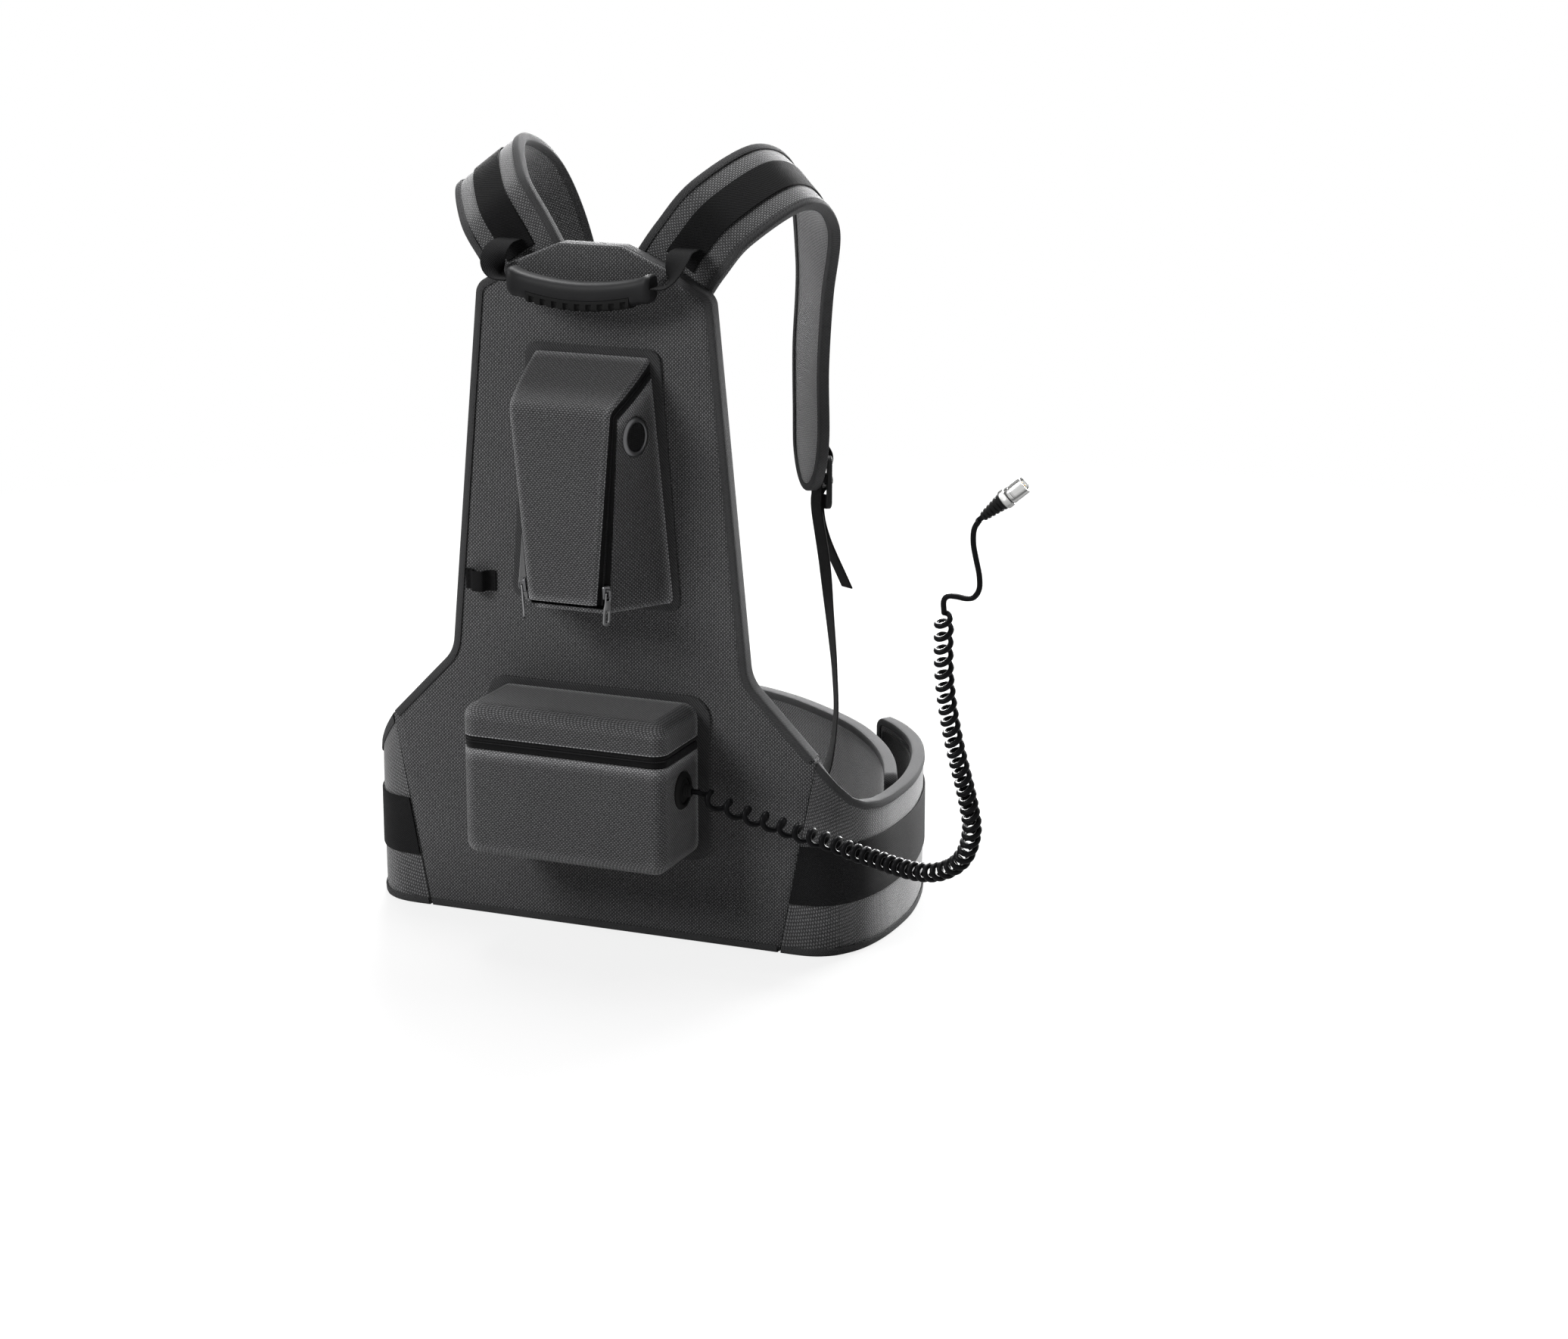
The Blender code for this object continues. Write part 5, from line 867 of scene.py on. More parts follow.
def makePanel():
    size = panelSizes
    thick, trim = size["thick"], size["seamTrim"]
    base = [size["seamGap"] / 2] + [tapeOut] * 9 + [size["seamGap"] / 2] + [tapeOut]
    rings = []
    outlines = [(roundCorners(inset(panelCorners, [b + d for b in base])), dip) for d, dip in size["crown"]]
    for outline, dip in reversed(outlines):
        rings.append([Vector((x, dip, z)) for x, z in outline])
    for outline, dip in outlines:
        rings.append([Vector((x, thick - dip, z)) for x, z in outline])
    mesh = loftMesh("panelBoard", rings)
    boxUv(mesh)
    board = addPiece("panelBoard", mesh, looks["panel"], "harness", ("back_panel",))

    upper = [p for p in roundCorners(panelCorners) if p[1] > size["seamTopZ"] + 1e-6]
    slope = (0.2253 - size["seamTopZ"]) / (0.1314 - size["seamTopHalf"])
    ends = [(size["seamTopHalf"] - out, size["seamTopZ"] - slope * out) for out in (trim, 0.008, 0.014)]
    path = divided([*ends, *upper, *[(-x, z) for x, z in reversed(ends)]], 0.008)
    line = tapeLine(path, thick / 2)
    addPiece("panelBindingUpper", loftMesh("tape", clampedAtSeam(tapeRings(*line, thick))), looks["tape"], "harness",
             ("panel_binding_upper",))
    seamLines["harness"] += [[p for p in row if abs(p.x) < seamX(p.z) - trim - 0.001 or p.z > 0.17]
                             for row in tapeStitches(*line, thick)]
    foot = size["footHalf"] - trim
    line = tapeLine([(-foot + 2 * foot * k / 40, 0) for k in range(41)], thick / 2)
    addPiece("panelBindingLower", loftMesh("tape", clampedAtSeam(tapeRings(*line, thick))), looks["tape"], "harness",
             ("panel_binding_lower",))
    seamLines["harness"] += tapeStitches(*line, thick)
    print("panel done")


# collar pad behind the handle

collarSizes = {
    "thick": 0.0040,
    "corners": mirrored([(0.0480, 0.5280, 0.006), (0.0690, 0.5500, 0.002), (0.0270, 0.5680, 0.010)]),
    "crown": [(0.0, 0.0019), (0.0004, 0.0010), (0.0012, 0.0004), (0.0024, 0.0001), (0.0042, 0.0)],
}


def makeCollar():
    size = collarSizes
    high = -tapeOut - gap - 0.0002
    rings = []
    outlines = [(roundCorners(inset(size["corners"], [d] * 6), 8), dip) for d, dip in size["crown"]]
    for outline, dip in reversed(outlines):
        rings.append([Vector((x, high - size["thick"] + dip, z)) for x, z in outline])
    rings.append([Vector((x, high, z)) for x, z in outlines[0][0]])
    mesh = loftMesh("collarPad", rings)
    boxUv(mesh)
    pad = addPiece("collarPad", mesh, looks["panel"], "harness", ("panel_collar",))


# belt wings

wingSizes = {
    "thick": 0.0090, "height": 0.1200, "tipRadius": 0.0100, "bandLow": 0.0435, "bandHeight": 0.0490,
    "bandThick": 0.0015, "bandStop": 0.0240, "patchThick": 0.0014, "patchMargin": 0.0110,
    "hookLength": 0.1180, "loopLength": 0.1350, "crown": 0.0006, "patchStitch": 0.002, "bandClear": 0.008,
    "leanEnd": 0.050, "curveEnd": 0.14, "curveStep": 0.0035, "step": 0.0055,
}
rightPlan = [     # outer face seen from above
    (0.1586, 0.000), (0.171, 0.000), (0.184, 0.001), (0.195, 0.005), (0.206, 0.014), (0.217, 0.033),
    (0.2235, 0.060), (0.226, 0.092), (0.225, 0.130), (0.218, 0.170), (0.207, 0.207), (0.191, 0.241), (0.170, 0.270),
    (0.154, 0.286), (0.139, 0.297),
]
leftPlan = [(-x, y) for x, y in rightPlan[:11]] + [
    (-0.189, 0.243), (-0.160, 0.280), (-0.122, 0.312), (-0.072, 0.337), (-0.015, 0.347), (0.040, 0.328),
    (0.092, 0.294), (0.128, 0.264),
    (0.155, 0.233), (0.178, 0.200), (0.196, 0.166), (0.2115, 0.128),
]
# run along the foot, height over the level part of the top edge
topDrop = [(0.000, 0.0457), (0.019, 0.0235), (0.033, 0.0110), (0.047, 0.0050), (0.068, 0.0012), (0.090, 0.0)]


def wingTop(s):
    # height of a wing's top edge: it runs on down from the panel's slope, then level
    s -= panelSizes["seamTopHalf"] - panelSizes["footHalf"]
    if s <= 0:
        return wingSizes["height"] + topDrop[0][1] - s * (topDrop[0][1] - topDrop[1][1]) / topDrop[1][0]
    for (a, high), (b, low) in zip(topDrop, topDrop[1:]):
        if s <= b:
            return wingSizes["height"] + high + (low - high) * (s - a) / (b - a)
    return wingSizes["height"]


def topInset(s):
    slope = (wingTop(s + 0.0005) - wingTop(s - 0.0005)) / 0.001
    size = hypot(1, slope)
    return s + slope / size * tapeOut, wingTop(s) - tapeOut / size


class Wing:
    # rows from the wing's foot to its top edge, which slant like the seam and then straighten up

    def __init__(self, side, plan, marks):
        self.side = side
        self.points, self.length = smoothLine(plan, 400)
        self.headStart = seamX(panelSizes["seamTopZ"]) - panelSizes["footHalf"]
        while topInset(self.headStart)[0] < seamX(topInset(self.headStart)[1]) - panelSizes["footHalf"] + 0.00045:
            self.headStart += 0.00005
        self.stations = self.spread([self.length - m for m in marks])
        ends = [self.edges(s) for s in self.stations]
        feet, heads = [low for low, _ in ends], [high for _, high in ends]
        self.rows = [
            (low, high, a, b, (high - low).cross(a).normalized() * side, (high - low).cross(b).normalized() * side)
            for low, high, a, b in zip(feet, heads, tangents(feet), tangents(heads))
        ]

    def at(self, s):
        step = self.length / (len(self.points) - 1)
        i = min(max(int(s / step), 0), len(self.points) - 2)
        a, b = Vector(self.points[i]), Vector(self.points[i + 1])
        ends = self.points[max(i - 1, 0)], self.points[min(i + 2, len(self.points) - 1)]
        along = (Vector(ends[1]) - Vector(ends[0])).normalized()
        inward = Vector((-along.y, along.x)) * self.side
        place = a + (b - a) * (s / step - i)
        return Vector((place.x, place.y, 0)), Vector((along.x, along.y, 0)), Vector((inward.x, inward.y, 0))

    def spot(self, s, z, depth):
        place, _, inward = self.at(s)
        return place + inward * depth + Vector((0, 0, z))

    def spread(self, marks):
        out = [0.0]
        end = self.length - wingSizes["tipRadius"]
        while out[-1] < end - 0.004:
            out.append(out[-1] + wingSizes["curveStep" if out[-1] < wingSizes["curveEnd"] else "step"])
        out = [s for s in out[:-1] if min(abs(s - m) for m in [*marks, end]) > 0.0015]
        return sorted([*out, *marks, end])

    def edges(self, s):
        lean = max(0.0, 1 - s / wingSizes["leanEnd"])
        footS = s + (seamX(tapeOut) - panelSizes["footHalf"] + panelSizes["seamGap"] / 2) * lean
        headS, headZ = topInset(s + self.headStart * lean)
        return self.spot(footS, tapeOut, 0), self.spot(headS, headZ, 0)

    def clear(self, p):
        least = seamX(p.z) + panelSizes["seamGap"] / 2
        if abs(p.x) < least and p.y < 0.05:
            p.x = self.side * least
        return p

    def ring(self, low, high, lowIn, highIn):
        # the outer face upwards, then the inner face downwards, both a little crowned
        steps, thick, crown = 12, wingSizes["thick"], wingSizes["crown"]
        tall = (high - low).length
        out = []
        for k in range(steps + 1):
            edge = min(k, steps - k) * tall / steps
            share = k / steps if k not in (1, steps - 1) else (0.05 if k == 1 else 0.95)
            dip = crown * (1 if k in (0, steps) else 0.35 if k in (1, steps - 1) else 0) if edge < 0.02 else 0
            out.append(low.lerp(high, share) + lowIn.lerp(highIn, share).normalized() * dip)
        for k in range(steps, -1, -1):
            share = k / steps if k not in (1, steps - 1) else (0.05 if k == 1 else 0.95)
            dip = crown * (1 if k in (0, steps) else 0.35 if k in (1, steps - 1) else 0)
            out.append(self.clear(low.lerp(high, share) + lowIn.lerp(highIn, share).normalized() * (thick - dip)))
        return out

    def board(self):
        rings = [self.ring(low, high, lowIn, highIn) for low, high, _, _, lowIn, highIn in self.rows]
        radius = wingSizes["tipRadius"] - tapeOut
        for k in range(1, 9):
            a = pi / 2 * k / 8
            s = self.length - tapeOut - radius * (1 - sin(a))
            cut = tapeOut + radius * (1 - cos(a))
            _, _, inward = self.at(s)
            rings.append(self.ring(self.spot(s, cut, 0), self.spot(s, wingSizes["height"] - cut, 0), inward, inward))
        return loftMesh("board", rings, lambda j: 0 if j < 13 else 1)

    def bindingPath(self):
        tops, feet = [], []
        for low, high, a, b, lowIn, highIn in self.rows:
            row = (low - high).normalized()
            down = row / row.dot(highIn.cross(b) * self.side)
            rise = -row / -row.dot(a.cross(lowIn) * self.side)
            half = wingSizes["thick"] / 2
            tops.append((high + highIn * half - down * tapeOut, down, highIn))
            feet.append((low + lowIn * half - rise * tapeOut, rise, lowIn))
        for line, share in ((tops, 0.60), (feet, 0.20)):
            line[0] = tuple(p.lerp(q, share * 0.9) for p, q in zip(line[0], line[1]))
        rim = self.length - wingSizes["tipRadius"]
        radius, high = wingSizes["tipRadius"], wingSizes["height"]
        line = []
        for k in range(1, 24):
            a = pi * k / 24
            z = high / 2 + (high / 2 - radius) * (1 if a < pi / 2 else -1)
            if k == 12:
                for share in (0.1, 0.3, 0.5, 0.7, 0.9):
                    zz = high - radius + (2 * radius - high) * share
                    _, along, inward = self.at(self.length)
                    line.append((self.spot(self.length, zz, wingSizes["thick"] / 2), -along, inward))
                continue
            _, along, inward = self.at(rim + radius * sin(a))
            line.append((self.spot(rim + radius * sin(a), z + radius * cos(a), wingSizes["thick"] / 2),
                         along * -sin(a) + Vector((0, 0, -cos(a))), inward))
        return [*tops, *line, *reversed(feet)]

    def binding(self):
        path = self.bindingPath()
        near = [min(1, max(0, 1 - abs(p[0].y) / 0.012)) if abs(p[0].x) < 0.21 else 0 for p in path]
        lifts = [0.0008 if k < len(self.stations) and self.stations[k] < 0.06 else 0 for k in range(len(path))]
        rings = tapeRings(*zip(*path), wingSizes["thick"], lifts)
        for ring, share in zip(rings, near):
            for v in ring:
                if share and v.y < 0.05:
                    v.x = self.side * max(abs(v.x), seamX(v.z) + panelSizes["seamTrim"] / 2)
        return loftMesh("binding", rings)

    def strip(self, start, end, lowZ, highZ, depth, thick, steps=6, edge=0.0):
        # a flat strip on one face of the board, a little thinner along its edges
        rings = []
        for s, (low, high, _, _, lowIn, highIn) in zip(self.stations, self.rows):
            if start - 1e-6 < s < end + 1e-6:
                ring = []
                for face in (0, 1):
                    for k in range(steps + 1):
                        share = k / steps if not face else 1 - k / steps
                        if k in (1, steps - 1) and steps > 3:
                            share = abs(face - (0.02 if k == 1 else 0.98))
                        z = lowZ + (highZ - lowZ) * share
                        thin = edge if k in (0, steps) else 0
                        d = depth + thin if not face else depth + thick - thin
                        up = (z - low.z) / (high.z - low.z)
                        ring.append(low.lerp(high, up) + lowIn.lerp(highIn, up).normalized() * d)
                rings.append(ring)
        return loftMesh("strip", rings)


def makeWing(side, word, plan, length, patchNode, depth):
    size = wingSizes
    margin = size["patchMargin"]
    patch = (margin + length, margin)
    stop = size["bandStop"] if side > 0 else patch[0] + size["bandClear"]
    wing = Wing(side, plan, sorted({patch[0], patch[1], stop}))
    body = f"{word}_wing"
    board = addPiece(f"{word}Wing", wing.board(), [looks["wing"], looks["lining"]], body,
                     (f"{word}_belt_wing",), bends=True)
    addPiece(f"{word}WingBinding", wing.binding(), looks["tape"], body, (f"{word}_wing_binding",),
             bends=True)
    path = wing.bindingPath()
    seamLines[body] += [[p for p in row if abs(p.x) > seamX(p.z) + 0.003 or p.y > 0.05]
                        for row in tapeStitches(*zip(*path), size["thick"])]
    low, high = size["bandLow"], size["bandLow"] + size["bandHeight"]
    band = wing.strip(0, wing.length - stop, low, high, -gap - size["bandThick"], size["bandThick"], 10, 0.0004)
    addPiece(f"{word}Elastic", band, looks["elastic"], body, (f"{word}_elastic_band",), bends=True)
    strip = wing.strip(wing.length - patch[0], wing.length - patch[1], margin, size["height"] - margin,
                       depth, size["patchThick"], 6, 0.0003)
    addPiece(patchNode.replace("_p", "P"), strip, looks["hook"], body, (patchNode,))
    face = depth if side < 0 else depth + size["patchThick"]
    near, far = patch[0] - size["patchStitch"], patch[1] + size["patchStitch"]
    low, high = margin + size["patchStitch"], size["height"] - margin - size["patchStitch"]
    outline = [(wing.length - s, z) for s, z in ((near, low), (far, low), (far, high), (near, high), (near, low))]
    darkLines[body].append([wing.spot(s, z, face) for s, z in divided(outline, 0.006)])
    print(word, "wing done")


def makeBelt():
    makeWing(1, "right", rightPlan, wingSizes["hookLength"], "hook_patch", wingSizes["thick"] + gap)
    makeWing(-1, "left", leftPlan, wingSizes["loopLength"], "loop_patch", -gap - wingSizes["patchThick"])


# shoulder straps

strapSizes = {
    "width": 0.0700, "thick": 0.0070, "tip": 0.0600, "webWidth": 0.0280, "webStart": 0.0420, "webThick": 0.0013,
    "adjustWidth": 0.0250, "lockWidth": 0.0380, "lockLength": 0.0450, "lockThick": 0.0042, "lockLift": 0.0037,
    "lockRail": 0.0040, "lockUp": 0.0080, "ridgeDown": 0.0135, "crown": 0.0006,
    # how far in the adjusting webbing hangs, at each point of its route
    "leftPull": [0, 0, 0, 0.003, 0.014, 0.020, 0.017, 0.010, 0.003],
    "rightPull": [0, -0.001, -0.003, -0.003, 0.003, 0.006, 0.006, 0.003, 0.001],
}
strapRoute = [     # x, y, z, bearing and dip of its width
    (0.046, 0.0180, 0.520, 0, -27), (0.060, 0.0182, 0.5415, 0, -28), (0.076, 0.0202, 0.565, -4, -34),
    (0.099, 0.0300, 0.594, -8, -40), (0.127, 0.083, 0.6165, -14, -38), (0.128, 0.148, 0.590, -28, -36),
    (0.117, 0.180, 0.524, -47, -18), (0.110, 0.1895, 0.455, -49, -4), (0.111, 0.188, 0.402, -49, 0),
    (0.1125, 0.184, 0.3725, -49, 0), (0.114, 0.180, 0.343, -49, 0),
]
adjustRoute = [     # x, y, z, bearing
    (0.156, 0.0130, 0.082, 0), (0.158, 0.0131, 0.092, 0), (0.161, 0.0146, 0.102, -6), (0.170, 0.0250, 0.122, -40),
    (0.184, 0.0500, 0.150, -62), (0.184, 0.0740, 0.180, -64), (0.172, 0.1030, 0.212, -62),
    (0.152, 0.1360, 0.248, -57), (0.135, 0.1620, 0.285, -50),
]
lockPath = [     # the adjusting webbing through its lock: along the strap, out from it
    (0.0240, 0.00095), (0.0120, 0.00095), (0.0040, 0.00095), (-0.0020, 0.00115), (-0.0056, 0.0030),
    (-0.0066, 0.0058), (-0.0056, 0.0090), (-0.0020, 0.0103), (0.0018, 0.0098), (0.0045, 0.0076),
    (0.0062, 0.0046), (0.0086, 0.0027), (0.0130, 0.00255), (0.0225, 0.0026), (0.0340, 0.0044),
    (0.0480, 0.0088), (0.0620, 0.0150), (0.0760, 0.0218), (0.0900, 0.0285),
]
strapWebEnd = [     # the strap's own webbing round its bar, in the same way
    (-0.0400, 0.00095), (-0.0280, 0.00095), (-0.0180, 0.00120), (-0.0144, 0.0029), (-0.0134, 0.0060),
    (-0.0146, 0.0088), (-0.0190, 0.0099), (-0.0245, 0.0090), (-0.0320, 0.0048), (-0.0400, 0.0026),
    (-0.0460, 0.0026),
]


class Strap:
    # a strap's middle line with its frames; side -1 mirrors it

    def __init__(self, side):
        line, self.length = smoothLine(strapRoute, 240)
        self.side = side
        self.places = [Vector(p[:3]) for p in line]
        self.frames = []
        for t, p in zip(tangents(self.places), line):
            bearing, dip = radians(p[3]), radians(p[4])
            across = Vector((cos(bearing) * cos(dip), sin(bearing) * cos(dip), sin(dip)))
            out = across.cross(t).normalized()
            self.frames.append((t, t.cross(out).normalized(), out))

    def at(self, s):
        step = self.length / (len(self.places) - 1)
        i = min(max(int(s / step), 0), len(self.places) - 2)
        u = s / step - i
        t, w, o = [p.lerp(q, min(max(u, 0), 1)).normalized() for p, q in zip(self.frames[i], self.frames[i + 1])]
        if s > self.length:
            place = self.places[-1] + t * (s - self.length)
        else:
            place = self.places[i].lerp(self.places[i + 1], u)
        return [Vector((self.side * v.x, v.y, v.z)) for v in (place, t, w, o)]

    def spot(self, s, q, height):
        place, _, across, out = self.at(s)
        return place + across * q + out * height

    def halfWidth(self, s, edge=0.0):
        rest = (s - (self.length - strapSizes["tip"])) / (strapSizes["tip"] - edge)
        full = strapSizes["width"] / 2 - edge
        return full if rest <= 0 else full * sqrt(max(1 - min(rest, 1) ** 2.4, 0))


def innerHalf(strap, s, edge):
    fine = [strap.length - strapSizes["tip"] * (k / 60) ** 2 for k in range(61)]
    rim = [(f, strap.halfWidth(f)) for f in fine]
    w = strap.halfWidth(s) - edge
    while w > 0 and min(hypot(s - a, w - b) for a, b in rim) < edge:
        w -= 0.0002
    return w


def bandRings(points, across, outward, widths, thick):
    # a woven band: flat, with its two selvedges rounded
    rings = []
    for p, a, o, w in zip(points, across, outward, widths):
        h, half = thick / 2, w / 2
        section = [(-half, -h * 0.4), (-half + 0.0005, -h), (-half * 0.5, -h), (0, -h), (half * 0.5, -h),
                   (half - 0.0005, -h), (half, -h * 0.4), (half, h * 0.4), (half - 0.0005, h), (half * 0.5, h),
                   (0, h), (-half * 0.5, h), (-half + 0.0005, h), (-half, h * 0.4)]
        rings.append([Vector(p) + a * x + o * y for x, y in section])
    return rings


def squareTo(places, wide):
    # a band's directions across and outward, at right angles to its run
    turns = tangents(places)
    square = [(w - t * w.dot(t)).normalized() for w, t in zip(wide, turns)]
    return square, [w.cross(t).normalized() for w, t in zip(square, turns)]


def makeStrap(side, word):
    size = strapSizes
    strap = Strap(side)
    half, edge = size["thick"] / 2, tapeOut + 0.0001
    end = strap.length - size["tip"]
    stations = [end * k / 84 for k in range(85)] + [end + size["tip"] * sin(pi / 2 * k / 16) for k in range(1, 17)]
    band, crown = size["webWidth"] / 2, size["crown"]
    rings = []
    for s in [*stations[:-1], strap.length - edge - 0.0002]:
        w = max(innerHalf(strap, s, edge), 0.0020)
        flat = min(band + 0.001, w * 0.7)
        tuck = min(0.0052, w * 0.5)
        puff = [(-w, -half * 0.55), (-w + 0.0006, -half + 0.0004), (-w + tuck, -half + 0.0003),
                (-w + tuck + (w - tuck) * 0.2, -half - crown * 0.4), (-flat * 0.6, -half - crown),
                (0, -half - crown * 1.15), (flat * 0.6, -half - crown),
                (w - tuck - (w - tuck) * 0.2, -half - crown * 0.4),
                (w - tuck, -half + 0.0003), (w - 0.0006, -half + 0.0004), (w, -half * 0.55), (w, half * 0.55),
                (w - 0.0006, half - 0.0004), (w - tuck, half - 0.0003), ((w - tuck + flat) / 2, half + crown * 0.8),
                (flat, half), (flat * 0.5, half), (0, half), (-flat * 0.5, half), (-flat, half),
                (-(w - tuck + flat) / 2, half + crown * 0.8), (-w + tuck, half - 0.0003), (-w + 0.0006, half - 0.0004),
                (-w, half * 0.55)]
        rings.append([strap.spot(s, q, h) for q, h in puff])
    mesh = loftMesh("pad", rings, lambda j: 1 if j < 10 else 0)
    pad = addPiece(f"{word}Strap", mesh, [looks["wing"], looks["lining"]], "harness",
                   (f"{word}_shoulder_strap",), 60)

    line = [(s, -1) for s in stations] + [(s, 1) for s in reversed(stations[:-1])]
    points = [strap.spot(s, q * strap.halfWidth(s), 0) for s, q in line]
    normals = [strap.at(s)[3] for s, _ in line]
    inward = [(n.cross(t) * -side).normalized() for n, t in zip(normals, tangents(points))]
    addPiece(f"{word}StrapBinding", loftMesh("tape", tapeRings(points, inward, normals, size["thick"])), looks["tape"],
             "harness", (f"{word}_strap_binding",))
    seamLines["harness"] += tapeStitches(points, inward, normals, size["thick"])

    lockS = strap.length - size["lockUp"]
    face = half + tapeOut
    nearTip = strap.length - 0.004
    centre, along, across, out = strap.at(nearTip)

    def inLock(t, n):
        return centre + along * (t + lockS - nearTip) + out * (face + n)

    places, acrosses, outs = [], [], []
    rise = half + gap + size["webThick"] / 2
    stop = lockS + strapWebEnd[0][0] - 0.016
    count = round((stop - size["webStart"]) / 0.005)
    for k in range(count + 1):
        place, _, w, o = strap.at(size["webStart"] + (stop - size["webStart"]) * k / count)
        places.append(place + o * rise)
        acrosses.append(w)
        outs.append(o)
    looped, _ = smoothLine([inLock(t, n) for t, n in strapWebEnd], 48)
    places += [Vector(p) for p in looped]
    acrosses += [across] * len(looped)
    outs += [across.cross(t).normalized() * side for t in tangents(looped)]
    web = bandRings(places, acrosses, outs, [size["webWidth"]] * len(places), size["webThick"])
    addPiece(f"{word}StrapWebbing", loftMesh("web", web), looks["webbing"], "harness",
             (f"{word}_strap_webbing",))

    held = strapSizes["leftPull" if side < 0 else "rightPull"]
    route = [(side * (x - p), y, z, side * cos(radians(b)), sin(radians(b)), 0)
             for (x, y, z, b), p in zip(adjustRoute, held)]
    route += [(*inLock(t, n), *across) for t, n in lockPath]
    fine, _ = smoothLine(route, 240)
    places = [Vector(p[:3]) for p in fine]
    square, outs = squareTo(places, [Vector(p[3:]) for p in fine])
    web = bandRings(places, square, outs, [size["adjustWidth"]] * len(places), size["webThick"])
    addPiece(f"{word}AdjustWebbing", loftMesh("web", web), looks["webbing"], "harness",
             (f"{word}_adjust_webbing",))
    hem = places[-4] + outs[-4] * size["webThick"] / 2
    darkLines["harness"].append([hem + square[-4] * q for q in (-0.010, -0.005, 0, 0.005, 0.010)])
    makeLock(word, inLock, across, out, along)

    x, y, z, _ = adjustRoute[0]
    low = y + size["webThick"] / 2 + gap
    spots = [(-0.017, -0.004), (0.017, -0.004), (0.017, 0.008), (-0.017, 0.008)]
    outline = roundCorners([(a, b, 0.0015) for a, b in spots], 4)
    rings = [[Vector((side * x + a * k, h, z + 0.002 + (b - 0.002) * k)) for a, b in outline]
             for h, k in ((low, 0.985), (low + 0.0003, 1), (low + 0.0009, 1), (low + 0.0012, 0.985))]
    patch = loftMesh("anchor", rings)
    boxUv(patch)
    addPiece(f"{word}WebbingAnchor", patch, looks["webbing"], "harness", (f"{word}_webbing_anchor",))
    outline = [(side * x + a * 0.90, z + 0.002 + (b - 0.002) * 0.72) for a, b in [*spots, spots[0]]]
    seamLines["harness"].append([Vector((a, low + 0.0013, b)) for a, b in divided(outline, 0.004)])
    print(word, "strap done")


def makeLock(word, inLock, across, out, along):
    # ladder lock: rounded frame with two windows, softened edges and a ridge along its lower bar
    size = strapSizes
    halfW, halfL = size["lockWidth"] / 2, size["lockLength"] / 2
    inner = halfW - size["lockRail"]
    soft = 0.0006
    corners = [(halfW - soft, halfL - soft, 0.0055), (-halfW + soft, halfL - soft, 0.0055),
               (-halfW + soft, -halfL + soft, 0.0055), (halfW - soft, -halfL + soft, 0.0055)]
    outlines = [roundCorners(corners, 6)]
    for low, high in ((0.0040, 0.0170), (-0.0100, -0.0010)):
        box = [(inner + soft, high + soft, 0.0012), (-inner - soft, high + soft, 0.0012),
               (-inner - soft, low - soft, 0.0012), (inner + soft, low - soft, 0.0012)]
        outlines.append(roundCorners(box, 3))
    mesh = plateMesh("lock", outlines, size["lockThick"], soft)
    turnTo(mesh, inLock(0, size["lockLift"] + size["lockThick"] / 2), (across, -along, out))
    high = size["lockLift"] + size["lockThick"] - 0.0004
    ridge = wireMesh("ridge", [inLock(size["ridgeDown"], high) + across * q for q in (-inner, 0, inner)], 0.0012, 12)
    joined = joinMeshes("lock", [mesh, ridge])
    boxUv(joined)
    addPiece(f"{word}LadderLock", joined, looks["plastic"], "harness", (f"{word}_ladder_lock",))


# carry handle

handleSizes = {
    "half": 0.0620, "height": 0.0220, "depth": 0.0190, "sag": 0.0100, "y": -0.0200, "z": 0.5400,
    "insertHalf": 0.0445, "dimples": 9, "webWidth": 0.0200, "seat": 0.0028,
}
handleWebRoute = [     # x, y, z, bearing, share of its width
    (0.0770, 0.0136, 0.5660, 0, 1.00), (0.0772, 0.0070, 0.5661, 0, 1.00),
    (0.0776, -0.0040, 0.5650, -2, 1.00), (0.0784, -0.0120, 0.5600, -10, 1.00),
    (0.0782, -0.0172, 0.5525, -30, 1.00), (0.0760, -0.0195, 0.5455, -56, 0.96),
    (0.0708, -0.0200, 0.5405, -78, 0.90), (0.0624, -0.0200, 0.5395, -90, 0.84),
]


def handleDrop(x):
    return handleSizes["sag"] * (1 - (x / handleSizes["half"]) ** 2)


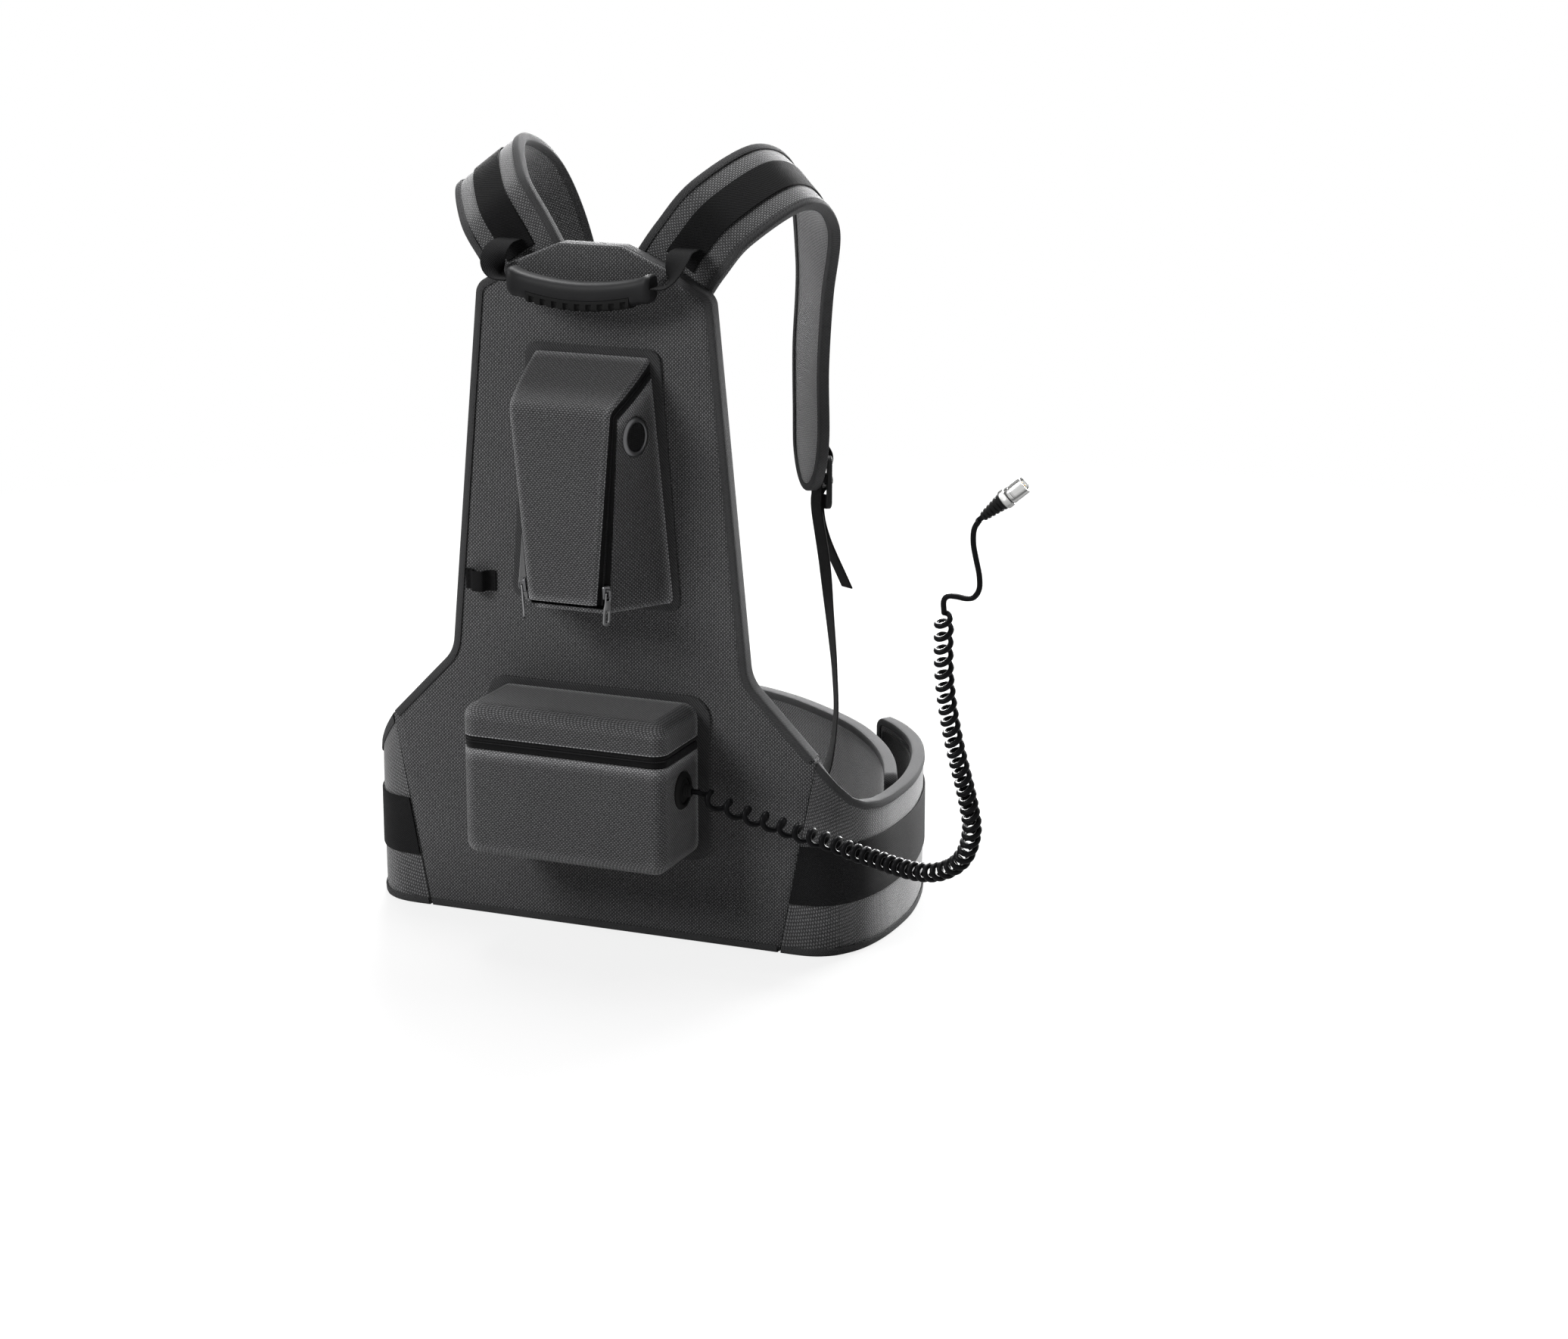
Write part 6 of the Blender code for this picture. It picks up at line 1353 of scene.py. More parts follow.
def makeHandle():
    size = handleSizes
    # along the grip: share of its half length, then of its height and depth
    sections = [(-1.000, 0.74, 0.76), (-0.994, 0.84, 0.86), (-0.980, 0.94, 0.96), (-0.955, 1.01, 1.03),
                (-0.930, 1.04, 1.06), (-0.900, 1.02, 1.04), (-0.860, 0.96, 1.00), (-0.800, 0.945, 0.97),
                (-0.700, 0.94, 0.96), (-0.600, 0.955, 0.965), (-0.500, 0.97, 0.97), (-0.375, 0.985, 0.985),
                (-0.250, 1.00, 1.00), (-0.125, 1.0, 1.0), (0.0, 1.00, 1.00)]
    sections += [(-x, h, d) for x, h, d in reversed(sections[:-1])]
    rings = []
    for share, h, d in sections:
        x = share * size["half"]
        ring = []
        for k in range(40):
            a = 2 * pi * k / 40
            c, s = cos(a), sin(a)
            y = size["depth"] * d / 2 * abs(c) ** 0.62 * (1 if c >= 0 else -1)
            z = size["height"] * h / 2 * abs(s) ** 0.62 * (1 if s >= 0 else -1)
            ring.append(Vector((x, size["y"] + y, size["z"] - handleDrop(x) + z)))
        rings.append(ring)
    grip = helper("grip", loftMesh("grip", rings))
    pocket, insert = [], []
    for k in range(25):
        x = -size["insertHalf"] + 2 * size["insertHalf"] * k / 24
        z = size["z"] - handleDrop(x)
        wide = size["depth"] / 2 + 0.004
        pocket.append([Vector((x, size["y"] + s * wide, z - low)) for s, low in
                       ((-1, size["seat"]), (1, size["seat"]), (1, 0.020), (-1, 0.020))])
    cutter = helper("pocket", loftMesh("pocket", pocket))
    cut = grip.modifiers.new("Pocket", "BOOLEAN")
    cut.operation = "DIFFERENCE"
    cut.object = cutter
    soft = grip.modifiers.new("Soft", "BEVEL")
    soft.width = 0.0005
    soft.segments = 2
    soft.limit_method = "ANGLE"
    soft.angle_limit = radians(50)
    mesh = bakeMesh(grip)
    bpy.data.objects.remove(cutter)
    boxUv(mesh)
    addPiece("handleGrip", mesh, looks["grip"], "handle", ("handle_grip",), 40)
    steps = size["dimples"] * 20
    for k in range(steps + 1):
        x = (-size["insertHalf"] + gap) + 2 * (size["insertHalf"] - gap) * k / steps
        z = size["z"] - handleDrop(x)
        off = (k / 20) % 1 - 0.5
        dent = sqrt(max(1 - (off / 0.24) ** 2, 0))
        low = size["height"] / 2 + 0.0008
        wide = size["depth"] / 2 - 0.0004
        face = [(1, low - 0.0064), (1 - 0.20 * dent, low - 0.0058), (1 - 0.26 * dent, low - 0.0034),
                (0.985 - 0.27 * dent, low - 0.0022 - 0.0004 * dent), (0.90 - 0.24 * dent, low - 0.0010 - 0.0008 * dent),
                (0.72 - 0.12 * dent, low - 0.0003 - 0.0009 * dent), (0.45, low - 0.0006 * dent)]
        shape = [(-1, size["seat"] + gap), (1, size["seat"] + gap), *face, (0, low),
                 *[(-a, b) for a, b in reversed(face)]]
        insert.append([Vector((x, size["y"] + wide * a, z - b)) for a, b in shape])
    addPiece("handleInsert", loftMesh("insert", insert), looks["rubber"], "handle", ("handle_insert",), 50)
    for side, word in ((1, "right"), (-1, "left")):
        line, _ = smoothLine(handleWebRoute, 60)
        places = [Vector((side * p[0], p[1], p[2])) for p in line]
        square, outs = squareTo(places, [Vector((cos(radians(p[3])) * side, sin(radians(p[3])), 0)) for p in line])
        web = bandRings(places, square, outs, [size["webWidth"] * p[4] for p in line], strapSizes["webThick"])
        addPiece(f"{word}HandleWebbing", loftMesh("web", web), looks["webbing"], "handle",
                 (f"{word}_handle_webbing",))
    print("handle done")


# upper pouch: flange, side walls with the floor, front flap, zip bands, eyelet

flangeThick = 0.0024
flangeSeam = 0.0052     # from the flange's rim to its stitches
pouchBack = -flangeThick - 2 * gap
upperSizes = {
    "depth": 0.0660, "topZ": 0.4810, "bendZ": 0.4490, "bottomZ": 0.2840, "frontBottomZ": 0.2930, "topHalf": 0.0500,
    "baseHalf": 0.0695, "bendHalf": 0.0430, "frontHalf": 0.0275, "bendRadius": 0.0120, "wall": 0.0030,
    "zip": 0.0105, "flap": 0.0030, "corner": 0.0050, "eyelet": 0.0160, "bore": 0.0113, "eyeletZ": 0.4230,
    "eyeletY": -0.0300, "stand": 0.0018,
    "flangeCorners": mirrored([(0.0750, 0.2770, 0.010), (0.0584, 0.4870, 0.010)]),
}


def makeFlange(name, corners, node):
    rings = []
    for cut, y in ((0.0004, 0), (0.0, 0.0004), (0.0, flangeThick - 0.0010), (0.0003, flangeThick - 0.0004),
                   (0.0009, flangeThick - 0.0001), (0.0016, flangeThick), (0.0060, flangeThick)):
        outline = roundCorners(inset(corners, [cut] * 4), 12)
        rings.append([Vector((x, -gap - y, z)) for x, z in outline])
    mesh = loftMesh(name, rings)
    boxUv(mesh)
    addPiece(name, mesh, looks["flange"], "harness", (node,), 50)
    line = roundCorners(inset(corners, [flangeSeam] * 4), 8)
    seamLines["harness"].append([Vector((x, -gap - flangeThick, z)) for x, z in divided([*line, line[0]], 0.006)])


def upperHalf(y, z):
    size = upperSizes
    front = size["frontHalf"] + (size["bendHalf"] - size["frontHalf"]) * (z - size["frontBottomZ"]) / (
        size["bendZ"] - size["frontBottomZ"])
    base = size["baseHalf"] - (size["baseHalf"] - size["topHalf"]) * (z - size["bottomZ"]) / (
        size["topZ"] - size["bottomZ"])
    share = (-y - flangeThick) / (size["depth"] - flangeThick)
    return base + (front - base) * share


def shellLine(depth):
    # front and sloped top seen from the side, this far inside the outer face
    size = upperSizes
    frontY = -size["depth"] + depth
    slope = (size["topZ"] - size["bendZ"]) / (size["depth"] + pouchBack)
    drop = depth * hypot(1, slope)
    a = Vector((frontY, size["frontBottomZ"]))
    b = Vector((frontY, size["bendZ"] - drop + slope * depth))
    c = Vector((pouchBack, size["topZ"] - drop))
    radius = max(size["bendRadius"] - depth, 0.002)
    back, on = (a - b).normalized(), (c - b).normalized()
    half = back.angle(on) / 2
    middle = b + (back + on).normalized() * radius / sin(half)
    tip = radius * cos(half) / sin(half)
    start = b + back * tip - middle
    turn = start.angle(b + on * tip - middle)
    arc = []
    for k in range(13):
        t = -turn * k / 12
        arc.append(middle + Vector((start.x * cos(t) - start.y * sin(t), start.x * sin(t) + start.y * cos(t))))
    front = [a.lerp(arc[0], k / 26) for k in range(26)]
    slopeLine = [arc[-1].lerp(c, k / 12) for k in range(1, 13)]
    return [*front, *arc, *slopeLine]


def makeFlap():
    size = upperSizes
    thick = size["flap"]
    edge = [(0.0, thick), (0.0001, 0.0022), (0.0005, 0.0014), (0.0012, 0.0007), (0.0022, 0.0002), (0.0036, 0.0),
            (0.0052, 0.0)]
    lines = {d: shellLine(d) for d in {d for _, d in edge}}
    count = len(lines[0.0])
    rings = []
    for k in range(count):
        outer = []
        for cut, d in edge:
            y, z = lines[d][k]
            outer.append(Vector((upperHalf(y, z) - cut, y, z)))
        y, z = lines[0.0][k]
        flat = upperHalf(y, z) - edge[-1][0]
        right = [v.copy() for v in outer]
        middle = [Vector((flat * (1 - 2 * j / 10), y, z)) for j in range(1, 10)]
        left = [Vector((-v.x, v.y, v.z)) for v in reversed(outer)]
        inner = [left[-1].lerp(right[0], j / 10) for j in range(1, 10)]
        rings.append([*right, *middle, *left, *inner])
    hem = [[Vector((v.x * 0.99, v.y + 0.0005 if v.y < lines[thick][0][0] - 0.0005 else v.y, v.z)) for v in rings[0]]]
    rings[0] = [v + Vector((0, 0, 0.0009)) for v in rings[0]]
    mesh = loftMesh("flap", hem + rings)
    addPiece("pouchFlap", mesh, looks["pouch"], "upper_flap", ("upper_pouch_flap",), 60)
    print("flap done")


def makeUpperBody():
    size = upperSizes
    zone = size["flap"] + gap + size["zip"] + gap
    line = shellLine(zone)
    stations = [(y, z) for y, z in reversed(line[26:])]
    wall, low, corner = size["wall"], size["bottomZ"], size["corner"]
    rings = []
    for y, top in stations:
        def side(cut):
            radius = max(corner - cut, 0.0015)
            floor = low + cut
            points = []
            for k in range(15):
                z = top + (floor + radius - top) * k / 14
                points.append(Vector((upperHalf(y, z) - cut, y, z)))
            wide = points[-1].x
            for k in range(1, 7):
                a = pi / 2 * k / 6
                points.append(Vector((wide - radius + radius * cos(a), y, floor + radius - radius * sin(a))))
            for k in range(1, 4):
                points.append(Vector(((wide - radius) * (1 - k / 4), y, floor)))
            points.append(Vector((0, y, floor)))
            return points
        outer, inner = [half + [Vector((-v.x, v.y, v.z)) for v in reversed(half[:-1])]
                        for half in (side(0), side(wall))]
        rings.append([*outer, *reversed(inner)])
    mesh = loftMesh("body", rings)
    boxUv(mesh)
    addPiece("pouchBody", mesh, looks["pouch"], "harness", ("upper_pouch_body",), 40)


def makeUpperZip(side, word):
    size = upperSizes
    d0 = size["flap"] + gap
    d1 = d0 + size["zip"]
    section = [(d0, 0.0006), (d0 + 0.0030, 0.0007), (d0 + 0.0035, 0.0004), (d0 + 0.0058, 0.0004),
               (d0 + 0.0062, 0.0009),
               (d0 + 0.0068, 0.0004), (d1 - 0.0004, 0.0003), (d1, 0.0008), (d1, size["wall"]), (d0, size["wall"])]
    lines = {d: shellLine(d) for d in {d for d, _ in section}}
    rings = []
    for k in range(len(lines[d0])):
        ring = []
        for d, take in section:
            y, z = lines[d][k]
            ring.append(Vector((side * (upperHalf(y, z) - take), y, z)))
        rings.append(ring)
    mesh = loftMesh("zip", rings, lambda j: 1 if j in (4, 5, 6) else 0)
    addPiece(f"{word}Zip", mesh, [looks["zipTape"], looks["zipGrey"]], "harness", (f"upper_{word}_zip",), 40)
    row = shellLine(d0 + 0.0046)
    coil = [Vector((side * (upperHalf(y, z) - 0.0004), y, z)) for y, z in row]
    coilLines.append(coil[:-1])


def makeEyelet():
    size = upperSizes
    y, z = size["eyeletY"], size["eyeletZ"]
    x, rise = upperHalf(y, z), 0.005
    normal = Vector((2 * rise, upperHalf(y - rise, z) - upperHalf(y + rise, z),
                     upperHalf(y, z - rise) - upperHalf(y, z + rise))).normalized()
    start = Vector((x, y, z))
    rim, r, bore = size["stand"] + gap, size["eyelet"], size["bore"]
    profile = [(bore, gap), (bore, rim - 0.0008), (bore + 0.0003, rim - 0.0002), (bore + 0.0009, rim),
               (r - 0.0020, rim), (r - 0.0010, rim - 0.0004), (r - 0.0003, 0.0012), (r, 0.0006), (r, gap), (bore, gap)]
    addPiece("eyeletRing", latheMesh("ring", profile, start, normal, 72), looks["satin"], "harness",
             ("eyelet_ring",), 40)
    makeGrille("eyeletGrille", start, normal, bore - gap, "eyelet_mesh")


def makeGrille(name, start, normal, radius, node):
    # a thin dark disc under two crossed layers of wire
    parts = [latheMesh("disc", [(0, 0.00025), (radius, 0.00025), (radius, 0.00005), (0, 0.00005)], start, normal, 48)]
    side = normal.cross(Vector((0, 0, 1))).normalized()
    other = normal.cross(side)
    pitch, wire = 0.0015, 0.00022
    count = int(radius / pitch)
    for k in range(-count, count + 1):
        half = sqrt(max((radius - 0.0003) ** 2 - (k * pitch) ** 2, 0))
        for along, across, lift in ((side, other, 0.00042), (other, side, 0.00075)):
            ends = [start + normal * lift + across * k * pitch + along * half * s for s in (-1, 0, 1)]
            parts.append(wireMesh("wire", ends, wire, 6))
    mesh = joinMeshes(name, parts)
    boxUv(mesh)
    addPiece(name, mesh, looks["plastic"], "harness", (node,), 40)


# lower pouch: one rounded box in three stacked parts, each drawn round the same path

lowerSizes = {
    "half": 0.0890, "depth": 0.0730, "low": 0.0760, "top": 0.2030, "radius": 0.0120, "wall": 0.0030, "zipZ": 0.1718,
    "zip": 0.0100, "glandY": -0.0350, "glandZ": 0.1400, "gland": 0.0155, "bore": 0.0110, "stand": 0.0030,
    "flangeCorners": mirrored([(0.0997, 0.0699, 0.018), (0.0997, 0.2087, 0.018)]),
}


def boxPath(cut, radius):
    # right side, rounded front corners and left side, seen from above
    size = lowerSizes
    half, front = size["half"] - cut, -size["depth"] + cut
    out = [(half, pouchBack + (front + radius - pouchBack) * k / 14) for k in range(14)]
    for k in range(13):
        a = pi / 2 * k / 12
        out.append((half - radius + radius * cos(a), front + radius - radius * sin(a)))
    out += [((half - radius) * (1 - 2 * k / 30), front) for k in range(1, 30)]
    return out + [(-x, y) for x, y in reversed(out[:27])]


def boxLevels(low, high):
    # heights and cuts of the outer form between two levels, with its rounded rims
    size = lowerSizes
    r = size["radius"]
    levels = []
    if low <= size["low"]:
        levels += [(size["low"] + r - r * cos(pi / 2 * k / 9), r - r * sin(pi / 2 * k / 9)) for k in range(10)]
        low = size["low"] + r
    topEnd = size["top"] - r if high >= size["top"] else high
    levels += [(low + (topEnd - low) * k / 14, 0.0) for k in range(15) if k or not levels]
    if high >= size["top"]:
        levels += [(size["top"] - r + r * sin(pi / 2 * k / 9), r - r * cos(pi / 2 * k / 9)) for k in range(1, 10)]
    return levels


def makeBoxShell(name, low, high, cap, body, node):
    size = lowerSizes
    levels = boxLevels(low, high)
    rings = [[Vector((x, y, z)) for x, y in boxPath(cut, size["radius"] - cut + 1e-5)] for z, cut in levels]
    mesh = loftMesh(name, rings, closed=False, caps=False)
    bm = bmesh.new()
    bm.from_mesh(mesh)
    bm.verts.ensure_lookup_table()
    count = len(rings[0])
    layer = bm.loops.layers.uv["metres"]
    row = [bm.verts[k + (0 if cap < 0 else (len(rings) - 1) * count)] for k in range(count)]
    # the flat face is closed in strips from side to side
    strips = [(row[k], row[k + 1], row[count - 2 - k], row[count - 1 - k]) for k in range(count // 2 - 1)]
    if count % 2:
        strips.append((row[count // 2 - 1], row[count // 2], row[count // 2 + 1]))
    for corners in strips:
        for loop in bm.faces.new(corners).loops:
            loop[layer].uv = (loop.vert.co.y, loop.vert.co.x)
    bmesh.ops.recalc_face_normals(bm, faces=bm.faces)
    middle = Vector((0, -0.03, (low + high) / 2))
    facing = sum((f.calc_center_median() - middle).dot(f.normal) * f.calc_area() for f in bm.faces)
    if facing < 0:
        bmesh.ops.reverse_faces(bm, faces=bm.faces)
    bm.to_mesh(mesh)
    bm.free()
    made = helper(name, mesh)
    thick = made.modifiers.new("Wall", "SOLIDIFY")
    thick.thickness = size["wall"]
    thick.offset = -1
    addPiece(name, bakeMesh(made), looks["pouch"], body, (node,), 50)


def makeLowerZip():
    size = lowerSizes
    high, low = size["zipZ"] + size["zip"] / 2, size["zipZ"] - size["zip"] / 2
    section = [(0.0007, high), (0.0001, high - 0.0004), (0.0, high - 0.0012), (0.0002, high - 0.0024),
               (0.0010, high - 0.0032), (0.0016, high - 0.0038), (0.0010, high - 0.0044), (0.0008, high - 0.0060),
               (0.0008, low + 0.0006), (0.0012, low), (size["wall"], low), (size["wall"], high)]
    paths = {cut: boxPath(cut, size["radius"] - cut) for cut in {c for c, _ in section}}
    rings = []
    for k in range(len(paths[0.0])):
        rings.append([Vector((*paths[cut][k], z)) for cut, z in section])
    mesh = loftMesh("zip", rings, lambda j: 1 if j < 4 else 0)
    addPiece("lowerZip", mesh, [looks["zipTape"], looks["plastic"]], "harness", ("lower_zip",), 45)
    coilLines.append([Vector((x, y, high - 0.0042)) for x, y in boxPath(0.0011, size["radius"] - 0.0011)][1:-1])


def makeGland():
    size = lowerSizes
    start, axis = Vector((size["half"] + gap, size["glandY"], size["glandZ"])), Vector((1, 0, 0))
    r, bore, rim = size["gland"], size["bore"], size["stand"]
    profile = [(bore, 0), (bore, rim - 0.0010), (bore + 0.0003, rim - 0.0003), (bore + 0.0010, rim),
               (r - 0.0024, rim), (r - 0.0014, rim - 0.0006), (r - 0.0005, rim - 0.0016), (r, 0.0008), (r, 0),
               (bore, 0)]
    addPiece("glandRing", latheMesh("ring", profile, start, axis, 72), looks["rubber"], "harness",
             ("gland_ring",), 40)
    hole = cordSizes["diameter"] / 2 + gap
    outer = bore - gap
    profile = [(hole, 0.0085), (hole + 0.0009, 0.0087), (hole + 0.0018, 0.0080)]
    for k in range(3):
        h = 0.0068 - 0.0018 * k
        profile += [(hole + 0.0021 + 0.0006 * k, h), (hole + 0.0017 + 0.0006 * k, h - 0.0005)]
    profile += [(outer - 0.0030, 0.0022), (outer - 0.0010, 0.0016), (outer, 0.0008), (outer, -0.0040),
                (hole, -0.0040), (hole, 0.0085)]
    addPiece("glandBush", latheMesh("bush", profile, start, axis, 56), looks["rubber"], "harness",
             ("gland_bush",), 40)


# sliders and pulls

sliderSizes = {
    "length": 0.0110, "width": 0.0080, "thick": 0.0026, "bridge": 0.0035, "bridgeWidth": 0.0020,
    "bridgeThick": 0.0010, "lift": 0.00045, "pull": 0.0270, "pullWidth": 0.0080, "wire": 0.0013,
    "eyeHalf": 0.00195, "eyeLong": 0.0060,
}


def makeSlider(prefix, place, up, out, lift, word, node):
    size = sliderSizes
    up, out = Vector(up).normalized(), Vector(out).normalized()
    side = out.cross(up).normalized()
    out = up.cross(side).normalized()
    base = Vector(place) + out * (gap + lift)
    turn = Matrix.Translation(base) @ Matrix((side, up, out)).transposed().to_4x4()
    halfW, halfL, thick = size["width"] / 2, size["length"] / 2, size["thick"]
    corners = [(halfW * 0.72, -halfL, 0.0012), (halfW, halfL, 0.0018),
               (-halfW, halfL, 0.0018), (-halfW * 0.72, -halfL, 0.0012)]
    rings = []
    for cut, h in ((0.0003, 0), (0, 0.0003), (0, thick - 0.0009), (0.0002, thick - 0.0004),
                   (0.0006, thick - 0.0001), (0.0011, thick)):
        rings.append([turn @ Vector((x, y, h)) for x, y in roundCorners(inset(corners, [cut] * 4), 4)])
    plate = loftMesh("plate", rings)
    top = thick + size["bridge"]
    arch = [(-0.0030, thick - 0.0003), (-0.0029, top - 0.0016), (-0.0024, top - 0.0009), (-0.0014, top - 0.0006),
            (0.0014, top - 0.0006), (0.0024, top - 0.0009), (0.0029, top - 0.0016), (0.0030, thick - 0.0003)]
    fine, _ = smoothLine([(0, y, h) for y, h in arch], 30)
    points = [turn @ Vector(p) for p in fine]
    outs = [side.cross(t).normalized() for t in tangents(points)]
    wide = [size["bridgeWidth"]] * len(points)
    bridge = loftMesh("bridge", bandRings(points, [side] * len(points), outs, wide, size["bridgeThick"]))
    body = joinMeshes("slider", [plate, bridge])
    boxUv(body)
    addPiece(f"{prefix}Slider", body, looks["satin"], f"{word}_slider", (f"{node}_slider",), 45)

    pivot = base + out * (thick + size["wire"] / 2 + gap) - up * 0.0002
    radius = size["pullWidth"] / 2 - size["wire"] / 2
    topHalf = radius * 0.66 + size["wire"] / 2
    long = size["pull"]
    soft = 0.00040
    outer = [(topHalf - soft, 0.00065 - soft, 0.0006), (-topHalf + soft, 0.00065 - soft, 0.0006),
             (-0.0027, -0.0088, 0.0030), (-0.0040 + soft, -0.0125, 0.0030), (-0.0040 + soft, -long + soft, 0.0034),
             (0.0040 - soft, -long + soft, 0.0034), (0.0040 - soft, -0.0125, 0.0030), (0.0027, -0.0088, 0.0030)]
    half, low = size["eyeHalf"], -size["eyeLong"]
    eye = [(half, -0.00065 - soft, 0.0004), (-half, -0.00065 - soft, 0.0004), (-half, low, 0.0010), (half, low, 0.0010)]
    oval = [(0.0018, -0.0135, 0.0017), (-0.0018, -0.0135, 0.0017),
            (-0.0018, -0.0240, 0.0017), (0.0018, -0.0240, 0.0017)]
    mesh = plateMesh("pull", [roundCorners(outline, 6) for outline in (outer, eye, oval)], size["wire"], soft)
    turnTo(mesh, pivot, (side, up, out))
    boxUv(mesh)
    addPiece(f"{prefix}Pull", mesh, looks["darkWire"], f"{word}_pull", (f"{node}_pull",), 45)


def makeSliders():
    size = upperSizes
    for side, word in ((1, "right"), (-1, "left")):
        y = -size["depth"] + size["flap"] + gap + size["zip"] / 2
        low, high = size["frontBottomZ"] + 0.010, size["bendZ"] - 0.020
        place, end = Vector((side * upperHalf(y, low), y, low)), Vector((side * upperHalf(y, high), y, high))
        middle = (low + high) / 2
        across = Vector((side * (upperHalf(y + 0.002, middle) - upperHalf(y - 0.002, middle)), 0.004, 0)).normalized()
        up = (end - place).normalized()
        out = across.cross(up)
        makeSlider(word, place, up, out if out.x * side > 0 else -out, sliderSizes["lift"], word, f"upper_{word}")
    makeSlider("side", (-lowerSizes["half"], -0.020, lowerSizes["zipZ"]), (0, 1, 0), (-1, 0, 0), 0.0, "side", "lower")


# keeper loop on the panel's left

keeperSizes = {"x": -0.1035, "z": 0.2880, "span": 0.0190, "width": 0.0170, "rise": 0.0075, "foot": 0.004,
               "stitchOut": 0.0018, "stitchHalf": 0.0065}


def makeKeeper():
    size = keeperSizes
    thick, foot = strapSizes["webThick"], size["foot"]
    lift, low, high = -gap - thick / 2, size["x"] - size["span"] / 2, size["x"] + size["span"] / 2
    path = [(low - foot, lift), (low + 0.001, lift), (low + foot, lift - 0.0035),
            (size["x"] - 0.004, lift - size["rise"]), (size["x"] + 0.004, lift - size["rise"]),
            (high - foot, lift - 0.0035), (high - 0.001, lift), (high + foot, lift)]
    line, _ = smoothLine([(x, y, size["z"]) for x, y in path], 60)
    points = [Vector(p) for p in line]
    up = Vector((0, 0, 1))
    outs = [up.cross(t).normalized() for t in tangents(points)]
    mesh = loftMesh("loop", bandRings(points, [up] * len(points), outs, [size["width"]] * len(points), thick))
    addPiece("keeperLoop", mesh, looks["webbing"], "harness", ("keeper_loop",), 50)
    tall = size["stitchHalf"]
    for x in (low - size["stitchOut"], high + size["stitchOut"]):
        darkLines["harness"].append([Vector((x, lift - thick / 2, size["z"] + q)) for q in (-tall, 0, tall)])


def dressInside():
    # the pieces inside the pouches keep their shape and take a finer material
    for node, look in (("battery_block", "battery"), ("power_pack", "battery"), ("battery_lead", "cord")):
        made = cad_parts[node]
        made.data.materials.clear()
        made.data.materials.append(looks[look])


coilLines = []
makePanel()
makeCollar()
makeBelt()
for side, word in ((1, "right"), (-1, "left")):
    makeStrap(side, word)
makeHandle()
makeFlange("upperFlange", upperSizes["flangeCorners"], "upper_pouch_flange")
makeUpperBody()
makeFlap()
makeUpperZip(1, "right")
makeUpperZip(-1, "left")
makeEyelet()
makeFlange("lowerFlange", lowerSizes["flangeCorners"], "lower_pouch_flange")
zipLow, zipHigh = lowerSizes["zipZ"] - lowerSizes["zip"] / 2, lowerSizes["zipZ"] + lowerSizes["zip"] / 2
makeBoxShell("lowerBody", lowerSizes["low"], zipLow - gap, -1, "harness", "lower_pouch_body")
makeBoxShell("lowerLid", zipHigh + gap, lowerSizes["top"], 1, "lower_lid", "lower_pouch_lid")
makeLowerZip()
makeGland()
makeSliders()
makeKeeper()
dressInside()
repeatAlong("zipCoils", coilLines, toothTree, {"Spacing": 0.0013, "Length": 0.0009, "Width": 0.0018, "Height": 0.0012},
            "harness")
print("pouches done")


# stitches

stitch = {"Spacing": stitchSizes["spacing"], "Length": stitchSizes["length"],
          "Width": stitchSizes["radius"] * 2, "Height": stitchSizes["radius"] * 2}
for word, rows, tree, slot in (("Stitches", seamLines, stitchTree, "tape"),
                               ("DarkStitches", darkLines, darkStitchTree, "webbing")):
    for body, lines in rows.items():
        lines = [line for line in lines if len(line) > 1]
        if lines:
            repeatAlong(body + word, lines, tree, stitch, body, bends=body.endswith("wing"))
print("stitches done")


# floor, light and backdrop

studio = {
    "floorHalf": 30, "floorZ": -0.0005, "floorColor": (0.50, 0.50, 0.50), "fill": 0.13,
    "fadeOver": 3.0, "fade": [(0.20, 0.82), (0.60, 1.0)],     # how white the floor looks, away from the piece
    "lamps": [     # name, place, aim, width, height, power
        ("key", (-1.5, -2.0, 1.8), (0.0, -0.1, 0.30), 1.0, 1.0, 76),
        ("rightRim", (0.8, 2.5, 0.7), (0.15, 0.0, 0.20), 0.8, 1.4, 280),
        ("leftRim", (-1.1, 2.3, 1.3), (-0.15, 0.0, 0.35), 0.8, 1.4, 300),
        ("top", (-0.2, 0.7, 2.6), (0.0, 0.0, 0.45), 1.6, 1.0, 150),
    ],
}


def makeLamp(name, place, aim, wide, high, power):
    data = bpy.data.lights.new(name, "AREA")
    data.shape = "RECTANGLE"
    data.size, data.size_y = wide, high
    data.energy = power
    lamp = bpy.data.objects.new(name, data)
    lamp.location = place
    lamp.rotation_euler = (Vector(place) - Vector(aim)).to_track_quat("Z", "Y").to_euler()
    bpy.context.scene.collection.objects.link(lamp)


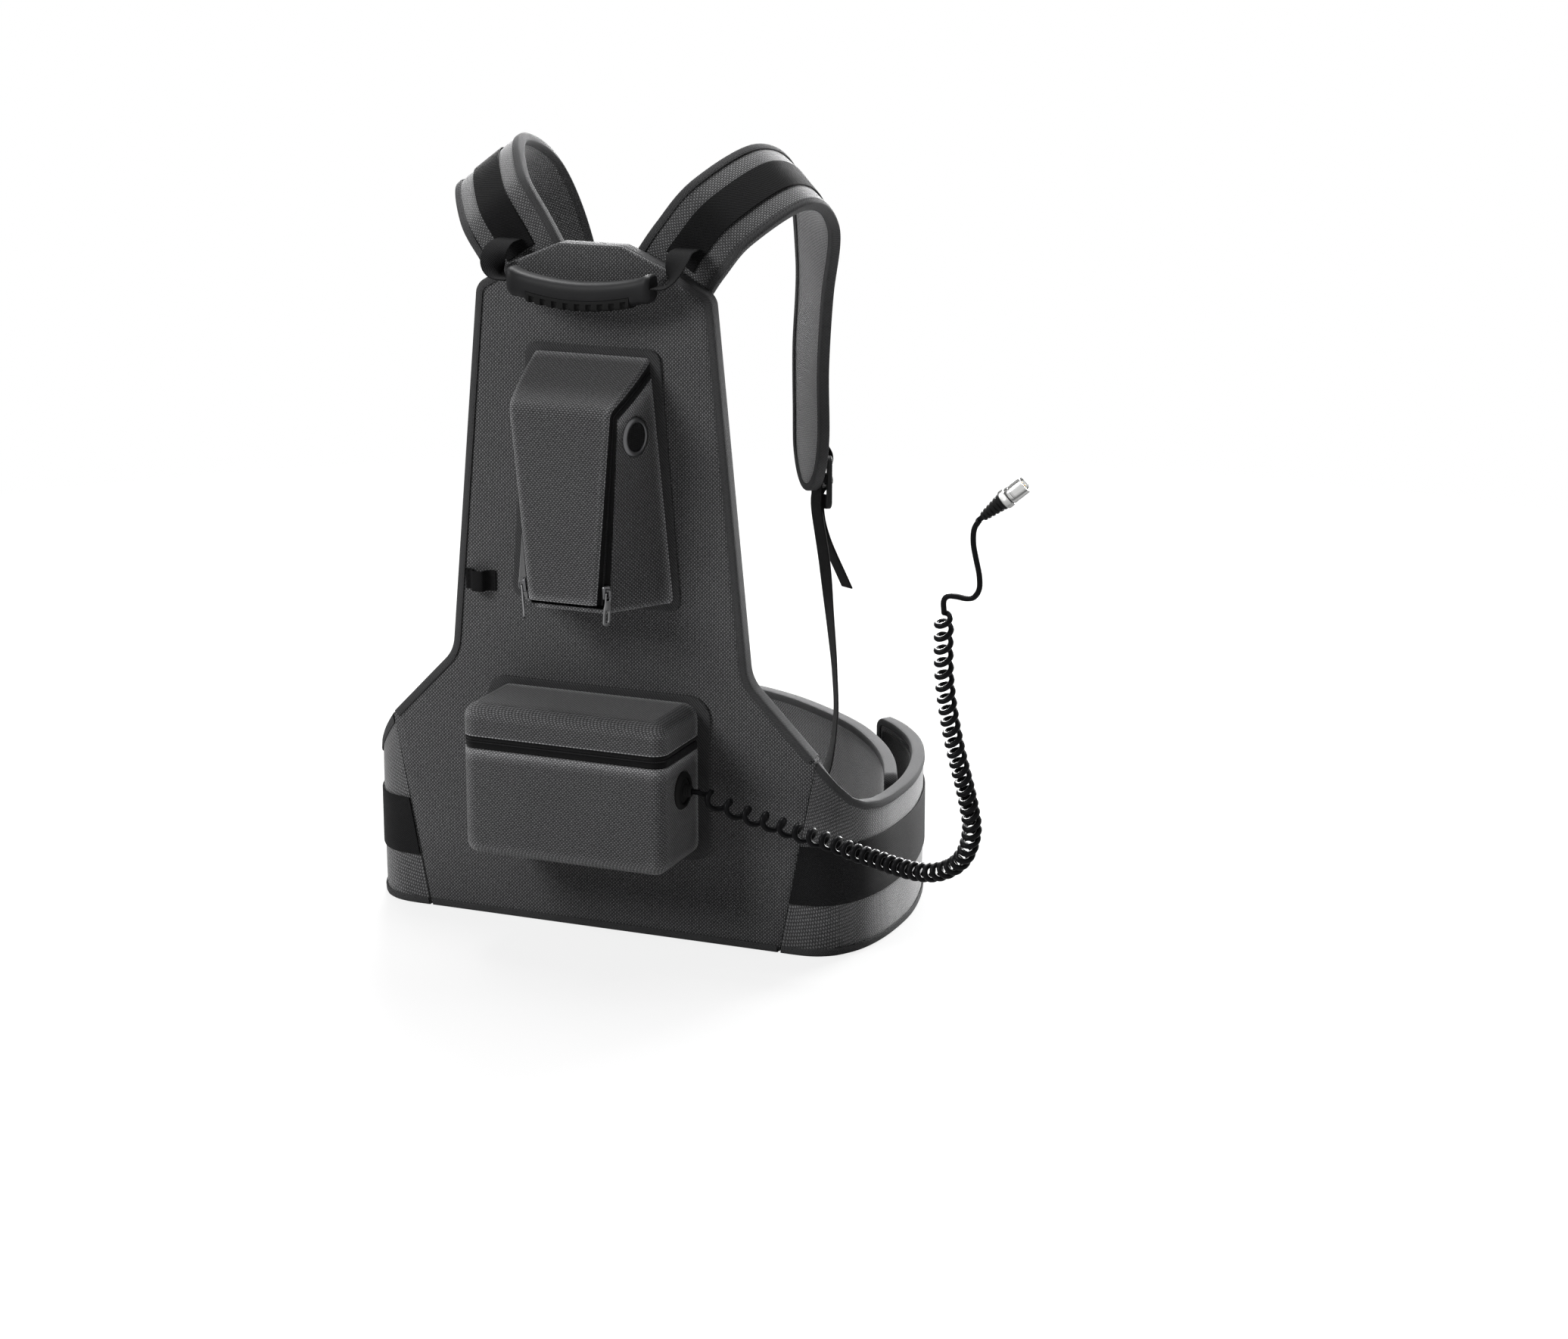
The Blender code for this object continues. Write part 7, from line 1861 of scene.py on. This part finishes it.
def makeStudio():
    scene = bpy.context.scene
    scene.view_settings.view_transform = "Standard"
    world = bpy.data.worlds.new("studio")
    scene.world = world
    world.use_nodes = True
    nodes, links = world.node_tree.nodes, world.node_tree.links
    nodes.clear()
    out, mix = nodes.new("ShaderNodeOutputWorld"), nodes.new("ShaderNodeMixShader")
    seen, fill = nodes.new("ShaderNodeBackground"), nodes.new("ShaderNodeBackground")
    for node, strength in ((seen, 1.0), (fill, studio["fill"])):
        node.inputs["Color"].default_value = (1, 1, 1, 1)
        node.inputs["Strength"].default_value = strength
    path = nodes.new("ShaderNodeLightPath")
    both, more = nodes.new("ShaderNodeMath"), nodes.new("ShaderNodeMath")
    both.operation = more.operation = "MAXIMUM"
    links.new(path.outputs["Is Camera Ray"], both.inputs[0])
    links.new(path.outputs["Is Glossy Ray"], both.inputs[1])
    links.new(both.outputs[0], more.inputs[0])
    links.new(path.outputs["Is Transmission Ray"], more.inputs[1])
    links.new(more.outputs[0], mix.inputs[0])
    links.new(fill.outputs[0], mix.inputs[1])
    links.new(seen.outputs[0], mix.inputs[2])
    links.new(mix.outputs[0], out.inputs[0])

    mesh = bpy.data.meshes.new("floor")
    wide, low = studio["floorHalf"], studio["floorZ"]
    corners = [(-wide, -wide, low), (wide, -wide, low), (wide, wide, low), (-wide, wide, low)]
    mesh.from_pydata(corners, [], [(0, 1, 2, 3)])
    floor = bpy.data.objects.new("floor", mesh)
    scene.collection.objects.link(floor)
    paint = Paint("floorPaper", studio["floorColor"], 0.9, specular=0.0)
    mesh.materials.append(paint.material)
    away = paint.add("ShaderNodeVectorMath", operation="LENGTH")
    paint.put(away.inputs[0], paint.placed())
    share = paint.ramp(paint.math("DIVIDE", away.outputs["Value"], studio["fadeOver"]), studio["fade"])
    path = paint.add("ShaderNodeLightPath").outputs
    seen = paint.math("MAXIMUM", path["Is Camera Ray"], path["Is Glossy Ray"])
    seen = paint.math("MAXIMUM", seen, path["Is Transmission Ray"])
    share = paint.math("MULTIPLY", share, seen)
    glow = paint.add("ShaderNodeEmission")
    glow.inputs["Strength"].default_value = 1.0
    blended = paint.add("ShaderNodeMixShader")
    paint.put(blended.inputs[0], share)
    paint.put(blended.inputs[1], paint.shader.outputs[0])
    paint.put(blended.inputs[2], glow.outputs[0])
    paint.put(paint.tree.nodes["Material Output"].inputs["Surface"], blended.outputs[0])

    for lamp in studio["lamps"]:
        makeLamp(*lamp)


makeStudio()
